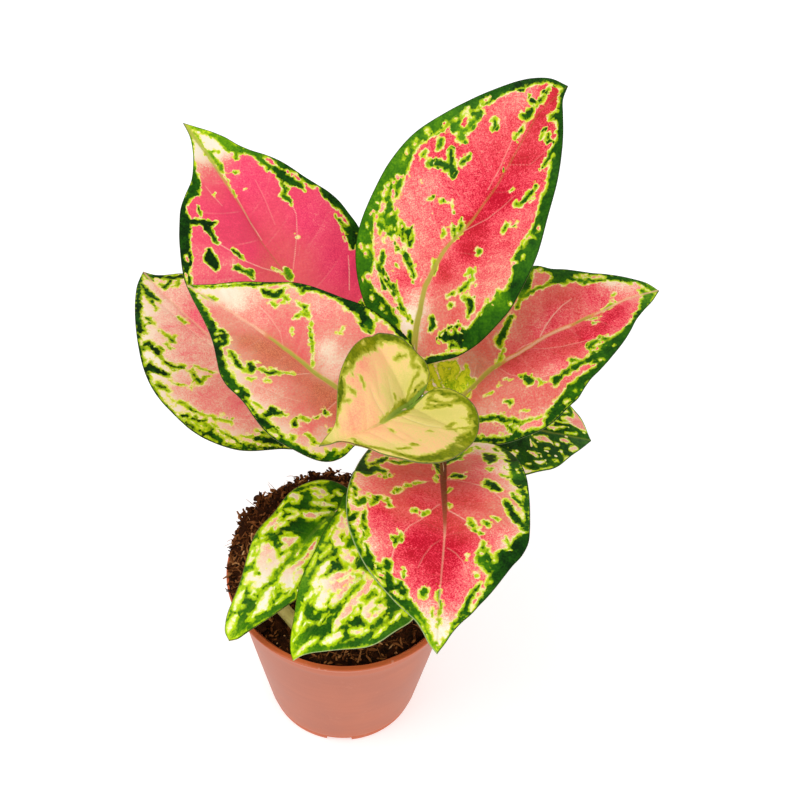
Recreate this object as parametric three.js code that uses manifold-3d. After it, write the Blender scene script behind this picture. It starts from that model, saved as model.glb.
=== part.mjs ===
// Potted Chinese evergreen (Aglaonema) in a small round nursery pot.
// Millimetres, +Z up. The origin is the centre of the pot's foot, on the
// surface that the pot stands on; the plant's front faces -Y.
import * as THREE from 'three';
import { mergeVertices } from 'three/addons/utils/BufferGeometryUtils.js';
import Module from 'manifold-3d';

const wasm = await Module();
wasm.setup();

// ---------------------------------------------------------------- dimensions
const POT_RIM_R = 30.0;        // outer radius at the rim (a 6 cm pot)
const POT_HEIGHT = 51.0;       // foot to rim
const POT_LIP_H = 2.5;         // height of the lip
const POT_BODY_TOP_R = 28.05;  // body just under the lip
const POT_BODY_LOW_R = 20.3;   // body just above the foot
const POT_FOOT_R = 19.6;       // foot ring, outer
const POT_FOOT_IN_R = 17.0;    // foot ring, inner
const POT_FOOT_H = 3.0;
const POT_WALL = 0.9;
const POT_FLOOR_LOW = 1.8;     // underside of the pot's floor
const POT_FLOOR_TOP = 2.9;     // its upper side
const POT_PAD_R = 5.0;         // flat pad under the middle of the floor
const NOTCH_W = 6.6;           // gaps in the foot ring
const NOTCH_H = 1.4;
const NOTCH_COUNT = 4;
const DRAIN_R = 2.5;           // drain holes in the pot's floor
const DRAIN_PCR = 11.0;
const DRAIN_COUNT = 4;
const POT_SIDES = 64;

const GAP = 0.32;              // clearance kept between neighbouring pieces
const SOIL_EDGE_Z = 49.0;      // soil level at the wall, front
const SOIL_BACK_RISE = 1.6;    // how much higher it lies at the back
const SOIL_DOME = 2.2;         // how much it is heaped in the middle

const STEM_R_LOW = 3.1;
const STEM_R_TOP = 2.3;
const STEM_AXIS = [[4.5, 6.0, 38], [5.0, 6.2, 50], [7.5, 7.6, 64], [10.6, 9.0, 78], [12.0, 10.0, 91]];

const BLADE_T = 0.7;           // leaf blade thickness
const STALK_R_LOW = 1.55;      // leaf stalk radius at the stem
const STALK_R_TOP = 0.95;      // and at the blade

// Each leaf lies on a gently folded and arched sheet. base is where the stalk
// meets the blade; along, side and up are its axes; midrib, left and right are
// [distance along, distance sideways] from the base to the tip, in millimetres.
const LEAVES = [
  { id: '01', base: [14.705, 21.989, 104.0], along: [0.43636, 0.58043, 0.68752], side: [-0.79931, 0.60092, 0.0], up: [-0.41314, -0.54955, 0.72616],
    length: 75.634, arch: 5, fold: [0.3, 0.3], cup: 0.4, half: 22, lobe: 0,
    midrib: [[0,0],[9.25,3.23],[18.73,5.66],[28.54,5.37],[37.96,2.49],[47.53,1.4],[57.13,1.73],[66.76,2.35],[75.63,0]],
    left: [[0,0],[1.01,4.06],[2.57,7.97],[4.37,11.83],[6.6,15.48],[9.36,18.77],[12.58,21.62],[16.21,23.91],[20.18,25.6],[24.37,26.64],[28.67,27.19],[33,27.36],[37.33,27.23],[41.63,26.81],[45.87,26.08],[49.98,24.87],[53.82,22.98],[57.39,20.68],[60.87,18.32],[64.33,16],[67.64,13.56],[70.71,10.85],[73.4,7.77],[75.32,4.12],[75.63,0]],
    right: [[0,0],[2.74,-3.63],[5.43,-7.05],[8.07,-10.28],[11.1,-12.74],[14.26,-14.74],[17.57,-16.12],[20.91,-17.1],[24.25,-17.85],[27.6,-18.08],[30.94,-18.15],[34.26,-17.97],[37.54,-17.45],[40.78,-16.66],[44,-15.74],[47.23,-14.79],[50.45,-13.8],[53.66,-12.62],[56.83,-11.26],[60.01,-9.82],[63.15,-8.15],[66.19,-6.06],[69.11,-3.6],[72.16,-1.18],[75.63,0]] },
  { id: '02', base: [-2.33, 37.631, 88.0], along: [-0.59697, 0.55132, 0.58281], side: [-0.73709, -0.66373, -0.12712], up: [0.31675, -0.50547, 0.8026],
    length: 72.065, arch: 4, fold: [0.22, 0.22], cup: 0.45, half: 22, lobe: 0,
    midrib: [[0,0],[9.14,0.79],[18.18,1.14],[27.15,1.35],[36.06,1.93],[44.98,1.06],[53.94,0.62],[62.97,0.09],[72.06,0]],
    left: [[0,0],[1.25,4.17],[3.16,7.94],[5.58,11.27],[8.22,14.28],[11.03,17.02],[14,19.47],[17.13,21.59],[20.39,23.35],[23.8,24.7],[27.35,25.43],[30.95,25.56],[34.56,25.49],[38.12,24.9],[41.49,23.45],[44.77,21.68],[47.98,19.71],[51.02,17.37],[53.93,14.77],[56.28,11.5],[58.46,8.01],[61.41,5.18],[64.67,2.69],[68.25,0.81],[72.06,0]],
    right: [[0,0],[0.44,-3.63],[1.75,-7.02],[3.97,-9.89],[6.57,-12.45],[9.44,-14.72],[12.6,-16.6],[15.94,-18.18],[19.41,-19.45],[22.99,-20.4],[26.65,-20.94],[30.36,-20.86],[34.05,-20.54],[37.58,-19.47],[40.92,-17.87],[44.3,-16.41],[47.74,-15.15],[51.04,-13.59],[54.02,-11.51],[56.86,-9.27],[59.96,-7.46],[63.31,-6.1],[66.37,-4.26],[69.22,-2.12],[72.06,0]] },
  { id: '03', base: [-6.537, 24.108, 79.0], along: [-0.76907, 0.61664, 0.16817], side: [-0.62059, -0.78338, 0.0344], up: [0.15295, -0.0779, 0.98516],
    length: 65.412, arch: 5, fold: [0.18, 0.18], cup: 0.4, half: 22, lobe: 0,
    midrib: [[0,0],[6.94,2.1],[14.14,3.46],[21.57,4.5],[29.27,5.17],[37.38,5.2],[46.02,4.4],[55.23,3.1],[65.41,0]],
    left: [[0,0],[-1.78,3.91],[-1.97,8.09],[-0.61,11.68],[1.29,14.77],[2.97,17.99],[4.81,21.02],[7.01,23.62],[9.53,25.78],[12.22,27.65],[15.11,29.12],[18.31,29.87],[21.69,29.97],[25.15,29.89],[28.68,29.74],[32.32,28.99],[36.01,27.46],[39.71,25.38],[43.44,22.9],[47.21,20.08],[51.03,16.89],[54.88,13.33],[58.75,9.4],[62.43,4.98],[65.41,0]],
    right: [[0,0],[0.92,-2.96],[2.34,-5.71],[4.43,-7.94],[6.91,-9.73],[9.61,-11.25],[12.46,-12.55],[15.44,-13.63],[18.51,-14.5],[21.67,-15.11],[24.87,-15.42],[28.09,-15.42],[31.3,-15.18],[34.5,-14.76],[37.67,-14.17],[40.78,-13.36],[43.78,-12.3],[46.69,-11.05],[49.52,-9.67],[52.3,-8.2],[54.94,-6.56],[57.31,-4.63],[59.48,-2.54],[62.06,-0.85],[65.41,0]] },
  { id: '04', base: [12.604, 2.82, 107.0], along: [-0.83635, 0.54013, 0.09369], side: [-0.54731, -0.83242, -0.08677], up: [0.03112, -0.12385, 0.99181],
    length: 64.043, arch: 5, fold: [0.28, 0.28], cup: 0.35, half: 22, lobe: 0,
    midrib: [[0,-0],[6.73,2.45],[13.77,3.99],[21.15,4.51],[28.91,3.67],[37,2.98],[45.47,2.2],[54.4,1.44],[64.04,-0]],
    left: [[0,-0],[0.67,3.83],[1.54,7.45],[2.43,10.98],[3.04,14.55],[3.2,18.18],[4.41,21.26],[6.55,23.44],[9.21,24.71],[12.08,25.35],[15.03,25.77],[18.06,25.92],[21.18,25.46],[24.33,24.48],[27.5,23.17],[30.78,22.15],[34.16,21.41],[37.52,19.69],[40.66,16.97],[43.88,14.02],[47.39,11.16],[51.24,8.51],[55.3,5.95],[59.55,3.21],[64.04,-0]],
    right: [[0,-0],[-0.22,-3.14],[0.4,-6.18],[1.69,-8.97],[3.42,-11.53],[5.7,-13.62],[8.39,-15.22],[11.38,-16.13],[14.52,-16.31],[17.71,-16.25],[20.92,-16.03],[24.1,-15.48],[27.28,-14.78],[30.53,-14.19],[33.76,-13.49],[36.99,-12.68],[40.17,-11.68],[43.17,-10.34],[46.08,-8.85],[48.97,-7.31],[51.86,-5.75],[54.74,-4.16],[57.65,-2.59],[60.73,-1.18],[64.04,-0]] },
  { id: '05', base: [13.989, -2.734, 118.0], along: [-0.55211, -0.72172, 0.41749], side: [0.76912, -0.63418, -0.0792], up: [0.32192, 0.27737, 0.90523],
    length: 33.534, arch: 2, fold: [0.2, 0.7], cup: 0.2, half: 18, lobe: 0.9,
    midrib: [[0,0],[6.56,1.03],[12.3,2.18],[17.02,2.65],[20.93,2.42],[24.42,1.96],[27.69,1.42],[30.72,0.79],[33.53,-0]],
    left: [[0,0],[-2.3,0.24],[-4.57,0.59],[-6.45,1.74],[-7.55,3.86],[-7.68,6.63],[-7.13,9.58],[-5.99,12.45],[-4.27,14.98],[-2.06,16.79],[1.2,17.88],[7.9,19.55],[12.97,20.18],[16.7,19.74],[19.38,18.52],[21.7,17.1],[23.49,15.36],[24.8,13.34],[25.65,11.07],[26.05,8.57],[26.18,5.94],[26.69,3.47],[28.51,1.86],[31.31,1.19],[33.53,-0]],
    right: [[0,0],[-2.07,-0.05],[-4.14,-0.13],[-5.86,-0.81],[-6.97,-2.13],[-7.19,-3.99],[-6.74,-6.05],[-6.24,-8.13],[-5.44,-10.21],[-4.19,-12.18],[-2.61,-13.94],[-0.76,-15.35],[3.49,-15.21],[8.75,-13.92],[13.14,-12.44],[16.61,-10.99],[19.3,-9.53],[21.42,-8],[23.15,-6.44],[24.62,-4.86],[25.89,-3.28],[27.32,-1.85],[29.27,-0.89],[31.49,-0.46],[33.53,-0]] },
  { id: '06', base: [23.661, 16.398, 95.0], along: [0.83272, 0.50804, 0.22015], side: [-0.51027, 0.8585, -0.05105], up: [-0.21494, -0.06982, 0.97413],
    length: 61.322, arch: 5, fold: [0.2, 0.2], cup: 0.4, half: 22, lobe: 0,
    midrib: [[0,0],[7.1,0.99],[14.36,1.93],[21.7,1.08],[29.32,1.21],[36.92,0.37],[44.86,0.21],[53.22,0.74],[61.32,0]],
    left: [[0,0],[-1.7,4.3],[-2.4,8.6],[-1.1,12.1],[1.6,14.7],[5,16.5],[8.48,17.75],[11.72,19.01],[15.05,19.99],[18.46,20.73],[21.94,21.26],[25.48,21.64],[29.04,21.83],[32.61,21.72],[36.18,21.5],[39.31,20.16],[41.7,17.61],[44.61,15.81],[47.18,13.59],[49.72,11.38],[52.58,9.61],[55.35,7.75],[57.83,5.55],[60.01,3.09],[61.32,-0]],
    right: [[0,0],[-1,-3.94],[-1.19,-7.93],[-0.47,-11.68],[1.03,-14.85],[3.13,-17.23],[5.42,-19.23],[7.87,-20.81],[10.48,-21.89],[13.2,-22.51],[16.02,-22.53],[18.88,-22.12],[21.78,-21.58],[24.71,-20.99],[27.53,-19.33],[30.46,-17.79],[33.56,-16.9],[36.72,-15.8],[39.92,-14.22],[43.18,-12.28],[46.51,-9.99],[49.91,-7.43],[53.51,-5.31],[57.3,-3.14],[61.32,-0]] },
  { id: '07', base: [21.82, 25.003, 80.0], along: [0.97563, 0.09605, -0.19729], side: [-0.09797, 0.99519, 0.0], up: [0.19634, 0.01933, 0.98035],
    length: 40.55, arch: 4, fold: [0.18, 0.18], cup: 0.35, half: 16, lobe: 0,
    midrib: [[0,0],[4.52,-0.96],[9.16,-1.52],[13.94,-1.72],[18.87,-1.76],[23.94,-1.75],[29.14,-1.75],[34.6,-1.37],[40.55,-0]],
    left: [[0,0],[0.46,2.38],[1.1,4.72],[2.11,6.88],[3.53,8.69],[5.25,10.16],[7.16,11.37],[9.2,12.34],[11.34,13.09],[13.56,13.62],[15.82,13.94],[18.1,14.04],[20.38,13.95],[22.64,13.7],[24.88,13.31],[27.07,12.8],[29.21,12.13],[31.22,11.23],[33.02,10.03],[34.64,8.63],[36.35,7.36],[37.92,5.98],[38.91,4.04],[39.63,1.92],[40.55,-0]],
    right: [[0,0],[0.23,-2.91],[0.58,-5.71],[1.12,-8.34],[1.92,-10.74],[2.95,-12.88],[4.17,-14.76],[5.54,-16.35],[7.07,-17.64],[8.73,-18.6],[10.5,-19.22],[12.35,-19.52],[14.26,-19.53],[16.22,-19.27],[18.23,-18.79],[20.28,-18.09],[22.37,-17.19],[24.52,-16.16],[26.71,-14.95],[28.92,-13.23],[31.05,-10.95],[33.25,-8.45],[35.6,-5.89],[38.03,-3.09],[40.55,-0]] },
  { id: '08', base: [22.441, -3.823, 102.0], along: [-0.01074, -0.9907, 0.13564], side: [0.99994, -0.01084, 0.0], up: [0.00147, 0.13563, 0.99076],
    length: 58.981, arch: 6, fold: [0.25, 0.25], cup: 0.4, half: 20, lobe: 0,
    midrib: [[-0,0],[12.39,0.1],[21.82,0.5],[29.75,0.68],[36.7,0.47],[42.96,0.19],[48.68,-0.02],[54,-0.08],[58.98,-0]],
    left: [[-0,0],[-4.55,2.28],[-6.85,5.09],[-7.18,8.1],[-6.18,11.09],[-3.21,13.83],[1.69,15.99],[7.27,17.53],[12.75,18.45],[17.91,18.79],[22.61,18.87],[26.91,18.81],[30.91,18.68],[34.62,18.32],[37.67,16.98],[40.13,15.11],[42.7,13.49],[45.17,11.9],[47.38,10.16],[49.34,8.29],[51.36,6.55],[53.11,4.65],[55,2.94],[57.06,1.51],[58.98,-0]],
    right: [[-0,0],[-3.6,-2.47],[-5.62,-5.32],[-5.9,-8.39],[-4.88,-11.5],[-2.2,-14.48],[2.38,-17.01],[8.14,-18.71],[13.72,-19.81],[18.82,-20.59],[23.55,-20.91],[27.89,-20.72],[31.84,-20.14],[35.36,-19.14],[38.51,-17.88],[41.38,-16.45],[43.86,-14.75],[46.02,-12.85],[48.12,-10.99],[50.03,-9.05],[51.59,-6.9],[53.07,-4.75],[55.08,-3.13],[57.26,-1.8],[58.98,-0]] },
  { id: '09', base: [2.647, 9.051, 70.0], along: [-0.59714, -0.76931, -0.22712], side: [0.78996, -0.61316, 0.0], up: [-0.13926, -0.17942, 0.97387],
    length: 48.433, arch: 4, fold: [0.25, 0.25], cup: 0.35, half: 12, lobe: 0,
    midrib: [[0,0],[6.5,-0.81],[12.97,-1],[19.32,-0.61],[25.44,-0.51],[31.39,-0.29],[37.2,-0.14],[42.87,-0.06],[48.43,0]],
    left: [[0,0],[1.57,2.73],[3.36,5.2],[5.49,7.21],[7.8,8.74],[10.17,9.8],[12.53,10.48],[14.85,10.85],[17.12,10.98],[19.35,10.94],[21.53,10.79],[23.68,10.58],[25.78,10.25],[27.83,9.76],[29.82,9.12],[31.77,8.38],[33.7,7.59],[35.61,6.8],[37.54,6.04],[39.46,5.27],[41.34,4.41],[43.2,3.49],[45.07,2.59],[46.93,1.68],[48.43,0]],
    right: [[0,0],[0.08,-2.49],[0.42,-4.95],[1.24,-7.26],[2.68,-9.23],[4.61,-10.76],[6.96,-11.75],[9.56,-12.19],[12.25,-12.17],[14.95,-11.84],[17.6,-11.54],[20.2,-11.48],[22.76,-11.37],[25.29,-10.91],[27.72,-10.12],[30.07,-9.17],[32.33,-8.11],[34.53,-7.01],[36.76,-6.1],[39.03,-5.42],[41.31,-4.88],[43.54,-4.26],[45.62,-3.31],[47.46,-2],[48.43,0]] },
  { id: '10', base: [12.107, -4.791, 79.0], along: [-0.54308, -0.74483, -0.38768], side: [0.80802, -0.58915, 0.0], up: [-0.2284, -0.31326, 0.92179],
    length: 41.271, arch: 4, fold: [0.25, 0.25], cup: 0.35, half: 16, lobe: 0,
    midrib: [[0,-0],[5.54,1.62],[10.93,2.67],[16.2,2.96],[21.34,2.51],[26.34,1.46],[31.3,0.26],[36.32,-0.19],[41.27,0]],
    left: [[0,-0],[-0.18,2.84],[0.04,5.72],[0.82,8.54],[2.04,11.19],[3.65,13.58],[5.56,15.64],[7.7,17.32],[9.99,18.61],[12.36,19.55],[14.76,20.19],[17.16,20.45],[19.51,20.1],[21.69,19.18],[23.87,18.24],[26.03,17.24],[28.06,15.93],[29.87,14.26],[31.44,12.26],[32.87,10.09],[34.31,7.89],[35.8,5.68],[37.34,3.44],[39.12,1.42],[41.27,-0]],
    right: [[0,-0],[-1.69,-2.16],[-2.89,-4.56],[-3.23,-7.11],[-2.91,-9.58],[-1.93,-11.79],[-0.15,-13.36],[2.43,-13.23],[5.01,-12.19],[7.61,-11.5],[10.18,-11.01],[12.71,-10.55],[15.21,-10.03],[17.68,-9.55],[20.12,-9.12],[22.53,-8.69],[24.9,-8.14],[27.19,-7.45],[29.4,-6.61],[31.51,-5.6],[33.62,-4.64],[35.78,-3.81],[37.89,-2.91],[39.76,-1.65],[41.27,-0]] }
];

// Where each stalk leaves the stem: height on the stem, direction round it in
// degrees, how steeply it meets the blade, and how far it bows aside on its way.
const STALKS = {
  '09': { z: 55, az: 205 }, '10': { z: 59, az: -95 }, '07': { z: 62, az: 35 },
  '03': { z: 81, az: 155, bow: [2, 2, 2] }, '02': { z: 71, az: 84 }, '08': { z: 73, az: -45 },
  '06': { z: 77, az: 10 }, '01': { z: 81, az: 70 }, '04': { z: 82, az: -135, rise: 0.97 },
  '05': { z: 92.5, az: -40, top: true, bow: [6, -1, 0], rise: 0.8 },
};
const STUB_AXIS = [[-8.9, -17.7, 50.4], [-13.4, -14.3, 53.0], [-16.6, -12.0, 56.5]];
const STUB_R = 1.9;

// ---------------------------------------------------------------- colours
const MAT = {
  pot: () => new THREE.MeshStandardMaterial({ color: 0xc4735a, roughness: 0.5, metalness: 0 }),
  soil: () => new THREE.MeshStandardMaterial({ color: 0x2e1a0e, roughness: 0.95, metalness: 0 }),
  stem: () => new THREE.MeshStandardMaterial({ color: 0x8fa95a, roughness: 0.5, metalness: 0 }),
  stalk: () => new THREE.MeshStandardMaterial({ color: 0xb9c07a, roughness: 0.45, metalness: 0 }),
  stub: () => new THREE.MeshStandardMaterial({ color: 0xa8a468, roughness: 0.7, metalness: 0 }),
  leaf: () => new THREE.MeshStandardMaterial({ color: 0xd0566a, roughness: 0.38, metalness: 0 }),
  young: () => new THREE.MeshStandardMaterial({ color: 0xe8c08a, roughness: 0.4, metalness: 0 }),
  old: () => new THREE.MeshStandardMaterial({ color: 0x5f9a35, roughness: 0.38, metalness: 0 }),
};

// ---------------------------------------------------------------- helpers
function bare(geometry) {
  const g = geometry.clone();
  g.deleteAttribute('normal');
  g.deleteAttribute('uv');
  return mergeVertices(g, 1e-4);
}

function toSolid(geometry) {
  const g = bare(geometry);
  return new wasm.Manifold(new wasm.Mesh({
    numProp: 3,
    vertProperties: new Float32Array(g.attributes.position.array),
    triVerts: new Uint32Array(g.index.array),
  }));
}

function toGeometry(solid) {
  const m = solid.getMesh();
  const g = new THREE.BufferGeometry();
  g.setAttribute('position', new THREE.BufferAttribute(new Float32Array(m.vertProperties), 3));
  g.setIndex(new THREE.BufferAttribute(new Uint32Array(m.triVerts), 1));
  g.computeVertexNormals();
  return g;
}

// a LatheGeometry stood up on +Z, from [radius, z] pairs
function lathe(profile, sides) {
  const pts = profile.map(([r, z]) => new THREE.Vector2(r, z));
  const g = new THREE.LatheGeometry(pts, sides);
  g.rotateX(Math.PI / 2);
  return g;
}

// a closed round rod along a curve, with a radius that changes on the way
function bentRod(points, radiusAt, sides, steps) {
  const curve = new THREE.CatmullRomCurve3(points.map((p) => new THREE.Vector3(...p)), false, 'centripetal');
  const frames = curve.computeFrenetFrames(steps, false);
  const g = new THREE.CylinderGeometry(1, 1, 1, sides, steps);
  const pos = g.attributes.position;
  const p = new THREE.Vector3();
  for (let i = 0; i < pos.count; i++) {
    const t = Math.min(1, Math.max(0, pos.getY(i) + 0.5));
    const k = Math.round(t * steps);
    const c = curve.getPointAt(k / steps);
    const r = radiusAt(k / steps);
    p.copy(c)
      .addScaledVector(frames.normals[k], pos.getX(i) * r)
      .addScaledVector(frames.binormals[k], -pos.getZ(i) * r);
    pos.setXYZ(i, p.x, p.y, p.z);
  }
  g.computeVertexNormals();
  return g;
}

function spline(knots, t) {
  const n = knots.length - 1;
  const x = Math.min(1, Math.max(0, t)) * n;
  const i = Math.min(n - 1, Math.floor(x));
  const f = x - i;
  const at = (k, c) => {
    if (k < 0) return 2 * knots[0][c] - knots[1][c];
    if (k > n) return 2 * knots[n][c] - knots[n - 1][c];
    return knots[k][c];
  };
  return [0, 1].map((c) => {
    const a = at(i - 1, c), b = at(i, c), d = at(i + 1, c), e = at(i + 2, c);
    return b + 0.5 * f * (d - a + f * (2 * a - 5 * b + 4 * d - e + f * (3 * (b - d) + e - a)));
  });
}

// sideways place of the midrib at a distance s along the leaf
function midribAt(leaf, s) {
  const k = leaf.midrib;
  if (s <= k[0][0]) return k[0][1];
  for (let i = 1; i < k.length; i++) {
    if (s <= k[i][0]) {
      const f = (s - k[i - 1][0]) / (k[i][0] - k[i - 1][0]);
      return k[i - 1][1] + f * (k[i][1] - k[i - 1][1]);
    }
  }
  return k[k.length - 1][1];
}

// height of the leaf's middle sheet over its base plane
function sheetHeight(leaf, s, w) {
  const x = s / leaf.length;
  let h = x < 0 ? 4 * leaf.arch * x : leaf.arch * 4 * Math.min(x, 1) * (1 - Math.min(x, 1));
  const d = w - midribAt(leaf, s);
  const f = d > 0 ? leaf.fold[0] : leaf.fold[1];
  h += f * Math.abs(d) - leaf.cup * f * d * d / leaf.half;
  h += leaf.lobe * Math.max(0, -s);
  return h;
}

const V = (a) => new THREE.Vector3(...a);

function leafPoint(leaf, s, w, lift) {
  return V(leaf.base)
    .addScaledVector(V(leaf.along), s)
    .addScaledVector(V(leaf.side), w)
    .addScaledVector(V(leaf.up), sheetHeight(leaf, s, w) + lift);
}

// closed blade: an upper and a lower sheet joined along the margin
function leafBlade(leaf, rows, half) {
  const pos = [], tri = [];
  const ring = { top: [], low: [] };
  for (const layer of ['top', 'low']) {
    const lift = layer === 'top' ? BLADE_T / 2 : -BLADE_T / 2;
    for (let i = 0; i <= rows; i++) {
      const lin = i / rows;
      const u = 0.5 * lin + 0.5 * (0.5 - 0.5 * Math.cos(Math.PI * lin));
      const m = spline(leaf.midrib, u), l = spline(leaf.left, u), r = spline(leaf.right, u);
      const row = [];
      if (i === 0 || i === rows) {
        const q = leafPoint(leaf, m[0], m[1], lift);
        pos.push(q.x, q.y, q.z);
        row.push(pos.length / 3 - 1);
      } else {
        for (let j = -half; j <= half; j++) {
          const e = j > 0 ? l : r, v = Math.abs(j) / half;
          const q = leafPoint(leaf, m[0] + v * (e[0] - m[0]), m[1] + v * (e[1] - m[1]), lift);
          pos.push(q.x, q.y, q.z);
          row.push(pos.length / 3 - 1);
        }
      }
      ring[layer].push(row);
    }
  }
  const w = 2 * half;
  for (const layer of ['top', 'low']) {
    const R = ring[layer];
    const put = (a, b, c) => (layer === 'top' ? tri.push(a, b, c) : tri.push(a, c, b));
    for (let j = 0; j < w; j++) put(R[0][0], R[1][j], R[1][j + 1]);
    for (let i = 1; i < rows - 1; i++) {
      for (let j = 0; j < w; j++) {
        put(R[i][j], R[i + 1][j], R[i + 1][j + 1]);
        put(R[i][j], R[i + 1][j + 1], R[i][j + 1]);
      }
    }
    for (let j = 0; j < w; j++) put(R[rows - 1][j], R[rows][0], R[rows - 1][j + 1]);
  }
  const side = (ta, tb, la, lb) => { tri.push(ta, tb, la, tb, lb, la); };
  const T = ring.top, L = ring.low;
  for (let i = 0; i < rows; i++) {
    const a = Math.min(w, T[i].length - 1), b = Math.min(w, T[i + 1].length - 1);
    side(T[i][a], T[i + 1][b], L[i][a], L[i + 1][b]);
    side(T[i + 1][0], T[i][0], L[i + 1][0], L[i][0]);
  }
  const g = new THREE.BufferGeometry();
  g.setAttribute('position', new THREE.BufferAttribute(new Float32Array(pos), 3));
  g.setIndex(tri);
  g.computeVertexNormals();
  return g;
}

// ---------------------------------------------------------------- pieces
const root = new THREE.Group();
function add(name, geometry, material) {
  const mesh = new THREE.Mesh(geometry, material);
  mesh.name = name;
  root.add(mesh);
  return mesh;
}

// pot: turned shell with a lip, a foot ring with gaps and drain holes
const lipLow = POT_HEIGHT - POT_LIP_H;
const potProfile = [
  [0, 0], [POT_PAD_R - 0.4, 0], [POT_PAD_R, 0.4], [POT_PAD_R, POT_FLOOR_LOW], [POT_FOOT_IN_R, POT_FLOOR_LOW], [POT_FOOT_IN_R, 0], [POT_FOOT_R - 0.4, 0],
  [POT_FOOT_R, 0.4], [POT_FOOT_R + 0.1, POT_FOOT_H - 0.4], [POT_BODY_LOW_R, POT_FOOT_H],
  [POT_BODY_TOP_R, lipLow], [POT_RIM_R - 0.9, lipLow + 0.25], [POT_RIM_R - 0.1, POT_HEIGHT - 0.7],
  [POT_RIM_R, POT_HEIGHT - 0.35], [POT_RIM_R - 0.3, POT_HEIGHT], [POT_RIM_R - 1.5, POT_HEIGHT],
  [POT_BODY_TOP_R - POT_WALL, lipLow - 0.4], [POT_BODY_LOW_R - POT_WALL, POT_FLOOR_TOP + 0.6],
  [POT_BODY_LOW_R - POT_WALL - 0.7, POT_FLOOR_TOP], [0, POT_FLOOR_TOP],
];
let pot = toSolid(lathe(potProfile, POT_SIDES));
for (let i = 0; i < NOTCH_COUNT; i++) {
  const a = -Math.PI / 2 + i * 2 * Math.PI / NOTCH_COUNT;
  const g = new THREE.BoxGeometry(8, NOTCH_W, 2 * NOTCH_H);
  g.translate(POT_FOOT_R - 1, 0, 0);
  g.rotateZ(a);
  pot = pot.subtract(toSolid(g));
}
for (let i = 0; i < DRAIN_COUNT; i++) {
  const a = Math.PI / 4 + i * 2 * Math.PI / DRAIN_COUNT;
  const g = new THREE.CylinderGeometry(DRAIN_R, DRAIN_R, 4, 20);
  g.rotateX(Math.PI / 2);
  g.translate(DRAIN_PCR * Math.cos(a), DRAIN_PCR * Math.sin(a), (POT_FLOOR_LOW + POT_FLOOR_TOP) / 2);
  pot = pot.subtract(toSolid(g));
}
add('nursery_pot', toGeometry(pot), MAT.pot());

// potting soil: fills the pot, heaped, higher at the back, with a socket for the stem
const innerAt = (z) => {
  const z0 = POT_FLOOR_TOP + 0.6, r0 = POT_BODY_LOW_R - POT_WALL;
  const z1 = lipLow - 0.4, r1 = POT_BODY_TOP_R - POT_WALL;
  if (z <= z1) return r0 + (r1 - r0) * (z - z0) / (z1 - z0);
  return r1 + (POT_RIM_R - 1.5 - r1) * (z - z1) / (POT_HEIGHT - z1);
};
const soilR = (z) => innerAt(z) - GAP - 0.06;
const soilTopR = soilR(lipLow - 0.4);
const soilProfile = [[0, POT_FLOOR_TOP + GAP], [soilR(POT_FLOOR_TOP + 0.6) - 0.9, POT_FLOOR_TOP + GAP], [soilR(POT_FLOOR_TOP + 1.2), POT_FLOOR_TOP + 1.2], [soilTopR, lipLow - 0.4]];
const rings = 8;
for (let i = 0; i <= rings; i++) soilProfile.push([soilTopR * (1 - i / rings) , SOIL_EDGE_Z]);
const soilGeo = lathe(soilProfile, 40);
{
  const p = soilGeo.attributes.position;
  for (let i = 0; i < p.count; i++) {
    if (p.getZ(i) < SOIL_EDGE_Z - 0.01) continue;
    const x = p.getX(i), y = p.getY(i), r = Math.hypot(x, y) / soilTopR;
    const lump = 0.35 * Math.sin(x * 0.61 + 1.3) * Math.cos(y * 0.53 + 0.4) * (1 - r * r);
    p.setZ(i, SOIL_EDGE_Z + SOIL_DOME * (1 - r * r) + SOIL_BACK_RISE * 0.5 * (y / soilTopR + 1) + lump);
  }
}
let soil = toSolid(soilGeo);
const stemR = (t) => STEM_R_LOW + (STEM_R_TOP - STEM_R_LOW) * t;
const socketAxis = STEM_AXIS.map((p, i) => (i === 0 ? [p[0], p[1], p[2] - GAP] : p));
soil = soil.subtract(toSolid(bentRod(socketAxis, (t) => stemR(t) + GAP + 0.15, 14, 12)));
const stubCut = bentRod([[-7.6, -18.7, 49.7], ...STUB_AXIS], () => STUB_R + GAP + 0.05, 10, 8);
soil = soil.subtract(toSolid(stubCut));
add('potting_soil', toGeometry(soil), MAT.soil());

// main stem
add('main_stem', bentRod(STEM_AXIS, stemR, 12, 12), MAT.stem());

// pale stub of an old stalk lying at the front left of the soil
add('old_stalk_stub', bentRod(STUB_AXIS, (t) => STUB_R * (1 - 0.15 * t), 10, 6), MAT.stub());

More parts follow.
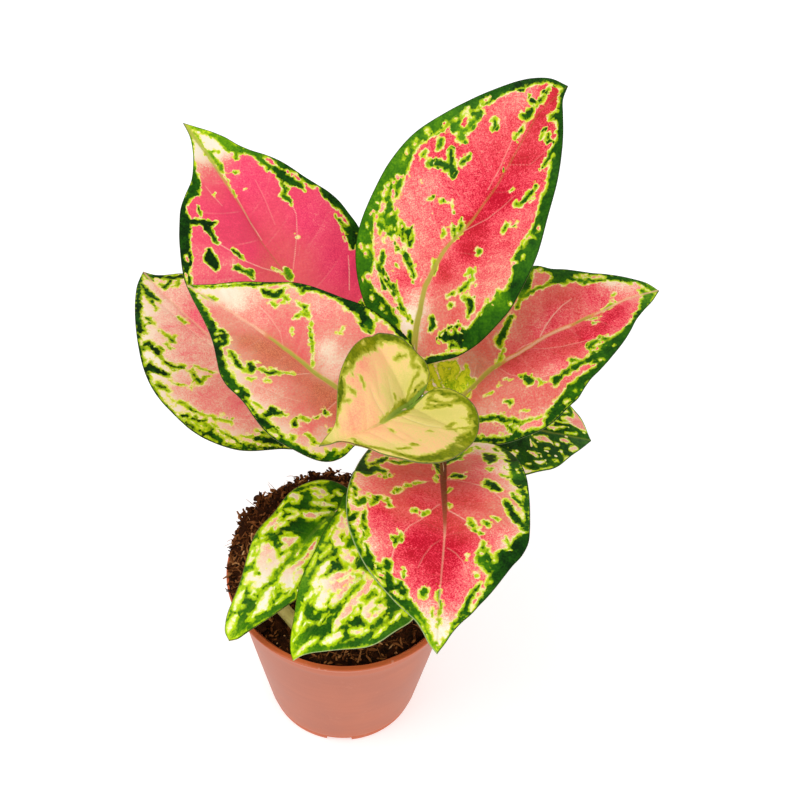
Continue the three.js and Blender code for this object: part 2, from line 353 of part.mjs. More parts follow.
// leaves: blade and stalk
const stemCurve = new THREE.CatmullRomCurve3(STEM_AXIS.map((p) => new THREE.Vector3(...p)), false, 'centripetal');
function stemAt(z) {
  let best = 0, gap = 1e9;
  for (let i = 0; i <= 400; i++) {
    const d = Math.abs(stemCurve.getPointAt(i / 400).z - z);
    if (d < gap) { gap = d; best = i / 400; }
  }
  return { p: stemCurve.getPointAt(best), t: stemCurve.getTangentAt(best), r: stemR(best) };
}
for (const leaf of LEAVES) {
  const material = leaf.id === '05' ? MAT.young() : (['07', '09', '10'].includes(leaf.id) ? MAT.old() : MAT.leaf());
  add(`leaf_blade_${leaf.id}`, leafBlade(leaf, 14, 4), material);
  const s = STALKS[leaf.id];
  const end = leafPoint(leaf, 0.6, midribAt(leaf, 0.6), -(BLADE_T / 2 + GAP + STALK_R_TOP + 0.15));
  const rise = s.rise ?? 0.7;
  const goes = V(leaf.along).multiplyScalar(Math.sqrt(1 - rise * rise)).addScaledVector(V(leaf.up), rise).normalize();
  let start, lean;
  if (s.top) {
    const st = stemCurve.getPointAt(1), tt = stemCurve.getTangentAt(1);
    start = st.clone().addScaledVector(tt, GAP + 0.75);
    lean = tt.clone();
  } else {
    const st = stemAt(s.z);
    const out = new THREE.Vector3(Math.cos(s.az * Math.PI / 180), Math.sin(s.az * Math.PI / 180), 0);
    start = st.p.clone().addScaledVector(out, st.r + STALK_R_LOW + GAP + 0.25);
    lean = st.t.clone().addScaledVector(out, 0.25).normalize();
  }
  const d = start.distanceTo(end);
  const bow = V(s.bow ?? [0, 0, 0]);
  const c = new THREE.CubicBezierCurve3(start, start.clone().addScaledVector(lean, d * 0.42).add(bow), end.clone().addScaledVector(goes, -d * 0.36).add(bow), end);
  const pts = [];
  for (let i = 0; i <= 10; i++) { const q = c.getPoint(i / 10); pts.push([q.x, q.y, q.z]); }
  add(`leaf_stalk_${leaf.id}`, bentRod(pts, (t) => STALK_R_LOW + (STALK_R_TOP - STALK_R_LOW) * t, 8, 10), MAT.stalk());
}

export default root;
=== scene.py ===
import math

import bmesh
import bpy
import numpy as np
from mathutils import Matrix, Vector


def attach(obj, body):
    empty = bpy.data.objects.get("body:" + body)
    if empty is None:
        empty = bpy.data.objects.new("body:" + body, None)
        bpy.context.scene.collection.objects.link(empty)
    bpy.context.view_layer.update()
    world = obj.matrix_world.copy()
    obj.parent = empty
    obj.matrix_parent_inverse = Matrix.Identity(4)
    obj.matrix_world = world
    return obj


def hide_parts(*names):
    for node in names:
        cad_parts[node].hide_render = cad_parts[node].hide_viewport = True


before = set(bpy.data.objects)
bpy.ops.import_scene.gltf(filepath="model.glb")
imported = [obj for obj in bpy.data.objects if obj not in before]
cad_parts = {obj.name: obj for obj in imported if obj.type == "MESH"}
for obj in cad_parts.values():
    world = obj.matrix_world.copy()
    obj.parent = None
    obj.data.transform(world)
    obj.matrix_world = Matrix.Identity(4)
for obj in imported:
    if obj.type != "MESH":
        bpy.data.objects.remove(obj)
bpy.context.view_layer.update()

# Lengths are written in millimetres and turned into metres when a mesh is made.
MM = 0.001
PI = math.pi

# ------------------------------------------------------------------ dimensions
RIM_R, POT_H, LIP_H = 30.0, 51.0, 2.5
BODY_TOP_R, BODY_LOW_R, FOOT_R, FOOT_IN_R, FOOT_H = 28.05, 20.3, 19.6, 17.0, 3.0
WALL, FLOOR_LOW, FLOOR_TOP, PAD_R = 0.9, 1.8, 2.9, 5.0
NOTCH_W, NOTCH_H = 6.6, 1.4
DRAIN_R, DRAIN_PCR = 2.5, 11.0
STEM_AXIS = [(4.5, 6.0, 38), (5.0, 6.2, 50), (7.5, 7.6, 64), (10.6, 9.0, 78), (12.0, 10.0, 91)]
STEM_R_LOW, STEM_R_TOP = 3.1, 2.3
STUB_AXIS = [(-8.9, -17.7, 50.4), (-13.4, -14.3, 53.0), (-16.6, -12.0, 56.5)]
BLADE_T = 0.46          # thickness of a leaf blade
STALKS = {  # where each stalk leaves the stem: height, direction, rise at the blade, bow
    "09": (55, 205, .7, (0, 0, 0)), "10": (59, -95, .7, (0, 0, 0)), "07": (62, 35, .7, (0, 0, 0)),
    "03": (81, 155, .7, (2, 2, 2)), "02": (71, 84, .7, (0, 0, 0)), "08": (73, -45, .7, (0, 0, 0)),
    "06": (77, 10, .7, (0, 0, 0)), "01": (81, 70, .7, (0, 0, 0)), "04": (82, -135, .97, (0, 0, 0)),
    "05": (None, -40, .8, (6, -1, 0)),
}

# Leaves: axes, outline and midrib as in the model, then the variegation, all in
# leaf millimetres: G green strokes (x, y, radius), H openings in the green,
# J green laid over the openings, P, K and B tone points (x, y, tone) of the pink,
# the green and the brown, the brown being partly painted shade in the midrib
# valleys and under overlapping leaves, V side veins (x, y, strength) and R the
# midrib (place along it, colour, half width, strength).
LEAVES = [
    {"id": "01", "base": [14.705, 21.989, 104.0], "along": [0.43636, 0.58043, 0.68752], "side": [-0.79931, 0.60092, 0.0], "up": [-0.41314, -0.54955, 0.72616],
     "length": 75.634, "arch": 5, "fold": [0.3, 0.3], "cup": 0.4, "half": 22, "lobe": 0,
     "midrib": [[0,0],[9.25,3.23],[18.73,5.66],[28.54,5.37],[37.96,2.49],[47.53,1.4],[57.13,1.73],[66.76,2.35],[75.63,0]],
     "left": [[0,0],[1.01,4.06],[2.57,7.97],[4.37,11.83],[6.6,15.48],[9.36,18.77],[12.58,21.62],[16.21,23.91],[20.18,25.6],[24.37,26.64],[28.67,27.19],[33,27.36],[37.33,27.23],[41.63,26.81],[45.87,26.08],[49.98,24.87],[53.82,22.98],[57.39,20.68],[60.87,18.32],[64.33,16],[67.64,13.56],[70.71,10.85],[73.4,7.77],[75.32,4.12],[75.63,0]],
     "right": [[0,0],[2.74,-3.63],[5.43,-7.05],[8.07,-10.28],[11.1,-12.74],[14.26,-14.74],[17.57,-16.12],[20.91,-17.1],[24.25,-17.85],[27.6,-18.08],[30.94,-18.15],[34.26,-17.97],[37.54,-17.45],[40.78,-16.66],[44,-15.74],[47.23,-14.79],[50.45,-13.8],[53.66,-12.62],[56.83,-11.26],[60.01,-9.82],[63.15,-8.15],[66.19,-6.06],[69.11,-3.6],[72.16,-1.18],[75.63,0]],
     "G": [[[75.63,0,0.82],[75.08,4.86,1.04],[71.3,10.25,1.88],[67.97,13.22,2.37],[65.51,15.17,2.86],[61.99,17.59,2.88],[59.42,19.29,3.38],[55.37,21.8,3.66],[51.73,24.11,3.45],[47.48,25.53,3.22],[43.76,26.48,4.23],[39.62,27.24,5.5],[35.15,27.59,6.5],[30.49,27.32,3.5],[26.25,26.77,2.99],[21.48,25.69,3.74],[16.93,24.2,4.49],[14.95,22.88,4.23],[11.92,21.05,2.24],[8.83,18.34,4.21],[6.64,14.96,3.69],[3.73,9.06,3.88],[1.71,4.54,2.4],[0.43,0.19,1.6]],[[75.63,0,1.1],[72.11,-1.42,1.04],[68.97,-3.86,1.78],[66.17,-5.63,1.01],[63.71,-7.43,1.5],[60.56,-9.38,1.98],[57.21,-10.82,1.97],[52.89,-12.89,2.19],[49.87,-13.75,2.92],[47.05,-14.44,2.42],[43.03,-15.32,2.41],[38.59,-15.84,3.13],[35.66,-16.22,3.85],[31.2,-16.66,1.92],[27.32,-16.66,1.92],[24.53,-16.25,2.89],[21.01,-15.92,4.12],[17.54,-15.2,4.4],[12.94,-13.79,3.97],[9.89,-11.39,3.04],[7.33,-8.91,1.29],[4.52,-5.39,1.32],[1.62,-1.68,1.09]],[[49.72,14.86,0.59],[47.07,13.28,0.95],[45.55,12.12,1.06]],[[44.39,17.83,0.72],[45.84,15.6,0.95],[45.92,13.43,0.95]],[[45.36,20.12,0.53],[46.4,20.18,0.39]],[[54.41,15.25,0.95],[53.29,14.28,0.83]],[[55.31,16.65,1.44],[54.91,19.5,1.69],[55.78,14.73,0.95],[58.42,13.92,0.95],[59.98,14.09,1.19]],[[50.23,18.54,0.72],[48.79,17.65,0.6]],[[31.42,23.39,2.21],[29.52,20.92,2.19],[26.68,20.28,2.43],[26.26,18.08,1.45],[23.54,19.22,0.73]],[[48.09,10.88,0.59],[49.99,10.37,0.7],[50.5,10.41,0.47]],[[60.54,9.57,0.58],[59.2,9,0.42],[58.16,8.89,0.19]],[[59.27,3.54,0.23],[61.46,3.57,0.46],[62.5,3.69,0.32]],[[64.64,5.26,0.58],[64.99,4.18,0.92],[66.45,4.05,0.81],[67.18,4.24,0.58]],[[68.93,5.08,0.58],[68.24,3.87,0.69]],[[69.61,3.43,0.46],[71.39,3.23,0.46],[72.85,3.06,0.34]],[[67.53,-1.8,1.03],[68.56,-2.92,1.28]],[[63.7,-3.72,0.46],[62.46,-4,0.46]],[[61.46,-7.22,0.75],[59.51,-7.07,0.62],[57.36,-7.06,0.5],[55.21,-7.03,0.25]],[[51.76,-8.21,0.35],[49.71,-7.78,0.5],[47.45,-7.49,0.63],[46.21,-7.1,0.75],[45.86,-5.77,0.5]],[[47.6,-8.94,0.15],[48.83,-9.32,0.07]],[[48.25,-2.79,0.15]],[[38.5,10.89,0.33]],[[39.69,17.64,-0.05]],[[36.38,13.85,-0.29]],[[37.7,12.37,-0.19]],[[34.7,11.59,-0.28]],[[32.76,7.94,0.09],[31.22,6.95,0.19]],[[33.81,5.54,0.51],[32.07,4.46,0.42]],[[35.95,4.51,0.42],[33.97,4.31,0.37]],[[24.6,6.13,0.42],[22.77,4.99,0.53]],[[32.18,-3.76,0.71]],[[39.12,-6.65,0.45],[40.66,-6.54,0.55]],[[41.04,-8.47,0.25],[42.08,-9.01,0.15]],[[26.33,-3.15,0.26],[27.41,-3.75,0.36],[27.48,-4.98,0.2]],[[25.32,-5.4,0.4],[23.72,-4.79,0.66],[22.32,-4.05,0.51]],[[20.86,-2.65,0.31],[19.39,-1.22,0.16]],[[20.95,-5.52,0.51],[21.39,-7.48,1.01],[20.03,-8.91,0.88],[17.61,-8.73,0.3]],[[18.18,-3.59,0.57]],[[22.66,-12.59,0.25],[23.66,-12,0.25]],[[26.38,-12.78,0.15],[27.05,-13.58,0.1]],[[12.58,-0.07,0.8],[11.82,-1.18,0.93],[10.6,-0.82,0.8]],[[10.86,-5.07,1.3],[12.49,-6.8,1.8],[13.3,-8.92,2.03],[13.44,-10.74,1.51]],[[10.25,-8.01,1.03],[11.11,-10.74,1.26],[13.17,-12.74,1.75]],[[28.64,17.06,0.72],[27.43,15.88,0.67],[25.77,15.04,0.48]],[[28.12,14.58,0.95],[26.58,13.53,0.81],[25.43,13.22,0.62]],[[23.39,13.57,0.76],[22.08,12.1,0.95],[20.77,10.63,0.71],[19.16,8.75,0.33]],[[23.38,16.04,0.48],[23.31,15.18,0.48]],[[20.38,18.16,0.63],[18.47,17.75,0.78],[17.1,17.34,0.97],[15.91,15.6,0.73],[14.62,13.56,0.72],[13.54,11.64,0.72],[12.37,9.42,0.57],[11.17,7.75,0.71],[9.97,6.08,0.43]],[[15.31,12.8,0.48],[13.99,11.32,0.48]],[[19.66,13.61,0.19]],[[10.57,14.62,0.97],[10.25,12.78,0.82],[9.29,10.64,0.72],[7.69,8.21,0.96]],[[7.06,4.12,0.62],[4.64,2.7,0.71]],[[36.68,14.29,0.12],[37.57,13.12,0.21]],[[38.9,8.69,0.09],[37.49,7.41,0.07]],[[61.53,-2.48,0.2],[63.9,-2.3,0.13]],[[25.93,-3.4,0.36],[27.25,-4.5,0.46],[25.88,-6,0.35]],[[23.26,-12.24,0.37]],[[25.11,-13.85,0.41],[26.88,-14.28,0.32]]],
     "H": [[[43.85,24.15,0.54],[44.9,24.21,0.35]],[[47.86,23.7,0.42]],[[51.04,22.78,0.59]],[[53.44,19.7,0.44],[54.28,19.66,0.39]],[[56.53,17.98,0.63]],[[54.22,18.2,0.51]],[[58.53,17.31,0.48],[59.59,16.87,0.43],[58.71,14.92,0.38]],[[57.95,15.82,0.95],[56.18,15.53,0.95]],[[52.87,17.64,0.86],[51.51,17.64,0.86]],[[53.65,16.17,0.38],[52.1,15.48,0.43],[50.99,14.52,0.43]],[[48.74,16.22,0.96],[47.31,15.35,0.95]],[[46.82,17.3,0.62],[46.37,18.16,0.48]],[[62.28,14.45,0.57],[63.86,14.1,0.47],[65.12,13.83,0.33]],[[36.71,23.42,0.57]],[[34.02,24.53,0.59],[32.75,24.41,0.49]],[[30.77,23.62,0.69],[28.88,23.18,0.69]],[[34.94,22.71,0.64],[33.59,22.24,0.49],[32.29,20.67,0.63],[30.93,20.23,0.49]],[[29.55,20.36,0.58]],[[27.58,23.65,0.52]],[[27.25,21.73,0.49]],[[26.56,20.51,0.39]],[[24.79,21.87,0.59]],[[24.43,24.6,0.37]],[[26.53,19.06,0.58]],[[24.66,20.09,0.73],[22.94,20.34,0.98],[20.92,20.15,0.98],[19.13,19.51,0.73],[18.12,18.42,0.39]],[[23.68,18.44,0.97],[22.4,16.38,0.96]],[[20.26,16.41,0.48],[20.64,13.28,0.48]],[[25.25,17,0.72]],[[24.52,14.41,0.43],[24.37,13.24,0.33]],[[19.42,24.02,0.67]],[[20.26,22.4,0.52]],[[18.56,22.1,0.52]],[[13.86,19.4,0.74],[14.29,17.61,1.22],[13.3,15.98,1.22],[12.65,14.25,0.73]],[[10.17,15.84,0.49]],[[11.75,12.96,0.53]],[[8.74,12.59,0.44]],[[8.3,-7.75,0.47],[9.79,-10.18,0.48],[10.68,-11.91,0.35]],[[12.57,-6.43,0.62]],[[31.64,-11.32,0.39],[33.4,-11.7,0.44],[34.42,-13.75,0.29]],[[36.2,-14.7,0.58]],[[38.57,-13.17,0.34],[40.83,-13.5,0.34],[41.18,-14.75,0.24]],[[43.49,-14.13,0.49]],[[25.42,-17.49,0.43]],[[50.68,20.82,0.41]],[[53.58,18.37,0.39]],[[46.92,23.41,0.37]],[[35.6,24.55,0.4]],[[42.27,24.07,0.32]],[[60.23,16.72,0.36]]],
     "J": [],
     "P": [[72.87,0.17,0.95],[65.56,0.88,0.85],[54.73,-2.32,0.92],[44.9,-1.28,0.98],[37.37,0.59,0.98],[31.42,-1.03,0.95],[23.39,1.94,0.92],[39.87,-4.86,0.7],[42.1,-9.61,0.62],[52.22,-5.71,0.72],[58.39,-7.56,0.75],[52.14,-11.31,0.68],[57.1,6.39,0.7],[49.78,7.31,0.72],[42.46,8.48,0.7],[35.08,9.9,0.6],[32.67,16.9,0.5],[47.26,19.56,0.72],[47.92,15.72,0.75],[55.82,13.65,0.68],[63.23,10.19,0.58],[68.52,8.23,0.5],[40.09,15.35,0.5],[27.63,11.61,0.45],[28.91,6.9,0.55],[20.95,6.98,0.5],[17.92,10.02,0.72],[12.79,9.63,0.62],[14.57,6.48,0.3],[9.79,5.46,0.03],[13.07,4.41,0.14],[7.09,5.48,0.05],[9.26,7.35,0.1],[9.05,9.15,0.5],[22.94,20.34,0.45],[23.11,17.03,0.5],[13.75,17.62,0.42],[30.56,23.51,0.4],[30.9,-10.89,0.55],[31.28,-14.26,0.5],[25.52,-15.67,0.28],[26,-11.51,0.42],[27.59,-6.82,0.64],[20.59,-11.05,0.55],[16.53,-5.52,0.62],[17.7,0.13,0.52],[20.97,-1.26,0.55],[16.97,-10.03,0.5],[9.89,-2.57,0.55],[7.61,-4.8,0.6],[23.4,-6.27,0.4]],
     "K": [[30.66,25.92,0.42],[19.06,22.66,0.46],[12.16,20.58,0.5],[41.81,24.98,0.42],[55.58,21.93,0.45],[64.12,16.19,0.7],[72.3,7.95,0.9],[75.98,2.24,0.8],[67.93,-4.64,0.85],[59.44,-9.87,0.75],[50.36,-13.12,0.72],[42.32,-15.49,0.66],[34.17,-14.81,0.62],[28.66,-16.75,0.9],[20.77,-15.47,0.68],[14.56,-14.43,0.7],[11.86,-8.11,0.95],[5.39,-6.62,0.9],[47.68,13.64,0.75],[53.8,14.87,0.35],[27.5,14.27,0.8],[22.08,12.1,0.75],[16.24,15.49,0.75],[20.79,-7.83,0.95],[10.39,13.97,0.7],[27.24,19.72,0.4],[35.64,21.35,0.5],[26.64,-4.88,0.2],[23.26,-12.24,0.35],[25.74,-14.07,0.3]],
     "B": [[16.53,-5.52,0.35],[11.57,-3.35,0.5],[15.35,-10.93,0.2],[9.14,-6.32,0.6],[44.9,-1.28,0],[38.16,11.52,0],[61.35,3.76,0.1],[31.42,-1.03,0.05],[13.98,7.52,0],[24.59,-8.68,0.1]],
     "V": [[[34.1,3.6,0.7],[36.7,1.46,0.7],[39.72,-1.05,0.6],[43.51,-2.94,0.4],[47.36,-4.39,0.3]],[[45.59,2.84,0.5],[50.36,2.93,0.5],[55.94,3.61,0.4],[61.54,4.4,0.3]],[[26.91,2.9,0.3],[30.97,7.88,0.4],[35.99,13.1,0.3],[40.89,16.36,0.2]],[[18.73,3.49,0.3],[22.06,8.32,0.3],[25.66,12.8,0.3]],[[11.8,1.57,0.4],[13.52,5.96,0.3],[15.48,9.61,0.2]],[[16.81,2,0.5],[20.77,-1.39,0.5],[25.61,-4.9,0.4],[30.95,-7.78,0.3]],[[59.31,2.53,0.3],[64.5,3.11,0.3],[68.68,3.11,0.2]],[[53.12,1.42,0.3],[55.26,-3.54,0.3],[60.21,-5.64,0.2]]],
     "R": [[0,0.26,0.9,1],[0.12,0.26,0.72,1],[0.25,0.27,0.52,0.95],[0.42,0.29,0.32,0.8],[0.52,0.36,0.16,0.55],[0.62,0.44,0.1,0.5],[0.8,0.44,0.08,0.4],[1,0.4,0.06,0.3]],
     "hw": 1.05,
     "specks": 1.1,
     "vein_show": 0.3,
     "pshift": 0.05,
     "flank": [[0, 0.75], [0.25, 0.5], [0.5, 0.15], [1, 0]],
    },
    {"id": "02", "base": [-2.33, 37.631, 88.0], "along": [-0.59697, 0.55132, 0.58281], "side": [-0.73709, -0.66373, -0.12712], "up": [0.31675, -0.50547, 0.8026],
     "length": 72.065, "arch": 4, "fold": [0.22, 0.22], "cup": 0.45, "half": 22, "lobe": 0,
     "midrib": [[0,0],[9.14,0.79],[18.18,1.14],[27.15,1.35],[36.06,1.93],[44.98,1.06],[53.94,0.62],[62.97,0.09],[72.06,0]],
     "left": [[0,0],[1.25,4.17],[3.16,7.94],[5.58,11.27],[8.22,14.28],[11.03,17.02],[14,19.47],[17.13,21.59],[20.39,23.35],[23.8,24.7],[27.35,25.43],[30.95,25.56],[34.56,25.49],[38.12,24.9],[41.49,23.45],[44.77,21.68],[47.98,19.71],[51.02,17.37],[53.93,14.77],[56.28,11.5],[58.46,8.01],[61.41,5.18],[64.67,2.69],[68.25,0.81],[72.06,0]],
     "right": [[0,0],[0.44,-3.63],[1.75,-7.02],[3.97,-9.89],[6.57,-12.45],[9.44,-14.72],[12.6,-16.6],[15.94,-18.18],[19.41,-19.45],[22.99,-20.4],[26.65,-20.94],[30.36,-20.86],[34.05,-20.54],[37.58,-19.47],[40.92,-17.87],[44.3,-16.41],[47.74,-15.15],[51.04,-13.59],[54.02,-11.51],[56.86,-9.27],[59.96,-7.46],[63.31,-6.1],[66.37,-4.26],[69.22,-2.12],[72.06,0]],
     "G": [[[72.4,0.08,0.65],[70.57,0.22,0.81],[67.86,1.09,0.54],[65.41,2.38,0.35],[63.24,4.1,0.42],[61.3,5.61,0.68],[58.9,6.81,1.2],[57.29,7.74,1.3],[55.84,9.48,1.55],[55.14,11.92,0.67],[54.31,14.1,1.02],[52.77,15.56,1.27],[50.85,16.37,1.9],[49.2,17.59,2.02],[47.27,19.31,2.13],[45.09,20.6,2],[42.65,21.44,1.49],[40.89,22.4,1.12],[39.01,23.14,0.5],[37.26,24.09,0.49]],[[72.4,0.08,0.52],[69.35,-1.57,0.55],[66.71,-3.5,0.65],[63.79,-4.95,1.1],[60.6,-5.92,1.16],[58.8,-6.71,0.85],[57.57,-8.52,0.86],[55.3,-9.61,1.11],[53.64,-10.24,1.26],[52.91,-11.84,0.76],[50.98,-12.9,0.92],[48.84,-13.82,1.02],[46.92,-14.91,0.61],[44.79,-15.86,0.77],[42.31,-16.89,0.98],[40.38,-18.03,1.03],[38.38,-18.81,1.29],[36.3,-19.24,1.6],[34.37,-19.46,1.45],[32.71,-20.21,0.93],[30.77,-20.44,0.94],[28.61,-20.54,1.3],[26.39,-20.28,1.56]],[[53.01,-9.78,0.66],[51.15,-10.27,0.66],[49.78,-11.42,0.86],[47.92,-11.92,1.37],[46.13,-12.79,1.32],[44.35,-13.67,1.12],[42.9,-14.51,0.66],[41.45,-14.4,0.26],[40.9,-14.32,0.05]],[[45.9,-10.78,0.56],[44.24,-10.52,0.66],[43.06,-9.08,0.65],[41.75,-9.68,0.66],[40.3,-9.58,0.3],[39.54,-9.35,0]],[[58.65,-6,0.7],[57.25,-5.29,0.45]],[[62.46,-4.59,0.65],[60.03,-4.91,0.4]],[[68.42,-0.61,0.4],[65.69,-0.42,0.4],[63.53,-0.34,0.3],[61.93,-0.37,0.6],[59.98,-0.44,0.6],[57.83,-0.38,0.59],[56.03,-0.28,0.22],[54.44,-0.35,0.05],[52.37,0.22,-0.05],[50.71,0.49,0.2],[49.61,0.67,0.1]],[[62.12,0.4,0.16],[61.87,-1.79,0.3],[60.84,-2.82,0.1]],[[31.79,-17.32,0.26],[30.41,-17.63,0.57],[29.16,-17.71,0.41],[27.7,-17.66,0.77],[26.39,-18.35,1.55],[24.3,-17.88,1.55],[22.78,-16.52,0.77]],[[49.82,14.66,0.76],[48.79,12.93,0.66],[47.6,11.93,1.02],[46.48,10.54,0.72],[46.51,9.56,0.41]],[[46.64,12.33,0.87],[44.74,12.16,0.72],[43.32,12.27,0.72],[42.1,12.22,0.36]],[[52.38,10.85,0.1],[51.08,11.21,0.39],[50.11,11.62,0.15]],[[41.63,15.4,0.76],[40.47,15.94,1.52],[38.85,16.18,1.42],[37.23,16.41,0.81]],[[38.83,10.17,0.21],[37.69,9.72,0.57],[36.54,9.28,0.67],[35.27,8.6,0.26]],[[34.6,12.01,0.62],[33.53,11.19,0.67],[32.32,10.15,0.57],[31.38,9.55,0.62],[30.02,9.25,0.16]],[[27.92,0.59,0.35],[26.61,0.84,0.84],[25.31,1.1,0.89]],[[54.25,-2.87,0.42]],[[49.49,-2.19,0.22]],[[52.52,5.31,0.03]],[[32.65,-6.13,0.2]],[[29.68,3.54,0.05],[27.77,2.28,0.05]]],
     "H": [[[43.47,20.85,0.47],[42.19,21.17,0.25]],[[40.11,21.14,0.5],[39.36,22.29,0.6]],[[53.1,-11.06,0.51],[51.79,-11.65,0.61],[50.62,-12.02,0.41]],[[47.73,-13.63,0.41],[46.22,-14.09,0.61],[44.91,-14.7,0.51],[44.08,-15.04,0.2]],[[40.02,-17.14,0.46],[41.33,-16.51,0.26]],[[33.45,-17.53,0.67],[32.14,-18.2,0.77],[30.62,-18.73,0.78],[28.82,-18.75,0.67]],[[66.26,-1.41,0.5],[64.59,-1.98,0.75],[62.93,-2.55,0.65]]],
     "J": [],
     "P": [[66.27,-2.3,-0.2],[63.35,-2.85,-0.2],[67.09,-0.24,-0.2],[64.72,2.28,-0.2],[62.22,2.29,0],[60.88,4.32,0.28],[60.99,-3.52,-0.1],[59.38,-3.55,0.2],[60.97,-1.73,-0.05],[58.58,3.51,0.42],[56.4,2.93,0.6],[57.01,-2.45,0.55],[53.07,3.58,0.74],[54.86,6.73,0.72],[52.09,11.39,0.72],[46.35,15.36,0.62],[55.38,-4.85,0.7],[51.74,-7.06,0.7],[51.01,-3.56,0.68],[52.38,-1.56,0.66],[49.41,2.47,0.82],[50.28,6.7,0.76],[48.83,9.41,0.74],[46.89,6.05,0.86],[44.95,2.61,0.96],[40.92,2.37,1],[37.78,2.07,1],[39.49,5.12,0.9],[43.52,6.98,0.84],[43.11,9.88,0.82],[38.72,8.96,0.8],[35.92,6.14,0.86],[33.71,3.83,0.95],[31.19,3.07,0.7],[31.02,5.88,0.86],[45.69,-1.03,0.74],[44.05,-3.45,0.74],[46.08,-7.26,0.7],[40.83,-6.01,0.72],[37.79,-1.51,0.72],[36.77,-5.3,0.74],[31.62,-1.84,0.72],[32.99,0.23,0.78],[39.91,-12.06,0.78],[37.23,-13.89,0.62],[31.98,-12.73,0.6],[33.9,-9.72,0.78],[29.21,-7.78,0.63],[27.49,-12.78,0.76],[23.27,-12.44,0.8],[21.27,-8.63,0.7],[20.84,-13.01,0.76],[24.74,-3.3,0.66],[18.53,-3.81,0.66],[16.07,-9.88,0.74],[17.92,-13.9,0.98],[41.98,17.94,0.5],[38.53,19.52,0.48],[39.32,13.01,0.62],[36.74,13.62,0.4],[36.23,11.77,0.35],[34.7,14.16,0.55],[36.51,20.04,0.5],[34.13,17.1,0.52],[30.81,11.58,0.6],[27.11,7.79,0.62],[22.69,2.68,0.6]],
     "K": [[71.14,0.09,0.1],[68.23,-2.24,0.12],[63.79,-4.95,0.18],[60.25,-5.96,0.3],[57.57,-8.52,0.5],[53.64,-10.24,0.45],[46.96,-12.46,0.95],[43.46,-14.59,0.85],[42.52,-17.04,0.85],[36.44,-19.02,0.9],[31.88,-20.58,0.85],[24.86,-17.94,0.97],[43.48,-10.29,0.6],[62.8,4.43,0.3],[57.63,7.8,0.8],[53.47,14.73,0.85],[48.04,18.14,0.95],[47.39,12.08,0.97],[43.11,12.42,0.85],[39.93,16.02,1],[37.01,9.58,0.9],[34,11.49,0.8],[31.72,9.62,0.45],[26.06,0.9,0.35],[62.14,-0.52,0.2],[59.08,-0.38,0.25],[54.25,-2.87,0.55],[30.06,-17.7,0.6]],
     "B": [[30.92,2.6,0.5],[28.19,1.97,0.5],[28.46,-1.25,0.35],[46.24,4.91,0.1],[36.34,5.83,0.1],[34.39,-11.29,0],[52.25,-2.65,0],[58.58,3.51,0.35],[35.51,14.52,0.1],[34.35,2.33,0.3],[51.16,10.83,0.1],[21.95,-12.18,0],[53.84,4.93,0.25]],
     "V": [[[26.4,-0.8,0.9],[29.83,-3.65,0.9],[33.68,-6.83,1],[37.54,-9.17,0.9],[39.96,-9.64,0.8],[43.35,-10.5,0.5],[45.56,-10.85,0.3]],[[28.18,2.99,0.6],[31.02,5.88,0.7],[34.25,8.39,0.8],[37.82,9.95,0.7],[40.83,11.57,0.7],[43.37,12.86,0.3]],[[36.83,1.51,0.5],[42.18,1.41,0.6],[48.37,0.65,0.6],[53.47,0.03,0.5],[57.48,-0.42,0.3]],[[55.58,5.84,0.3],[52.44,5.7,0.4],[49.17,5.28,0.3]],[[30.59,-5.66,0.2],[28.59,-3.73,0.3]],[[38.14,-3.24,0.2],[44.68,-4.78,0.3],[50.2,-5.67,0.2]],[[14.47,-10.09,0.8],[18.62,-12.79,0.9],[21.67,-14.5,0.8]]],
     "R": [[0,0.26,0.4,0.6],[0.12,0.28,0.26,0.6],[0.3,0.38,0.12,0.5],[0.5,0.42,0.08,0.45],[0.68,0.36,0.12,0.5],[0.8,0.24,0.26,0.7],[1,0.22,0.35,0.8]],
     "hw": 0.8,
     "specks": 0.5,
     "vein_show": 0.5,
     "cool": 0.55,
     "pshift": 0.08,
     "sand": 0.85,
     "flank": [[0, 0.3], [0.15, 0], [0.6, 0], [0.75, 0.35], [1, 0.7]],
    },
    {"id": "03", "base": [-6.537, 24.108, 79.0], "along": [-0.76907, 0.61664, 0.16817], "side": [-0.62059, -0.78338, 0.0344], "up": [0.15295, -0.0779, 0.98516],
     "length": 65.412, "arch": 5, "fold": [0.18, 0.18], "cup": 0.4, "half": 22, "lobe": 0,
     "midrib": [[0,0],[6.94,2.1],[14.14,3.46],[21.57,4.5],[29.27,5.17],[37.38,5.2],[46.02,4.4],[55.23,3.1],[65.41,0]],
     "left": [[0,0],[-1.78,3.91],[-1.97,8.09],[-0.61,11.68],[1.29,14.77],[2.97,17.99],[4.81,21.02],[7.01,23.62],[9.53,25.78],[12.22,27.65],[15.11,29.12],[18.31,29.87],[21.69,29.97],[25.15,29.89],[28.68,29.74],[32.32,28.99],[36.01,27.46],[39.71,25.38],[43.44,22.9],[47.21,20.08],[51.03,16.89],[54.88,13.33],[58.75,9.4],[62.43,4.98],[65.41,0]],
     "right": [[0,0],[0.92,-2.96],[2.34,-5.71],[4.43,-7.94],[6.91,-9.73],[9.61,-11.25],[12.46,-12.55],[15.44,-13.63],[18.51,-14.5],[21.67,-15.11],[24.87,-15.42],[28.09,-15.42],[31.3,-15.18],[34.5,-14.76],[37.67,-14.17],[40.78,-13.36],[43.78,-12.3],[46.69,-11.05],[49.52,-9.67],[52.3,-8.2],[54.94,-6.56],[57.31,-4.63],[59.48,-2.54],[62.06,-0.85],[65.41,0]],
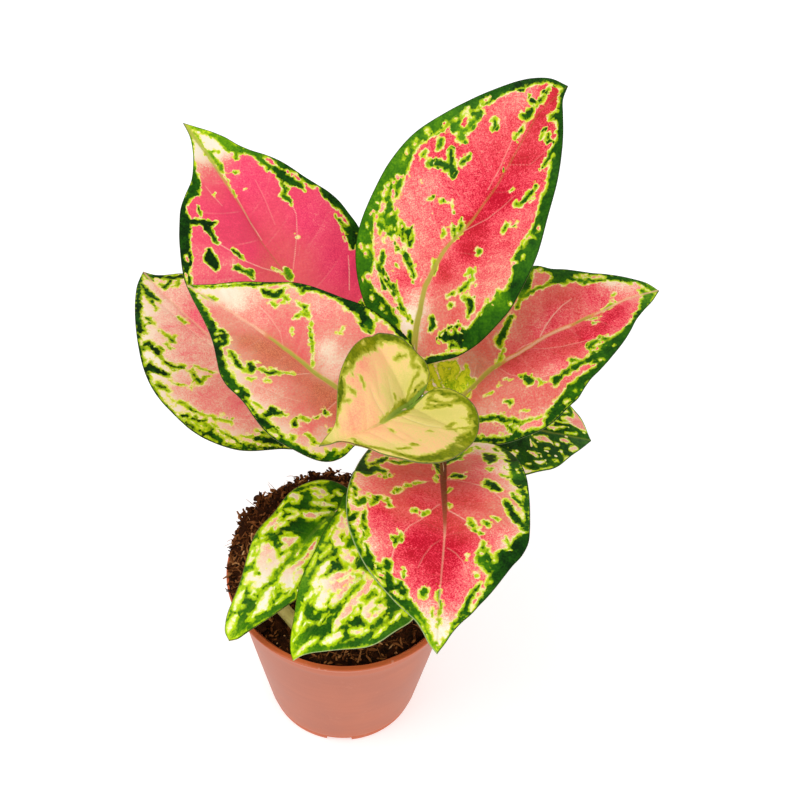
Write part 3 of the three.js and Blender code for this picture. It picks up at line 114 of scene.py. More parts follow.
     "G": [[[65.41,0,0.54],[62.95,0.28,0.74],[60.91,-0.55,0.92],[58.92,-1.43,0.98],[57.23,-2.6,0.85],[55.62,-4.22,1.03]],[[62.14,1.08,0.5],[60.46,1.31,0.18]],[[59.11,0.86,0.24],[57.48,1.05,0.42],[55.88,1.22,0.48],[56.48,-0.08,0.78],[57.08,-1.39,0.6]],[[55.14,-0.17,0.06],[54.15,-1.33,0.27],[54.96,-2.49,0.42]],[[63.98,1.79,0.54],[61.69,5.15,0.8],[58.85,8.31,0.84],[55.93,11.18,0.89],[53.12,13.94,0.93],[50.67,16.34,1.22],[48.75,17.52,1.33],[47.99,17.22,1.02],[46.56,17.24,0.18]],[[47.78,19.16,0.72],[45.58,20.97,0.59],[43.43,22.71,0.58],[41.33,24.41,0.68],[38.95,25.69,0.85],[36.17,27.38,0.61],[33.13,28.63,0.55],[30.23,29.42,0.59],[27.43,29.77,0.8],[24.68,30.09,0.85],[22.02,29.97,0.79],[19.3,29.24,0.78],[16.8,28.27,0.88],[15.02,27.29,1.14],[13.05,26.47,1.09],[11.24,25.84,0.93],[9.3,24.99,0.62],[7.46,23.33,0.62],[5.48,21.43,0.68],[3.93,18.71,0.68],[2.4,15.93,0.69]],[[63.07,3.42,0.34],[60.4,4.98,0.6],[58.22,5.7,0.72],[56.38,6.1,1.17],[55.13,5.91,0.84],[53.45,5.79,0.32]],[[54.75,7.36,0.51],[53.44,8.31,0.19],[51.54,9.14,0.35]],[[51.52,12.71,0.25],[50.2,12.95,0.74],[48.9,13.17,0.31],[47.62,13.39,0.09]],[[44.67,20.47,0.76],[44.11,19.29,0.94],[42.72,19.27,1.11],[41.34,19.24,1.05],[40.05,19.82,0.93],[40.06,18.77,0.52]],[[43.68,21.44,0.76]],[[39.41,20.1,0.46],[37.43,20.33,0.57],[35.86,20.49,0.68],[34.54,20.41,0.62],[33.53,19.67,0.51],[32.99,18.45,0.68],[32.77,17.63,0.23]],[[39.24,23.02,0.4],[38.31,24.95,1.13],[37.28,24.25,1.35],[36.19,23.95,1.12],[34.94,23.46,1.01],[33.63,23.37,0.73],[33.62,22.35,0.22]],[[40.84,23.86,0.57]],[[33.46,26.62,0.28],[32.1,26.92,0.88],[31.03,26.6,0.77],[29.76,26.49,0.44]],[[33.1,27.64,0.44]],[[30.47,17.82,0.34],[29.33,17.91,0.73],[28.13,18.41,0.56],[26.86,18.28,0.89],[26.85,17.23,0.45],[27.6,16.12,0.23],[26.63,15.32,0.17]],[[26.64,13.16,0.11],[31.4,15.83,0.06],[26.74,21.2,-0.03],[30.44,23.42,0.14],[31.35,23.56,0.06]],[[45.08,13.8,0.18],[43.67,13.79,0.3],[42.27,13.76,0.42],[40.8,14.18,0.83],[41.49,12.78,0.24]],[[41.15,16.29,0.27],[39.13,16.54,0.09]],[[46.37,6.42,0.19],[45.09,6.63,0.44],[43.67,6.62,0.43]],[[26.16,27.28,0.21],[25.76,26.31,0.59],[24.58,25.76,0.54],[22.77,25.82,0.48],[21.04,25.47,0.32],[19.37,24.7,0.13],[17.48,23.12,0.08]],[[28.67,27.55,0.05],[27.05,27.44,0.05]],[[22.89,28.78,0.37],[21.78,27.83,0.74],[20.56,27.66,0.58],[19.4,27.08,0.68],[18.3,26.11,0.69],[17.76,24.92,0.32]],[[17.07,23.52,0.13],[16.04,22.11,0.37],[14.95,21.09,0.32],[14.17,20.47,0.53]],[[16.56,20.89,0.05]],[[17.6,26.11,0.26],[15.36,25.91,0.94]],[[16.41,24.52,0.11],[15.22,24.32,0.21],[13.49,24.3,0.37],[11.68,23.67,0.47],[9.73,22.81,0.47],[7.93,22.15,0.63]],[[9.78,21,0.21],[8.86,20.16,0.32],[8.18,18.7,0.21]],[[9.24,24,0.36],[7.26,22.12,0.52],[5.81,20.03,0.78]],[[7.6,19.29,0.26],[6.53,18.22,0.85],[5.33,16.93,1.17],[3.99,15.4,1.22],[2.59,14.27,1.06]],[[8.3,16.42,0.27],[6.85,15.74,0.32],[5.39,15.05,0.43]]],
     "H": [[[61.04,0.39,0.18],[60.12,0.23,0.55],[58.99,-0.08,0.61],[57.83,0,0.42]],[[47.05,17.8,0.48],[45.95,18.18,0.54],[44.87,18.55,0.24]],[[46.01,19.86,0.35],[44.84,20.66,0.18]],[[36.06,25.79,0.45],[34.99,26.49,0.55],[34.97,25.48,0.28]],[[18.05,28.08,0.31],[16.75,27.3,0.42],[16.35,26.31,0.21]],[[21.36,29.59,0.31],[23.71,29.34,0.32]],[[18.8,27.68,0.16]],[[10.99,25.04,0.31],[9.58,24.01,0.31],[7.98,23.15,0.21]],[[8.95,22.19,0.24],[7.74,20.93,0.26]],[[29.27,29.68,0.43],[28.28,28.95,0.43]],[[33.96,28.17,0.27]],[[39.5,24.83,0.17]],[[4.8,18.55,0.16],[3.64,16.84,0.16]]],
     "J": [],
     "P": [[60.33,0.37,0.4],[58.52,0.03,0.42],[60.93,2.28,0.2],[58.9,3.22,0.3],[56.63,2.59,0.4],[58.08,1.88,0.34],[53.89,1.06,0.36],[52.26,-0.16,0.42],[53.89,3.17,0.42],[50.72,2.06,0.46],[47.72,2.21,0.56],[44.7,3.08,0.62],[41.94,4.05,0.64],[39.24,4.97,0.6],[44.01,5.19,0.52],[39.9,6.48,0.5],[49.18,4.3,0.42],[51.01,5.35,0.24],[52.26,6.26,0.22],[52.62,7.33,0.26],[55.99,7.56,0.2],[55.05,9.57,0.1],[53.37,9.46,0.24],[49.78,9.46,0.36],[50.75,10.63,0.28],[48.16,9.3,0.42],[47.04,7.91,0.38],[44.9,10.06,0.46],[45.48,11.98,0.46],[42.3,9.1,0.44],[38.97,8.87,0.42],[40.81,11.32,0.42],[42.2,11.35,0.36],[48.2,11.75,0.4],[47.41,14.3,0.14],[52.23,12.35,0.06],[49.95,14.96,0.05],[46.07,16.67,0.16],[44.85,15.78,0.25],[42.69,16.52,0.36],[42.26,17.64,0.3],[40.43,15.96,0.4],[38.87,13.98,0.42],[37.03,11.57,0.4],[36.01,9.01,0.32],[33.82,8.34,0.36],[38.55,18.52,0.42],[35.79,17.76,0.44],[35.14,14.19,0.48],[33.32,11.74,0.46],[31.29,9.49,0.42],[32.4,15.53,0.42],[29.97,13.36,0.42],[28.17,11.97,0.36],[25.3,13.46,0.48],[27.98,17.15,0.15],[24.57,18.82,0.5],[27.92,20.71,0.48],[30.71,20.73,0.4],[32.23,20.61,0.3],[29.09,23.71,0.52],[26.26,23.06,0.48],[23.16,21.98,0.5],[28.24,25.58,0.42],[24.24,24.37,0.48],[26.83,25.26,0.44],[22,17.88,0.5],[21.61,14.72,0.5],[18.3,16.3,0.56],[15.45,16.33,0.6],[13.2,16.11,0.58],[16.94,19.45,0.54],[19.27,21.67,0.5],[20.52,22.87,0.46],[14.68,19.24,0.4],[17.17,20.27,0.4],[12.1,19.01,0.52],[10.54,17.74,0.46],[13.46,21.89,0.42],[11.83,21.05,0.4],[15.23,22.92,0.26],[9.17,17.7,0.32],[23.11,27.2,0.18],[24.8,27.93,0.04],[27.08,28.42,0.04],[29.23,28.7,0.06],[27.84,27,0.12],[21.23,26.66,0.16],[41.81,21.89,0.03],[40.52,21.43,0.04],[38.29,21.89,0.06],[36.1,22.33,0.1],[46.44,18.74,0.03],[33.92,21.71,0.1],[32.28,24.7,0.15],[30.32,25.25,0.3],[36.37,26.16,0.01],[34.99,26.49,0.01],[31.09,28.58,0.04],[59.46,5.2,0.12],[11.78,22.87,0.03],[10.51,20.61,0.1],[17.05,26.31,0.02]],
     "K": [[60.91,-0.55,0.85],[57.44,-2.45,0.9],[55.41,-4.37,0.85],[62.68,0.55,0.5],[60.64,6.54,0.7],[54.8,12.3,0.9],[49.71,16.94,0.9],[45.33,21.21,0.6],[38.95,25.69,0.8],[33.13,28.63,0.7],[27.43,29.77,0.7],[22.02,29.97,0.8],[16.8,28.27,0.7],[14.72,26.89,0.98],[11.24,25.84,0.8],[7.6,23.53,0.7],[3.79,18.49,0.8],[56.38,6.1,0.75],[54.06,5.9,0.6],[50.2,12.95,0.4],[43.86,19.54,0.9],[41.34,19.24,0.95],[35.86,20.49,0.8],[32.99,18.45,0.55],[37.99,24.58,0.85],[34.78,23.27,0.9],[31.57,26.76,0.8],[29.18,17.71,0.75],[26.86,18.28,0.6],[41.05,13.93,0.6],[43.67,13.79,0.35],[44.67,6.7,0.45],[25.4,26.32,0.7],[22.77,25.82,0.6],[21.78,27.83,0.8],[18.8,26.3,0.9],[14.95,21.09,0.35],[14.31,20.68,0.5],[13.64,24.5,0.25],[9.73,22.81,0.4],[9,20.37,0.3],[6.34,18.42,0.95],[4.42,16.05,0.98],[6.24,20.66,0.7],[7.33,15.97,0.4],[56.18,0.57,0.6]],
     "B": [[39.56,5.37,0],[13.56,21.08,0.2],[8.42,20.95,0.3],[50.32,1.75,0]],
     "V": [[[51.82,6.35,0.5],[47.12,6.75,0.8],[41.9,7.34,0.9],[37.51,7.47,0.8],[33.87,7.2,0.7]],[[26.94,13.58,0.5],[28.66,16.47,0.4],[32.15,17.9,0.4],[36.41,18.55,0.3],[40.71,18.48,0.3]],[[35.01,8.21,0.4],[37.77,10.82,0.5],[40.33,13.59,0.4],[44.24,13.92,0.3]],[[11.66,15.88,0.6],[14.04,18.83,0.5],[16.44,21.7,0.4],[19.28,24.1,0.3]]],
     "R": [[0,0.72,0.4,0.6],[0.5,0.72,0.3,0.7],[0.8,0.72,0.24,0.7],[1,0.72,0.2,0.6]],
     "hw": 1.3,
     "specks": 0.8,
     "vein_show": 0.3,
     "cool": 0.6,
     "pshift": -0.075,
     "sand": 0.6,
     "kshift": 0.12,
    },
    {"id": "04", "base": [12.604, 2.82, 107.0], "along": [-0.83635, 0.54013, 0.09369], "side": [-0.54731, -0.83242, -0.08677], "up": [0.03112, -0.12385, 0.99181],
     "length": 64.043, "arch": 5, "fold": [0.28, 0.28], "cup": 0.35, "half": 22, "lobe": 0,
     "midrib": [[0,-0],[6.73,2.45],[13.77,3.99],[21.15,4.51],[28.91,3.67],[37,2.98],[45.47,2.2],[54.4,1.44],[64.04,-0]],
     "left": [[0,-0],[0.67,3.83],[1.54,7.45],[2.43,10.98],[3.04,14.55],[3.2,18.18],[4.41,21.26],[6.55,23.44],[9.21,24.71],[12.08,25.35],[15.03,25.77],[18.06,25.92],[21.18,25.46],[24.33,24.48],[27.5,23.17],[30.78,22.15],[34.16,21.41],[37.52,19.69],[40.66,16.97],[43.88,14.02],[47.39,11.16],[51.24,8.51],[55.3,5.95],[59.55,3.21],[64.04,-0]],
     "right": [[0,-0],[-0.22,-3.14],[0.4,-6.18],[1.69,-8.97],[3.42,-11.53],[5.7,-13.62],[8.39,-15.22],[11.38,-16.13],[14.52,-16.31],[17.71,-16.25],[20.92,-16.03],[24.1,-15.48],[27.28,-14.78],[30.53,-14.19],[33.76,-13.49],[36.99,-12.68],[40.17,-11.68],[43.17,-10.34],[46.08,-8.85],[48.97,-7.31],[51.86,-5.75],[54.74,-4.16],[57.65,-2.59],[60.73,-1.18],[64.04,-0]],
     "G": [[[64.04,-0,0.52],[61.21,-0.4,0.33],[57.87,-1.66,0.24],[53.88,-3.6,0.37],[50.71,-5.38,0.53],[47.62,-7.23,0.63],[45,-9.27,0.58],[41.49,-10.92,0.52],[38.52,-11.7,0.78],[36.8,-11.78,0.77],[34.64,-12.83,0.77],[31.99,-13.61,0.71],[29.21,-14.21,0.71],[26.86,-14.21,1.16],[24.92,-13.96,1.61],[23.32,-14.16,1.5],[21.45,-13.61,1.49],[19.46,-12.87,1.23],[17.85,-11.87,0.73]],[[38,-11.03,0.67],[36.72,-10.51,0.51]],[[22.92,-14.81,0.5],[20.74,-16.2,0.65],[17.99,-16.43,0.74],[15.3,-16.34,0.84],[12.67,-15.93,0.98],[10.54,-15.82,1.07]],[[20.59,-11.65,0.49],[18.91,-11.34,0.73],[17.73,-11.32,0.63]],[[18.12,-14.62,0.3],[19.41,-15.58,0.1]],[[45.88,-6.55,0.47],[44.34,-6.11,0.98],[42.52,-6.46,1.13],[41.45,-7.38,1.13],[41.13,-8.52,0.77]],[[40.11,-7.19,0.46],[38.37,-7.25,0.36]],[[41.62,-4.15,0.1],[40.04,-4.41,0.23],[38.89,-6,0.23],[38.04,-6.82,0.2]],[[36.26,-7.58,0.05],[34.96,-7.43,0.2],[33.68,-7.29,0.5],[33.61,-7.97,0.15]],[[33,-6.78,0.25],[31.8,-5.98,0.45],[32.91,-5.89,0.4]],[[34.03,-5.81,0.4],[33.78,-4.72,0.45],[34.26,-3.81,0.1],[33.75,-6.61,0.25]],[[30.58,-5.52,0.07],[29.17,-3.66,0.17],[28.39,-2.64,0.44],[27.47,-1.43,0.34],[25.91,0.24,0.12],[24.42,2.2,0.07],[23.35,3.23,0.07]],[[24.22,-6.38,0.02],[22.97,-6.65,0.02],[23.17,-8.08,0.07]],[[32.92,-1.29,0.02],[32.14,-0.28,-0.02]],[[59.04,1.11,0.06],[56.95,1.02,0.19],[54.94,0.82,0.18],[53.61,0.56,0.1]],[[62.52,1.05,0.51],[59.38,2.92,0.93],[56.38,4.66,1.03],[53.47,6.31,1.02],[50.4,8.19,1.29],[47.61,10.12,1.43],[45.08,12.11,1.68],[42.79,14.56,1.37],[40.6,16.53,1.24],[38.31,17.91,1.22],[36.08,19.23,1.2],[34.26,20.06,1.3],[32.29,21.08,1.23],[30.18,21.93,1.22],[28.63,22.45,0.75],[26.75,23.02,0.3],[24.9,23.56,0.4],[23.07,24.1,0.79],[21.75,24.34,1.32],[20.27,24.43,1.22],[18.8,24.51,1.07],[16.86,24.84,1.06],[15.09,24.95,1.11],[13.18,24.89,1.05],[11.43,24.61,0.91],[9.54,24.16,0.86],[7.81,23.5,0.76],[5.92,22.29,0.72],[4.66,20.62,0.67],[3.85,18.3,0.63],[3.69,16.24,0.49],[3.53,14.54,0.39]],[[46,8.8,0.97],[44.14,9.98,1.07],[42.5,11.28,0.95],[42.6,12.25,0.83]],[[39.76,12.85,0.38],[38.6,13.56,0.87],[37.26,14.51,0.7],[35.76,15.28,0.96],[34.67,15.56,0.53],[33.78,15.59,0.21]],[[33.93,13.2,0.8],[32.99,14.03,1.17],[32.58,14.91,0.63]],[[31.66,12.77,0.27],[30.46,12.46,0.58],[29.07,12.38,0.69],[28.48,10.91,0.74],[27.65,10.49,0.48],[26.35,9.55,0.05],[24.9,8.43,0.03]],[[32.12,16.96,0.13],[30.91,16.66,0.26],[30.43,15.81,0.13]],[[28.42,14.7,0.26],[27.59,14.29,0.1]],[[33.35,11.35,0.08]],[[31.09,20.42,0.87],[29.87,20.88,1.12],[28.49,21.17,0.86]],[[26.11,21.66,0.2],[25.11,21.49,0.23],[24.11,21.69,0.05]],[[22.26,22.59,0.59],[21.79,21.38,0.9],[21.99,20.03,1],[20.82,20.44,0.8],[20.02,19.65,0.65],[19.03,19.46,0.3]],[[16.75,19.11,0.4],[15.93,19.82,0.79]],[[15.49,17.43,0.5],[14.85,16.78,0.3]],[[13.55,11.72,0.46],[12.87,12.24,0.71]],[[9.72,15.33,0.35]],[[13.62,14.28,0.03],[13.91,15.39,0.03]],[[11.9,20.31,0.49],[10.95,20.46,0.44],[9.84,20.44,0.19],[8.89,19.84,0.05]],[[14.45,22.86,0.19],[13.65,23.54,0.39]],[[6.68,20.53,0.24],[5.59,20.13,0.67],[4.95,18.72,0.48]]],
     "H": [[[45.99,-7.45,0.31],[44.96,-7.68,0.31]],[[40.9,-10.93,0.16]],[[45.64,10.33,0.45],[45.55,9.35,0.17]],[[44.51,12.08,0.28]],[[19.45,25.12,0.19],[18.31,25.14,0.46],[17.02,25,0.44]],[[31.4,21.47,0.25]],[[10,23.19,0.24],[8.74,22.64,0.48],[7.95,21.83,0.38]],[[4.95,17.59,0.34],[4.16,16.75,0.24]],[[6.54,22.21,0.14]],[[22.38,-12.89,0.2]]],
     "J": [[[5.75,20.66,0.48],[4.96,19.84,0.39]]],
     "P": [[61.02,-0.16,0.1],[58.92,-0.64,0.01],[56.18,-1.1,0.02],[53.87,-2.06,0.04],[51.44,-2.84,0.1],[53.24,-0.5,0.06],[49.85,-0.84,0.12],[49.15,-4.56,0.22],[47.67,-0.38,0.2],[54.84,0.18,0.14],[55.29,2.27,0.3],[52.19,3.8,0.44],[50.75,2.6,0.4],[50.13,1.1,0.22],[48.34,5.55,0.42],[47.04,3.44,0.4],[44.57,1.65,0.42],[46.2,-2.34,0.36],[45.94,-4.32,0.3],[43.05,-3.68,0.42],[40.97,-0.24,0.46],[39.25,-3,0.46],[37.2,-4.19,0.48],[36.12,-0.87,0.52],[37.78,1.57,0.46],[34.58,-2.69,0.5],[32.11,-3.31,0.5],[30.09,-0.66,0.58],[31,1.97,0.55],[27.67,1.37,0.64],[26.76,3.7,0.62],[24.9,3.09,0.55],[34.47,3.18,0.48],[33.47,1.42,0.55],[37.27,-6.96,0.36],[38.3,-9.87,0.3],[34.49,-10.3,0.4],[32.2,-9.21,0.36],[31.81,-11.42,0.34],[29.22,-11.87,0.36],[29.29,-7.31,0.44],[27.04,-8.19,0.42],[26.71,-4.66,0.38],[25.5,-1.52,0.28],[23.22,-1.57,0.14],[22,-3.03,0.12],[21.37,0.11,0.2],[19.58,-0.59,0.2],[22.89,1.17,0.3],[18.48,2.4,0.26],[21.06,2.81,0.3],[24.33,-5.36,0.34],[24.06,-9.66,0.44],[21.71,-8.85,0.46],[20.83,-5.73,0.42],[19.76,-7.79,0.5],[26.78,-10.96,0.4],[22.87,-11.19,0.45],[16.7,-15.47,0.4],[14.36,-15.46,0.4],[17.54,-13.44,0.4],[19.07,-15.52,0.1],[42.14,7.3,0.46],[37.97,8.09,0.5],[34.03,7.51,0.5],[29.6,7.59,0.5],[25.31,7.51,0.5],[20.54,8.11,0.5],[15.83,8.65,0.5],[12.12,10.57,0.6],[10.39,14.05,0.45],[10.5,16.94,0.16],[13.59,15.45,0.48],[17.22,14.41,0.48],[12.73,17.71,0.5],[13.99,19.78,0.48],[18.59,17.44,0.42],[21.08,17.16,0.4],[20.4,13.59,0.42],[23.37,14.18,0.36],[22.19,11.23,0.4],[24.41,17.28,0.38],[25.85,19.09,0.4],[27.28,17.27,0.36],[29.97,18.22,0.38],[32.68,16.24,0.36],[31.04,14.3,0.4],[27.43,14.13,0.44],[27.53,19.5,0.38],[36.21,14,0.4],[36.19,11.82,0.42],[39.04,10.45,0.42],[42.1,9.57,0.36],[24.13,20.56,0.36],[23.68,18.95,0.38],[19.32,21.65,0.36],[17.69,21.2,0.42],[16.38,22.91,0.2],[15.26,21.81,0.3],[12.54,21.32,0.4],[11.74,23.47,0.3],[9.52,21.97,0.06],[9.21,18.66,0.16],[14.77,23.18,0.03],[16.87,22.64,0.05],[40.86,12.94,0.3],[39.61,14.86,0.12],[38.58,16.49,0.02],[36.55,17.21,0.01],[34.56,17.52,0.02],[32.4,18.42,0.1],[33.46,18.17,0.02],[29.91,19.75,0.1],[27.14,21.08,0.08],[24.75,22.67,0.06],[23.09,22.62,0.1],[25.13,20.74,0.2],[26.42,22.71,0.04],[23.64,20.47,0.2],[40.41,11.67,0.12],[19.14,22.61,0.1],[17.51,23.27,0.04]],
     "K": [[60.25,-0.75,0.6],[53.42,-3.8,0.6],[47.62,-7.23,0.8],[43.32,-6.34,0.98],[41.41,-7.72,0.98],[38.58,-7.13,0.5],[40.21,-4.62,0.1],[37,-11.65,0.95],[31.24,-13.79,0.95],[25.46,-13.89,0.97],[21.33,-13.04,0.95],[18.33,-12.13,0.6],[17.14,-16.46,1],[12.34,-15.89,1],[33.68,-7.29,0.85],[31.8,-5.98,0.7],[33.74,-5.06,0.45],[28.24,-2.44,0.5],[25.91,0.24,0.3],[56.95,1.02,0.25],[58.74,2.95,0.75],[52.62,6.61,0.8],[46.54,11.06,0.9],[42.79,14.56,0.95],[38.12,18.15,0.9],[34.26,20.06,0.8],[43.92,10.25,0.85],[38.03,13.91,0.9],[32.99,14.03,1],[29.59,12.46,0.95],[27.97,10.82,0.95],[30.91,16.66,0.2],[28.1,14.37,0.25],[29.69,21.11,0.95],[32.29,21.08,0.7],[25.61,21.58,0.5],[21.75,24.34,1],[19.45,24.39,0.9],[16.37,24.74,0.95],[13.02,24.73,0.85],[9.7,24.32,0.9],[21.65,20.48,0.97],[19.52,19.56,0.7],[16.09,19.61,1],[15.17,17.11,0.6],[13.05,12.01,0.85],[9.72,15.33,0.4],[11.26,20.41,0.55],[13.81,23.33,0.3],[5.74,19.92,0.6],[5.76,22.13,0.9],[3.85,18.3,0.8]],
     "B": [[47.87,6.12,0.4],[43.97,7.99,0.6],[39.87,7.55,0.95],[35.89,7.01,1],[31.99,6.38,1],[27.62,6.38,0.95],[22.25,7.75,0.8],[18.05,7.59,1],[15.05,7.78,1],[12.31,9.93,0.9],[16.21,10.82,0.85],[20.3,12.22,0.6],[23.94,13.08,0.35],[27.2,15.15,0.2],[32.58,14.91,0.3],[37.61,12.24,0.6],[31.25,11.07,0.85],[42.9,5.62,0.4],[25.5,19.54,0.15],[21.72,17.81,0.3],[17.32,16.14,0.4],[11.97,15.73,0.4],[52.51,3.05,0.2],[47.84,-0.6,0],[41.06,0.41,0.1],[33.32,-1.05,0.25],[27.28,1.12,0.35],[23.41,-1.44,0],[18.63,1.06,0.1],[30.57,-9,0.05],[23.58,-7.46,0.25],[19.46,-5.83,0.3],[14.31,20.1,0.25]],
     "V": [[[23.06,3.61,0.5],[25.61,0.64,0.5],[28.39,-2.64,0.5],[31.13,-5.48,0.5],[34.44,-7.12,0.4],[38.34,-7.59,0.3]],[[22.75,5.55,0.7],[24.59,8.08,0.8],[27.18,9.98,0.7],[30.46,12.46,0.5],[34.13,12.95,0.3]],[[13.4,7.68,0.5],[13.36,12.35,0.7],[14.7,16.61,0.6],[16.09,19.61,0.5]],[[31.35,3.8,0.3],[35.01,0.57,0.4],[40.21,-1.56,0.4],[44.96,-2.67,0.3]],[[19.05,13.86,0.3],[22.15,15.4,0.4],[25.8,16.22,0.4],[29.33,17.21,0.3]]],
     "R": [[0,0.26,0.6,1],[0.2,0.26,0.5,1],[0.45,0.25,0.38,0.95],[0.608,0.25,0.28,0.8],[0.62,0.25,0.28,0],[0.63,0.72,0.3,0],[0.642,0.72,0.3,0.75],[1,0.72,0.22,0.6]],
     "hw": 1.15,
     "specks": 0.5,
     "vein_show": 0.3,
     "pshift": 0.05,
     "sand": 0.65,
     "flank": [[0, 0.6], [0.45, 0.6], [0.62, 0.3], [0.7, 0], [1, 0]],
     "cool": 0.18,
    },
    {"id": "05", "base": [13.989, -2.734, 118.0], "along": [-0.55211, -0.72172, 0.41749], "side": [0.76912, -0.63418, -0.0792], "up": [0.32192, 0.27737, 0.90523],
     "length": 33.534, "arch": 2, "fold": [0.2, 0.7], "cup": 0.2, "half": 18, "lobe": 0.9,
     "midrib": [[0,0],[6.56,1.03],[12.3,2.18],[17.02,2.65],[20.93,2.42],[24.42,1.96],[27.69,1.42],[30.72,0.79],[33.53,-0]],
     "left": [[0,0],[-2.3,0.24],[-4.57,0.59],[-6.45,1.74],[-7.55,3.86],[-7.68,6.63],[-7.13,9.58],[-5.99,12.45],[-4.27,14.98],[-2.06,16.79],[1.2,17.88],[7.9,19.55],[12.97,20.18],[16.7,19.74],[19.38,18.52],[21.7,17.1],[23.49,15.36],[24.8,13.34],[25.65,11.07],[26.05,8.57],[26.18,5.94],[26.69,3.47],[28.51,1.86],[31.31,1.19],[33.53,-0]],
     "right": [[0,0],[-2.07,-0.05],[-4.14,-0.13],[-5.86,-0.81],[-6.97,-2.13],[-7.19,-3.99],[-6.74,-6.05],[-6.24,-8.13],[-5.44,-10.21],[-4.19,-12.18],[-2.61,-13.94],[-0.76,-15.35],[3.49,-15.21],[8.75,-13.92],[13.14,-12.44],[16.61,-10.99],[19.3,-9.53],[21.42,-8],[23.15,-6.44],[24.62,-4.86],[25.89,-3.28],[27.32,-1.85],[29.27,-0.89],[31.49,-0.46],[33.53,-0]],
     "G": [[[-5.61,-0.4,0.28],[-6.7,-1.69,0.32],[-6.74,-3.53,0.49],[-6.72,-5.25,0.61],[-6.44,-6.97,0.69],[-5.8,-8.54,0.66],[-4.9,-10.12,0.66],[-3.93,-11.55,0.74],[-2.68,-12.98,0.74],[-1.35,-14.26,0.83],[-0,-15.1,1.48],[4.17,-14.33,1.97],[7.88,-13.44,2.02],[11.11,-12.45,1.79],[13.89,-11.37,1.4],[16.22,-10.19,1.22],[18.32,-9.13,0.7],[20.39,-7.98,0.34],[21.26,-6.98,0.8],[22.48,-5.92,1.06],[24.02,-4.83,0.81],[25.37,-3.53,0.44],[26.66,-2.26,0.22],[27.89,-1.02,0.17]],[[6.07,-12.7,0.96],[6.23,-11.77,0.32]],[[3.27,-13.15,0.46],[2.43,-12.68,0.66],[3.25,-11.98,0.26]],[[-0.81,-13.5,0.29],[-0.67,-12.9,0.08]],[[-2.26,-12.37,0.08]],[[-5.39,-7.51,0.53],[-5.28,-6.5,0.53],[-4.32,-5.9,0.24],[-4.8,-4.91,0.24],[-5.48,-4.21,0.28]],[[-1.69,-8.7,0.16],[-2.74,-8.59,0.24],[-3.86,-7.75,0.1]],[[-4.44,-3.47,0.36],[-3.2,-3.3,0.22],[-2.26,-2.71,0.18],[-1.04,-2.12,0.16],[-0.03,-1.39,0.18],[2.3,-0.19,0.25]],[[-4.79,-1.36,0.24],[-3.25,-1.61,0.2],[-1.64,-1.29,0.16]],[[-4.74,-0.38,0.48],[-3.4,-0.49,0.6],[-2.17,-0.33,0.8],[-0.74,-0.29,0.88],[1.75,0.21,1.49],[5.83,1.12,1.36],[9.55,1.67,0.91],[13.12,2.17,0.44],[15.74,2.37,0.1]],[[-4.44,0.61,0.55],[-5.22,1.5,0.78],[-6.09,2.57,0.6],[-6.19,4.38,1.05],[-6.59,5.64,0.73],[-6.72,7.43,0.73],[-6.56,9.21,0.82],[-6.03,10.81,0.72],[-5.32,12.57,0.9],[-4.34,14.33,0.89],[-2.99,15.9,0.89],[-1.53,16.77,1.1],[-0.04,17.12,1.89],[4.72,18.22,2.21],[8.56,18.68,2.25],[11.55,18.71,1.76],[14.16,18.31,1.64],[16.98,18.11,1.28],[18.98,17.39,1.08],[20.95,16.16,0.88],[22.2,14.44,0.64],[23.41,12.7,0.46],[24.25,10.71,0.34],[25.06,8.71,0.29],[26.29,7.29,0.34],[27.18,5.62,0.39],[27.08,4.23,0.4]],[[26.46,3.75,0.17],[26.64,3.1,0.06]],[[28.5,4.03,0.22],[30.36,2.91,0.28],[31.61,1.3,0.55],[33.39,0.14,0.57]],[[-3.47,2.09,0.55],[-4.15,2.26,0.6]],[[-1.07,3.06,0.18],[-1.65,4.12,0.11],[-2.91,4.81,0.23],[-3.5,5.88,0.5],[-4.28,6.22,0.36]],[[-4.97,6.92,0.27],[-5.75,7.27,0.68],[-6.44,7.97,0.59]],[[-4.36,12.41,0.67],[-2.89,13.82,0.22]],[[-2.7,11.56,0.02],[-3.31,12.6,0.13]],[[-2.58,15.21,0.35],[-1.57,14.01,0.16],[-0.56,12.8,0.16],[1.17,12.11,0.16],[3.17,11.64,0.08]],[[-1.08,15.57,0.66],[-0.2,15.06,0.57],[2.86,15.52,0.78],[5.16,15.8,0.29]],[[5.9,17.85,1.8],[8.9,18.09,1.7],[10.4,17.44,0.86]],[[1.66,11.04,0.36],[-0.48,10.71,0.42],[-1.07,11.23,0.27]],[[1.01,13.11,0.16]],[[8.94,10.1,0.1],[7.93,10.53,0.25],[7.15,10.84,0.07]],[[17.85,12.13,0.25],[17.07,12.11,0.47],[16.45,12.47,0.19]],[[21.78,11.51,0.18],[20.1,12.14,0.36],[19.32,12.63,0.12]],[[15.89,5.48,0.03],[16.26,6.27,0.03]],[[14.74,-6.62,0.16],[15.12,-5.82,0.27],[15.66,-4.86,0.16]],[[16.95,-7.48,0.15]],[[20.23,-5.8,0.14],[19.56,-4.97,0.38],[19.29,-4.48,0.19]],[[23.03,-4.05,0.09],[21.48,-3.51,0.07]],[[4.9,-2.23,0.31],[5.31,-1.42,0.22]],[[13.86,12.03,0.03]],[[-3.18,2.64,0.37],[-3.78,4.8,0.32],[-4.01,7.3,0.23]],[[-2.22,3.03,0.27],[-2.24,5.19,0.2]]],
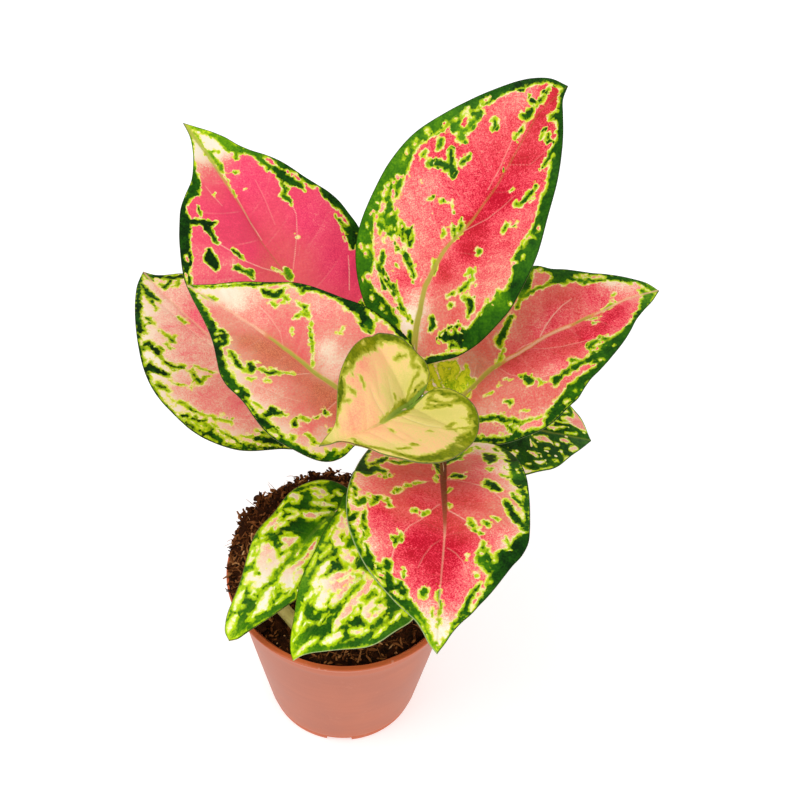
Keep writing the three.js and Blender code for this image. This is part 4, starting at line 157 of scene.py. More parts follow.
     "H": [[[16.04,-10.38,0.16],[16.58,-9.82,0.5]],[[6.76,-13.65,0.38],[5.06,-14.34,0.26]],[[-7.23,-7.71,0.16]],[[-6.34,-5.95,0.24],[-5.76,-5.51,0.28]],[[-5.88,-3.51,0.24],[-5.01,-3.49,0.28]],[[-3.98,-2.75,0.32],[-4.38,-2.06,0.28]],[[-4.54,2.97,0.55],[-4.54,4.06,0.59],[-5.04,4.95,0.46],[-5.73,6.19,0.32]],[[6.55,17.17,0.43],[6.18,17.75,0.29]]],
     "J": [[[-6,4.57,0.69],[-5.61,3.31,0.32]]],
     "P": [[11.79,-10.67,0.72],[11.8,-9.1,0.85],[14.56,-8.77,0.5],[18.1,-8.19,0.6],[20.12,-7.9,0.55],[15.7,-7.22,0.5],[17.07,-5.37,0.64],[19.45,-3.49,0.5],[19.86,-2.19,0.66],[22.63,-2.1,0.8],[22.08,-0.72,0.86],[23.68,0.08,0.86],[25.84,0.4,0.8],[24.23,1.22,0.78],[21.76,0.56,0.62],[17.81,-0.43,0.5],[19.9,0.38,0.5],[20.36,1.79,0.5],[17.21,1.87,0.5],[20.76,3.94,0.46],[21.06,5.74,0.46],[21.92,2.05,0.42],[9.8,-6.98,0.5],[4.79,-9.04,0.46],[13.76,-5.19,0.42],[6.56,-11.09,0.5],[2.19,-11.29,0.48],[-0.69,-11.72,0.34],[-0.23,-10.24,0.38],[0.09,-8.18,0.2],[5.45,-5.57,0.16],[0.91,-6.63,0.12],[-2.51,-6.99,0.22],[-4.1,-9.36,0.25],[-3.12,-10.78,0.3],[-5.03,-8.22,0.2],[-1.32,-12.63,0.3],[1.68,-14.1,0.1],[13.25,-2.84,0.3],[13,-0.98,0.26],[15.82,-1.39,0.42],[11.97,0.12,0.2],[8.08,-1.47,0.08],[0.64,-3.88,0.14],[-1.84,-4.68,0.14],[-1.88,-2.56,0.01],[-4.02,-1.49,0],[-4.32,-4.61,0.14],[4.49,-0.4,0.02],[9.02,-2.73,0.08],[15.07,0.33,0.36],[16.33,-3.33,0.42],[21.6,-4.58,0.06],[23.41,-3.58,0.03],[24.63,-2.44,0.06],[25.81,-1.32,0.42],[27.3,-0.58,0.35],[28.76,-0.25,0],[30.89,0.26,0],[27.18,1.38,0.2],[25.68,2.36,0.08],[23.97,3.68,0.24],[27.59,3.32,0.02],[24.19,6.48,0.16],[23.36,9,0.1],[20.95,10.65,0.1],[18.63,5.83,0.38],[14.27,5.41,0.34],[16.34,8.7,0.32],[13.28,3.4,0.26],[11.83,7.74,0.26],[9.49,4.84,0.16],[6.69,7.06,0.14],[12.08,10.56,0.3],[10.97,13.02,0.34],[6.8,13.84,0.3],[3.36,14.46,0.24],[12.36,16.06,0.3],[16.41,14.82,0.32],[20.11,13.98,0.14],[4.91,9.18,0.1],[4.8,12.62,0.28],[-0.43,14.02,0.2],[1.63,3.96,0.02],[-2.07,6.44,0.03],[-3.95,8.72,0.06],[-4.22,11.19,0.07],[-1.95,9.28,0.04],[-2.4,13.48,0.06],[-4.35,4.24,0],[-2.61,3.2,0],[-1.26,2.87,0],[-1.21,10,0.08],[-1.72,15.22,0.01]],
     "K": [[-1.03,-0.3,0.95],[-2.74,-0.34,0.9],[-4.46,-0.38,0.7],[4.74,0.97,0.12],[9.55,1.67,0.06],[13.12,2.17,0.04],[-6.19,4.38,0.4],[-5.31,1.68,0.45],[-3.76,2.08,0.15],[-6.09,2.57,0.6],[-6.33,7.25,0.35],[-5.56,7.45,0.3],[-3.6,6.06,0.3],[-5.4,12.22,0.4],[-3.54,15.37,0.55],[-1.08,15.57,0.3],[3.99,17.52,0.2],[8.82,18.57,0.3],[13.71,18.54,0.35],[17.4,17.87,0.5],[20.95,16.16,0.5],[23.36,13.19,0.35],[25.06,8.71,0.4],[27.08,4.23,0.2],[31.13,2.22,0.15],[33.39,0.14,0.1],[21.54,-6.65,0.55],[22.88,-5.44,0.6],[24.65,-4.05,0.6],[15.66,-10.76,0.35],[12.9,-11.94,0.45],[8.13,-13.22,0.3],[4.44,-14.1,0.25],[-1,-14.55,0.5],[-3.3,-12.26,0.55],[-5.17,-9.69,0.5],[-6.15,-6.96,0.25],[-6.44,-4.81,0.3],[-6.32,-1.54,0.35],[-4.9,-6.34,0.15],[-4.15,-3.47,0.25],[-1.04,-2.12,0.15],[-1.98,-8.71,0.2],[-0.58,10.89,0.45],[3.08,-12.91,0.25],[15.12,-5.82,0.25],[19.56,-4.97,0.15],[5.12,-2.03,0.25],[17.07,12.11,0.15],[20.29,12.02,0.15]],
     "B": [],
     "V": [[[13.43,-3.89,0.5],[13.77,-1.88,0.7],[13.51,-0.04,0.9],[12.82,1.42,0.8]],[[7.85,3.5,0.7],[7.01,5.92,0.8],[5.8,8.38,0.9],[3.04,10.22,0.9]],[[14.94,2.96,0.3],[16.47,6.15,0.3],[17.1,9.23,0.3]],[[4.05,-5.56,0.3],[6.09,-2.45,0.3],[7.02,0.16,0.3]]],
     "R": [[0,0.14,1,1],[0.12,0.14,0.8,1],[0.25,0.18,0.5,0.9],[0.36,0.24,0.3,0.5],[0.5,0.2,0.16,0.15],[1,0.2,0.1,0.1]],
     "hw": 1.35,
     "specks": 0.2,
     "vein_show": 0.25,
     "edge_highlight": [0.62, 0.62],
     "calm": 0.5,
     "sand": 0.8,
    },
    {"id": "06", "base": [23.661, 16.398, 95.0], "along": [0.83272, 0.50804, 0.22015], "side": [-0.51027, 0.8585, -0.05105], "up": [-0.21494, -0.06982, 0.97413],
     "length": 61.322, "arch": 5, "fold": [0.2, 0.2], "cup": 0.4, "half": 22, "lobe": 0,
     "midrib": [[0,0],[7.1,0.99],[14.36,1.93],[21.7,1.08],[29.32,1.21],[36.92,0.37],[44.86,0.21],[53.22,0.74],[61.32,0]],
     "left": [[0,0],[-1.7,4.3],[-2.4,8.6],[-1.1,12.1],[1.6,14.7],[5,16.5],[8.48,17.75],[11.72,19.01],[15.05,19.99],[18.46,20.73],[21.94,21.26],[25.48,21.64],[29.04,21.83],[32.61,21.72],[36.18,21.5],[39.31,20.16],[41.7,17.61],[44.61,15.81],[47.18,13.59],[49.72,11.38],[52.58,9.61],[55.35,7.75],[57.83,5.55],[60.01,3.09],[61.32,-0]],
     "right": [[0,0],[-1,-3.94],[-1.19,-7.93],[-0.47,-11.68],[1.03,-14.85],[3.13,-17.23],[5.42,-19.23],[7.87,-20.81],[10.48,-21.89],[13.2,-22.51],[16.02,-22.53],[18.88,-22.12],[21.78,-21.58],[24.71,-20.99],[27.53,-19.33],[30.46,-17.79],[33.56,-16.9],[36.72,-15.8],[39.92,-14.22],[43.18,-12.28],[46.51,-9.99],[49.91,-7.43],[53.51,-5.31],[57.3,-3.14],[61.32,-0]],
     "G": [[[38.11,20.69,0.86],[36.1,18.89,0.96],[34.34,17.02,1.22],[32.57,15.62,1.26],[30.83,14.26,0.82]],[[38.76,19.85,0.97],[40.44,18.36,1.03],[41.74,16.75,1.31],[42.91,14.5,2.11],[44.8,13.39,2.4],[46.89,12.6,1.42],[49.05,11.47,1.25],[51.05,10.11,1.08],[53.15,8.05,1.13],[55.2,6.78,1.13],[57.07,5.26,0.96],[58.95,3.75,0.73],[59.56,2.1,0.84],[60.18,0.46,1.06],[61.09,0.09,0.66]],[[31.26,13.58,0.81],[33.28,13.99,0.66],[35.18,13.78,0.49],[37.11,13.61,0.5],[38.85,13.61,0.61],[40.61,13.64,1.23],[42.07,12.75,1.39]],[[45.64,10.68,0.95],[45.97,9.41,0.56],[47.78,9.54,0.73],[49.3,8.77,0.45],[51.01,8.31,0.56]],[[58.12,-0.92,1.32],[55.84,-2.64,1.28],[53.41,-5.04,0.93],[51.1,-6.37,0.92],[48.43,-8.28,0.9],[46.02,-9.79,1.07],[43.08,-11.26,1.74],[40.78,-12.19,2.44],[38.52,-12.62,2.84],[36.12,-13.72,2.67],[34.31,-15.64,1.66],[32.52,-16.67,1.37],[30.73,-16.84,1.25],[28.96,-16.97,1.35],[26.9,-17.99,1.6],[25.18,-18.47,2.12],[23.16,-19.42,2.1],[21.48,-19.85,1.73],[19.48,-20.33,1.66],[17.67,-20.95,1.65],[16.06,-21.71,1.18],[14.78,-22.37,0.51]],[[57.52,1.24,0.72],[57.53,-0.06,0.86]],[[40.04,-9.4,0.99],[39.3,-8.35,0.7],[37.41,-8.64,0.75],[35.73,-9.05,0.63],[36.29,-10.84,0.57],[34.81,-11.38,0.57],[35.37,-12.7,1.13]],[[33.9,-12.79,1.01],[32.26,-12.72,0.78],[30.63,-12.62,0.83],[29.02,-12.5,1.21],[27.26,-12.6,0.99],[25.51,-12.68,0.71],[23.95,-12.9,1.25],[22.95,-14.03,0.7]],[[29.88,-9.82,0.45],[30.25,-11.01,0.95],[30.09,-12.15,0.83]],[[49.94,2.81,0.05],[50.95,3.04,0.03]],[[45.38,0.31,0.09],[46.57,0.37,0.28],[47.55,0.55,0.54],[48.54,0.74,0.38],[49.72,1.21,0.05]],[[40.47,-0.2,0.12],[41.99,-0.97,0.25],[43.54,-1.23,0.06]],[[40.96,-2.61,0.3],[41.91,-2.9,0.18]],[[18.78,-6.55,0.56],[18.82,-8.34,1.11],[18.51,-9.32,0.82]],[[20.4,-9.49,0.11],[20.62,-10.98,0.27],[21.32,-11.66,0.16],[19.95,-11.59,0.05]],[[11.44,-9.58,0.32],[11.96,-10.15,0.59],[12,-11.02,0.37],[11.36,-11.58,0.05]],[[8.44,-3.94,0.03],[9.76,-4.2,0.17],[10.59,-4.29,0.03]],[[12.42,-4.18,0.03],[13.07,-3.58,-0.03]],[[14.77,-3.66,0.08],[16,-4.98,0.11]],[[12.84,-14.74,0.03],[13.89,-15.79,-0.03]],[[3.75,-8.73,0.7],[5.27,-10.09,0.75],[6.6,-10.8,0.8],[7.63,-11.97,0.95],[8.39,-14.02,0.68],[9.77,-15.5,0.73],[10.51,-17.06,0.41],[11.88,-18.06,0.26],[13.57,-18.97,0.15],[15.1,-19.68,0.1]],[[7.94,-14.73,0.26],[8.22,-16.59,0.52],[8.29,-17.83,0.88],[8.58,-19.65,1.12],[7.45,-19.61,1.02],[5.61,-18.43,0.77],[3.88,-16.56,0.88],[2.17,-14.65,0.78],[0.45,-12.67,0.79]],[[8.29,-20.1,0.87],[9.96,-21.05,0.76],[11.8,-21.74,0.66],[13.31,-22.46,0.46],[14.63,-22.6,0.41]],[[26.02,10.86,0.53],[24.5,9.86,0.68],[22.69,8.42,0.63],[20.87,7.42,1.14],[19.4,6.52,1.08],[18.87,5.25,0.41]],[[19.16,4.36,0.3],[18.1,3.2,0.4],[17.14,2.64,0.4],[15.53,1.98,0.26],[14.17,1.69,0.17]],[[29.98,13.4,0.49],[28.07,12.24,0.38]],[[5.25,11.3,0.62],[6.49,9.48,0.87],[7.64,8.48,0.26]],[[6.36,7.88,0.46],[5.38,6.37,0.56],[4.85,4.17,0.6],[4.65,2.05,0.99],[5.37,0.41,1.41]],[[8.05,5.43,0.51],[7.02,4.3,1.01],[6.24,2.66,1.1],[5.99,0.92,1.09]],[[3.18,10.42,0.21],[2.72,8.77,0.15]],[[2.88,12.81,0.36],[1.58,11.24,0.26],[0.28,9.69,0.26]],[[2.79,12.19,0.62],[2.52,10.34,0.67],[2.12,8.31,0.66],[1.73,6.3,0.5],[1.29,4.7,0.35]],[[5.83,9.38,0.56],[5.23,7.52,0.66],[4.45,5.85,0.61],[3.87,4.04,0.55]],[[8.03,8.15,0.26],[7.37,6.68,0.41]],[[8.28,2.61,0.4],[7.82,0.99,0.74],[9.33,2.41,0.3]],[[4.78,11.03,0.67],[3.95,8.33,0.66],[3.14,5.69,0.55]],[[7.93,8.92,0.41],[6.51,6.73,0.41]],[[9.47,6.26,0.36],[8.45,3.78,0.45]],[[1.48,12.04,0.62],[0.74,9.94,0.77],[-0.17,8.06,0.76],[-0.04,5.91,0.65]]],
     "H": [[[45.29,12.36,0.51],[46.14,11.89,0.23]],[[46.96,11.81,0.51],[48.04,11.24,0.28]],[[48.97,10.03,0.62],[50.24,9.76,0.74],[51.56,9.14,0.57]],[[37.97,-9.98,0.52],[38.91,-9.84,0.52]],[[36.66,-10.7,0.51],[35.73,-10.82,0.28]],[[40.21,-12.19,0.34]],[[35.21,-14.69,0.33]],[[29.54,-11.25,0.39],[30.44,-11.6,0.17]],[[30.31,-14.44,0.33],[31.57,-14.67,0.66],[32.84,-14.88,0.77],[33.57,-15.05,0.44]],[[21.5,-20.25,0.57],[22.53,-20.4,0.52]],[[16.13,-20.28,0.36]],[[10.12,-18.57,0.21],[9.51,-19.09,0.46],[9.91,-20.25,0.25]],[[9.23,-17.27,0.21]],[[25.54,-18.78,0.26]],[[39.43,18.61,0.28],[38.43,18.88,0.34]]],
     "J": [],
     "P": [[38.86,15.88,0.56],[41.1,14.85,0.58],[36.67,16.56,0.5],[36.23,14.95,0.62],[38.96,14.67,0.55],[28.55,11.17,0.5],[32.14,12.22,0.62],[34.8,11.83,0.66],[37.5,11.51,0.66],[40.93,10.12,0.64],[38.55,8.68,0.82],[41.66,6.82,0.78],[45.84,6.6,0.72],[46.52,4.15,0.84],[49.51,4.75,0.66],[51.99,5.01,0.42],[54.09,5.13,0.18],[52.05,6.39,0.08],[55.7,4.09,0.35],[54.16,2.67,0.5],[57.21,2.05,0.45],[51.75,1.66,0.66],[49.19,2.13,0.66],[45.92,2.39,0.72],[42.08,3.11,0.7],[39.87,5.42,0.72],[38.86,2.59,0.72],[34.99,3.27,0.72],[32.88,5.33,0.74],[35.28,7.21,0.72],[30.97,5.96,0.64],[29.76,8.54,0.6],[26.67,8.27,0.52],[23.12,6.38,0.5],[23.94,4.08,0.62],[27.13,4.52,0.66],[29.43,3.62,0.66],[33.04,2.52,0.68],[37.02,2,0.68],[42.47,1.54,0.55],[19.54,4.05,0.6],[22.22,3.67,0.66],[15.88,7.01,0.78],[17.47,6.72,0.5],[17.57,4.62,0.6],[12.63,5.66,0.42],[13.52,2.96,0.5],[9.96,5.18,0.38],[11.71,2.45,0.4],[15.89,4.31,0.6],[22.8,9.04,0.5],[21.52,9.33,0.5],[27.71,-1.36,0.9],[31.34,-2.45,0.92],[33.75,-3.18,0.92],[36.17,-3.86,0.98],[39.38,-4.21,1],[42.43,-4.78,1],[45.62,-3.35,1],[48.67,-2.17,0.98],[51.33,-1.61,0.85],[53.02,-0.78,0.45],[50.79,-4.22,0.62],[48.29,-6.3,0.7],[45.32,-6.5,0.78],[44.66,-9.27,0.62],[42.35,-8.46,0.66],[39.89,-6.99,0.92],[36.31,-7.26,0.92],[33.52,-7.18,0.9],[33.88,-9.74,0.62],[31.87,-10.68,0.6],[31.86,-8.46,0.85],[30.22,-7.47,0.85],[28.95,-5.39,0.8],[27.53,-6.31,0.96],[25.92,-4.27,0.8],[24.69,-1.59,0.8],[22.22,0.54,0.95],[19.75,0.3,1],[16.78,0.18,1],[18.54,-2.2,0.92],[21.52,-3.48,0.82],[23.64,-5.64,0.74],[24.2,-8.43,0.45],[25.79,-9.53,0.5],[27.9,-8.89,0.7],[20.17,-6.63,0.72],[22.29,-8.75,0.5],[17.52,-3.89,0.7],[15.43,-2.55,0.6],[13.36,-1.15,0.6],[11.5,-0.82,0.66],[9.17,-0.75,0.75],[7.22,-1.52,0.8],[10.32,-0.32,0.8],[10.56,-3.36,0.55],[11.97,-5.88,0.5],[14.69,-7.12,0.52],[16.45,-8.94,0.56],[17.21,-11.4,0.6],[18.98,-13.14,0.64],[20.59,-15.08,0.68],[23.17,-15.46,0.68],[25.42,-15.48,0.7],[28.01,-14.52,0.62],[26.96,-14.83,0.64],[22.24,-17.8,0.6],[20.53,-17.82,0.6],[18.27,-16.49,0.66],[16.19,-15.29,0.68],[14.75,-13.06,0.66],[14.11,-9.93,0.6],[10.04,-11.37,0.48],[8.62,-8.94,0.42],[7.22,-6.44,0.4],[5.3,-7.16,0.35],[7.2,-9.83,0.45],[9.61,-12.53,0.55],[12.03,-15.1,0.42],[14.13,-17.21,0.5],[16.19,-18.43,0.4],[18.53,-18.3,0.42],[12.71,-20.77,0.6],[11.39,-20.6,0.5],[14.03,-20.92,0.6],[4.48,-13.28,0.55],[5.83,-14.39,0.62],[3.18,-13.01,0.45],[6.77,-16.59,0.35],[3.22,6.28,0.1],[4.62,7.04,0.12],[2.16,9.3,0.08],[4.22,10.15,0.04],[7.37,6.68,0.05],[7.86,1.97,0.04],[0.4,7.52,0.06],[4.49,3.17,0.03],[1.94,4.77,0.03],[3.66,9.28,0.05],[10.32,7.57,0.35],[12.19,7.71,0.4]],
     "K": [[34.04,16.08,0.85],[31.91,14.59,0.25],[36.83,19.57,0.35],[40.26,18.08,0.75],[42.73,14.23,0.75],[44.84,13,0.8],[48.87,11.19,0.7],[46.14,9.68,0.35],[52.97,7.77,0.8],[58.31,3.67,0.7],[60.18,0.46,0.25],[56.83,-0.69,0.4],[51.93,-5.98,0.75],[44.83,-10.3,0.6],[42.31,-11.14,0.85],[38.53,-13.48,0.85],[35.2,-14.27,0.6],[34.09,-12.94,0.85],[28.86,-13.19,0.85],[23.79,-13.16,0.85],[30.07,-10.85,0.4],[35.73,-9.05,0.5],[38.73,-8.8,0.4],[29.32,-17.28,0.75],[24.86,-18.97,0.6],[22,-19.92,0.8],[17.52,-21.19,0.85],[18.82,-8.34,0.85],[11.96,-10.15,0.4],[20.44,-10.8,0.05],[6.97,-11.63,0.9],[4.44,-9.54,0.8],[10.11,-15.86,0.75],[8.37,-19.06,0.75],[4.75,-17.5,0.9],[10.81,-21.51,0.8],[20.38,7.12,0.8],[24.15,9.77,0.55],[18.1,3.2,0.3],[6.88,4.09,-0.1],[4.85,4.17,-0.12],[5.66,6.8,-0.12],[6.3,9.65,-0.12],[4.78,11.03,-0.12],[5.52,0.67,-0.1],[38.85,13.61,0.6],[34.98,13.92,0.35],[47.94,0.7,0.5],[41.78,-1.3,0.15],[2.52,10.34,-0.1],[2.03,7.7,-0.1],[1.56,5.11,0.05],[5.65,8.17,-0.1],[4.59,6.07,0.3],[4,4.25,0.2],[7.97,1.24,0.15],[9.19,2.2,0.1],[7.65,7.11,0.05],[4.41,9.98,-0.12],[3.58,7.3,-0.12],[7.08,7.6,-0.12],[9.1,5.23,0.02],[2.23,11.31,-0.1],[2.07,8.7,-0.1],[0.55,10.12,-0.1],[0.02,7.88,0]],
     "B": [[35.16,10.13,0.35],[39.39,9.96,0.45],[41.33,6.31,0.3],[27.76,9.95,0.5],[23.48,7.83,0.45],[31.34,10.97,0.4],[30.43,2.94,0],[44.47,4.54,0],[50.95,1.33,0],[34.76,5.11,0.05],[11.89,3.62,0.85],[16.65,6.37,0.6],[9.89,3.26,0.7],[15.32,3.46,0.6],[20.27,5.16,0.2],[8.54,-1.8,0.75],[6.75,-2.3,0.6],[11.36,-2.04,0.55],[11.46,-5.75,0.4],[9.94,-9.18,0.35],[6.91,-6.94,0.5],[7.57,-10.66,0.3],[15.94,-13.44,0.35],[20.27,-15.59,0.4],[4.48,-13.28,0.4],[12.71,-20.77,0.05],[18.2,-2.77,0.3],[26.1,-3.98,0.25],[32.05,-5.91,0.3],[37.06,-6.97,0],[26.17,-10.74,0],[44.82,-3.72,0],[24.72,11.11,0.6],[22.86,10.05,0.5],[4.72,6.28,0]],
     "V": [[[21.39,1.98,0.5],[23.84,2.16,0.7],[25.86,1.72,0.8]],[[28.36,2.01,0.9],[31.24,3.73,1],[34.2,5.14,1],[37.64,6.41,0.9],[40.87,6.93,0.6]],[[24.87,0.15,0.8],[27.17,-2.24,0.8],[30.59,-4.6,0.7],[34.64,-6.3,0.7],[38.56,-7.29,0.5]],[[15.74,0.39,0.5],[16.48,-3.23,0.9],[18.44,-6.64,1],[21.27,-9.48,1],[24.78,-11.14,0.8],[27.58,-11.2,0.5]],[[7.45,1.34,0.6],[10.24,2.01,0.6]],[[27.52,-3.07,0.2],[28.6,-6.88,0.2],[31.14,-9.61,0.2]],[[11.68,5.11,0.3],[9.89,3.26,0.5],[8.66,2.3,0.5]]],
     "R": [[0,0.26,0.62,0.95],[0.288,0.27,0.45,0.9],[0.3,0.27,0.45,0],[0.31,0.72,0.38,0],[0.322,0.72,0.38,0.9],[0.608,0.72,0.28,0.9],[0.62,0.72,0.28,0],[0.63,0.27,0.28,0],[0.642,0.27,0.28,0.8],[0.698,0.27,0.28,0.8],[0.71,0.27,0.28,0],[0.72,0.72,0.25,0],[0.732,0.72,0.25,0.8],[1,0.72,0.2,0.6]],
     "hw": 1.1,
     "specks": 0.7,
     "pshift": -0.03,
     "flank": [[0, 0.9], [0.4, 0.7], [0.75, 0.45], [1, 0.2]],
    },
    {"id": "07", "base": [21.82, 25.003, 80.0], "along": [0.97563, 0.09605, -0.19729], "side": [-0.09797, 0.99519, 0.0], "up": [0.19634, 0.01933, 0.98035],
     "length": 40.55, "arch": 4, "fold": [0.18, 0.18], "cup": 0.35, "half": 16, "lobe": 0,
     "midrib": [[0,0],[4.52,-0.96],[9.16,-1.52],[13.94,-1.72],[18.87,-1.76],[23.94,-1.75],[29.14,-1.75],[34.6,-1.37],[40.55,-0]],
     "left": [[0,0],[0.46,2.38],[1.1,4.72],[2.11,6.88],[3.53,8.69],[5.25,10.16],[7.16,11.37],[9.2,12.34],[11.34,13.09],[13.56,13.62],[15.82,13.94],[18.1,14.04],[20.38,13.95],[22.64,13.7],[24.88,13.31],[27.07,12.8],[29.21,12.13],[31.22,11.23],[33.02,10.03],[34.64,8.63],[36.35,7.36],[37.92,5.98],[38.91,4.04],[39.63,1.92],[40.55,-0]],
     "right": [[0,0],[0.23,-2.91],[0.58,-5.71],[1.12,-8.34],[1.92,-10.74],[2.95,-12.88],[4.17,-14.76],[5.54,-16.35],[7.07,-17.64],[8.73,-18.6],[10.5,-19.22],[12.35,-19.52],[14.26,-19.53],[16.22,-19.27],[18.23,-18.79],[20.28,-18.09],[22.37,-17.19],[24.52,-16.16],[26.71,-14.95],[28.92,-13.23],[31.05,-10.95],[33.25,-8.45],[35.6,-5.89],[38.03,-3.09],[40.55,-0]],
     "G": [[[14.25,-6.78,4.26],[19.41,-6.34,5],[24.86,-5.35,6.48],[29.2,-4.16,6.04],[33.78,-2.55,4.87],[38.62,-0.52,2.49]],[[10.02,-1.24,3.72],[15.2,1.68,5.49],[20.53,3.62,5.67],[26.15,6.1,4.71],[31.8,6.02,3.64]],[[20.95,-13.25,3.62],[26.71,-10.36,3.8]]],
     "H": [[[32.12,3.38,0.36],[33.32,3.76,0.73],[34.82,3.96,0.86],[36.31,3.9,0.74],[36.91,3.83,0.43]],[[32.91,5.45,0.24],[33.85,6.07,0.37]],[[27.81,-0.41,0.29],[29.21,-0.38,0.46],[30.68,0.3,0.29],[32.75,0.89,0.27]],[[23.88,-4.82,0.58],[24.93,-4.96,0.98],[26.28,-5,1.05],[27.58,-5.4,0.59],[28.31,-5.93,0.26]],[[29.41,-5.97,0.6]],[[30.92,-3.97,0.61],[32.06,-3.96,0.96],[32.9,-4.03,0.55]],[[33.18,-6.92,0.74],[34.58,-5.65,0.75]],[[21.6,-10.71,0.49],[22.35,-10.94,0.74],[22.77,-11.57,0.55]],[[22.45,-13.7,0.42],[23.47,-13.86,0.61],[24.62,-13.29,0.43]],[[27.47,-12.28,0.31],[28.33,-12.05,0.32]],[[30.09,-8.33,0.36],[30.25,-9,0.2]],[[26.36,-10.8,0.25]],[[19.96,-14.75,0.27],[20.75,-14.64,0.21]],[[19.59,-17.46,0.32]],[[16.94,-10.93,0.3]],[[25.67,-8.47,0.26],[26.52,-8.26,0.26]],[[32.59,-0.91,0.21],[35.91,-0.1,0.21]],[[23.3,-8.26,0.19],[22.73,-6.91,0.19]],[[26.76,0.23,0.26],[29.05,1.05,0.26]]],
     "J": [],
     "P": [[34.51,3.85,0.55],[36.31,3.9,0.5],[32.41,3.47,0.15],[33.55,5.96,0.05],[29.24,-0.08,0.45],[32.75,0.89,0.05],[25.71,-5.14,0.6],[24.16,-4.76,0.2],[28.02,-6.02,0.1],[29.41,-5.97,0.02],[32.06,-3.96,0.5],[33.88,-6.29,0.22],[22.35,-10.94,0.42],[23.47,-13.86,0.02],[27.75,-12.2,0.03],[30.09,-8.33,0.03],[26.36,-10.8,0.05],[20.23,-14.71,0.03],[19.59,-17.46,0.02],[16.94,-10.93,0.03],[25.96,-8.4,0.03],[32.59,-0.91,0.03]],
     "K": [[31.35,1.36,0.85],[25.43,-2.16,0.85],[19.13,-8.21,0.9],[20.95,-13.25,0.8],[27.03,-8.49,0.85],[35.36,-1.92,0.7],[37.32,1.9,0.65],[28.94,-13.26,0.6],[38.62,-0.52,0.6],[34.78,6.39,0.6],[24.46,-16.03,0.55],[23.81,-3.7,0.55],[14.25,-6.78,0.9]],
     "B": [],
     "V": [],
     "R": [[0,0.2,0.4,0.4],[1,0.2,0.2,0.3]],
     "hw": 0.8,
     "specks": 1.0,
     "vein_show": 0.15,
     "calm": 0.6,
     "sand": 0.7,
    },
    {"id": "08", "base": [22.441, -3.823, 102.0], "along": [-0.01074, -0.9907, 0.13564], "side": [0.99994, -0.01084, 0.0], "up": [0.00147, 0.13563, 0.99076],
     "length": 58.981, "arch": 6, "fold": [0.25, 0.25], "cup": 0.4, "half": 20, "lobe": 0,
     "midrib": [[-0,0],[12.39,0.1],[21.82,0.5],[29.75,0.68],[36.7,0.47],[42.96,0.19],[48.68,-0.02],[54,-0.08],[58.98,-0]],
     "left": [[-0,0],[-4.55,2.28],[-6.85,5.09],[-7.18,8.1],[-6.18,11.09],[-3.21,13.83],[1.69,15.99],[7.27,17.53],[12.75,18.45],[17.91,18.79],[22.61,18.87],[26.91,18.81],[30.91,18.68],[34.62,18.32],[37.67,16.98],[40.13,15.11],[42.7,13.49],[45.17,11.9],[47.38,10.16],[49.34,8.29],[51.36,6.55],[53.11,4.65],[55,2.94],[57.06,1.51],[58.98,-0]],
     "right": [[-0,0],[-3.6,-2.47],[-5.62,-5.32],[-5.9,-8.39],[-4.88,-11.5],[-2.2,-14.48],[2.38,-17.01],[8.14,-18.71],[13.72,-19.81],[18.82,-20.59],[23.55,-20.91],[27.89,-20.72],[31.84,-20.14],[35.36,-19.14],[38.51,-17.88],[41.38,-16.45],[43.86,-14.75],[46.02,-12.85],[48.12,-10.99],[50.03,-9.05],[51.59,-6.9],[53.07,-4.75],[55.08,-3.13],[57.26,-1.8],[58.98,-0]],
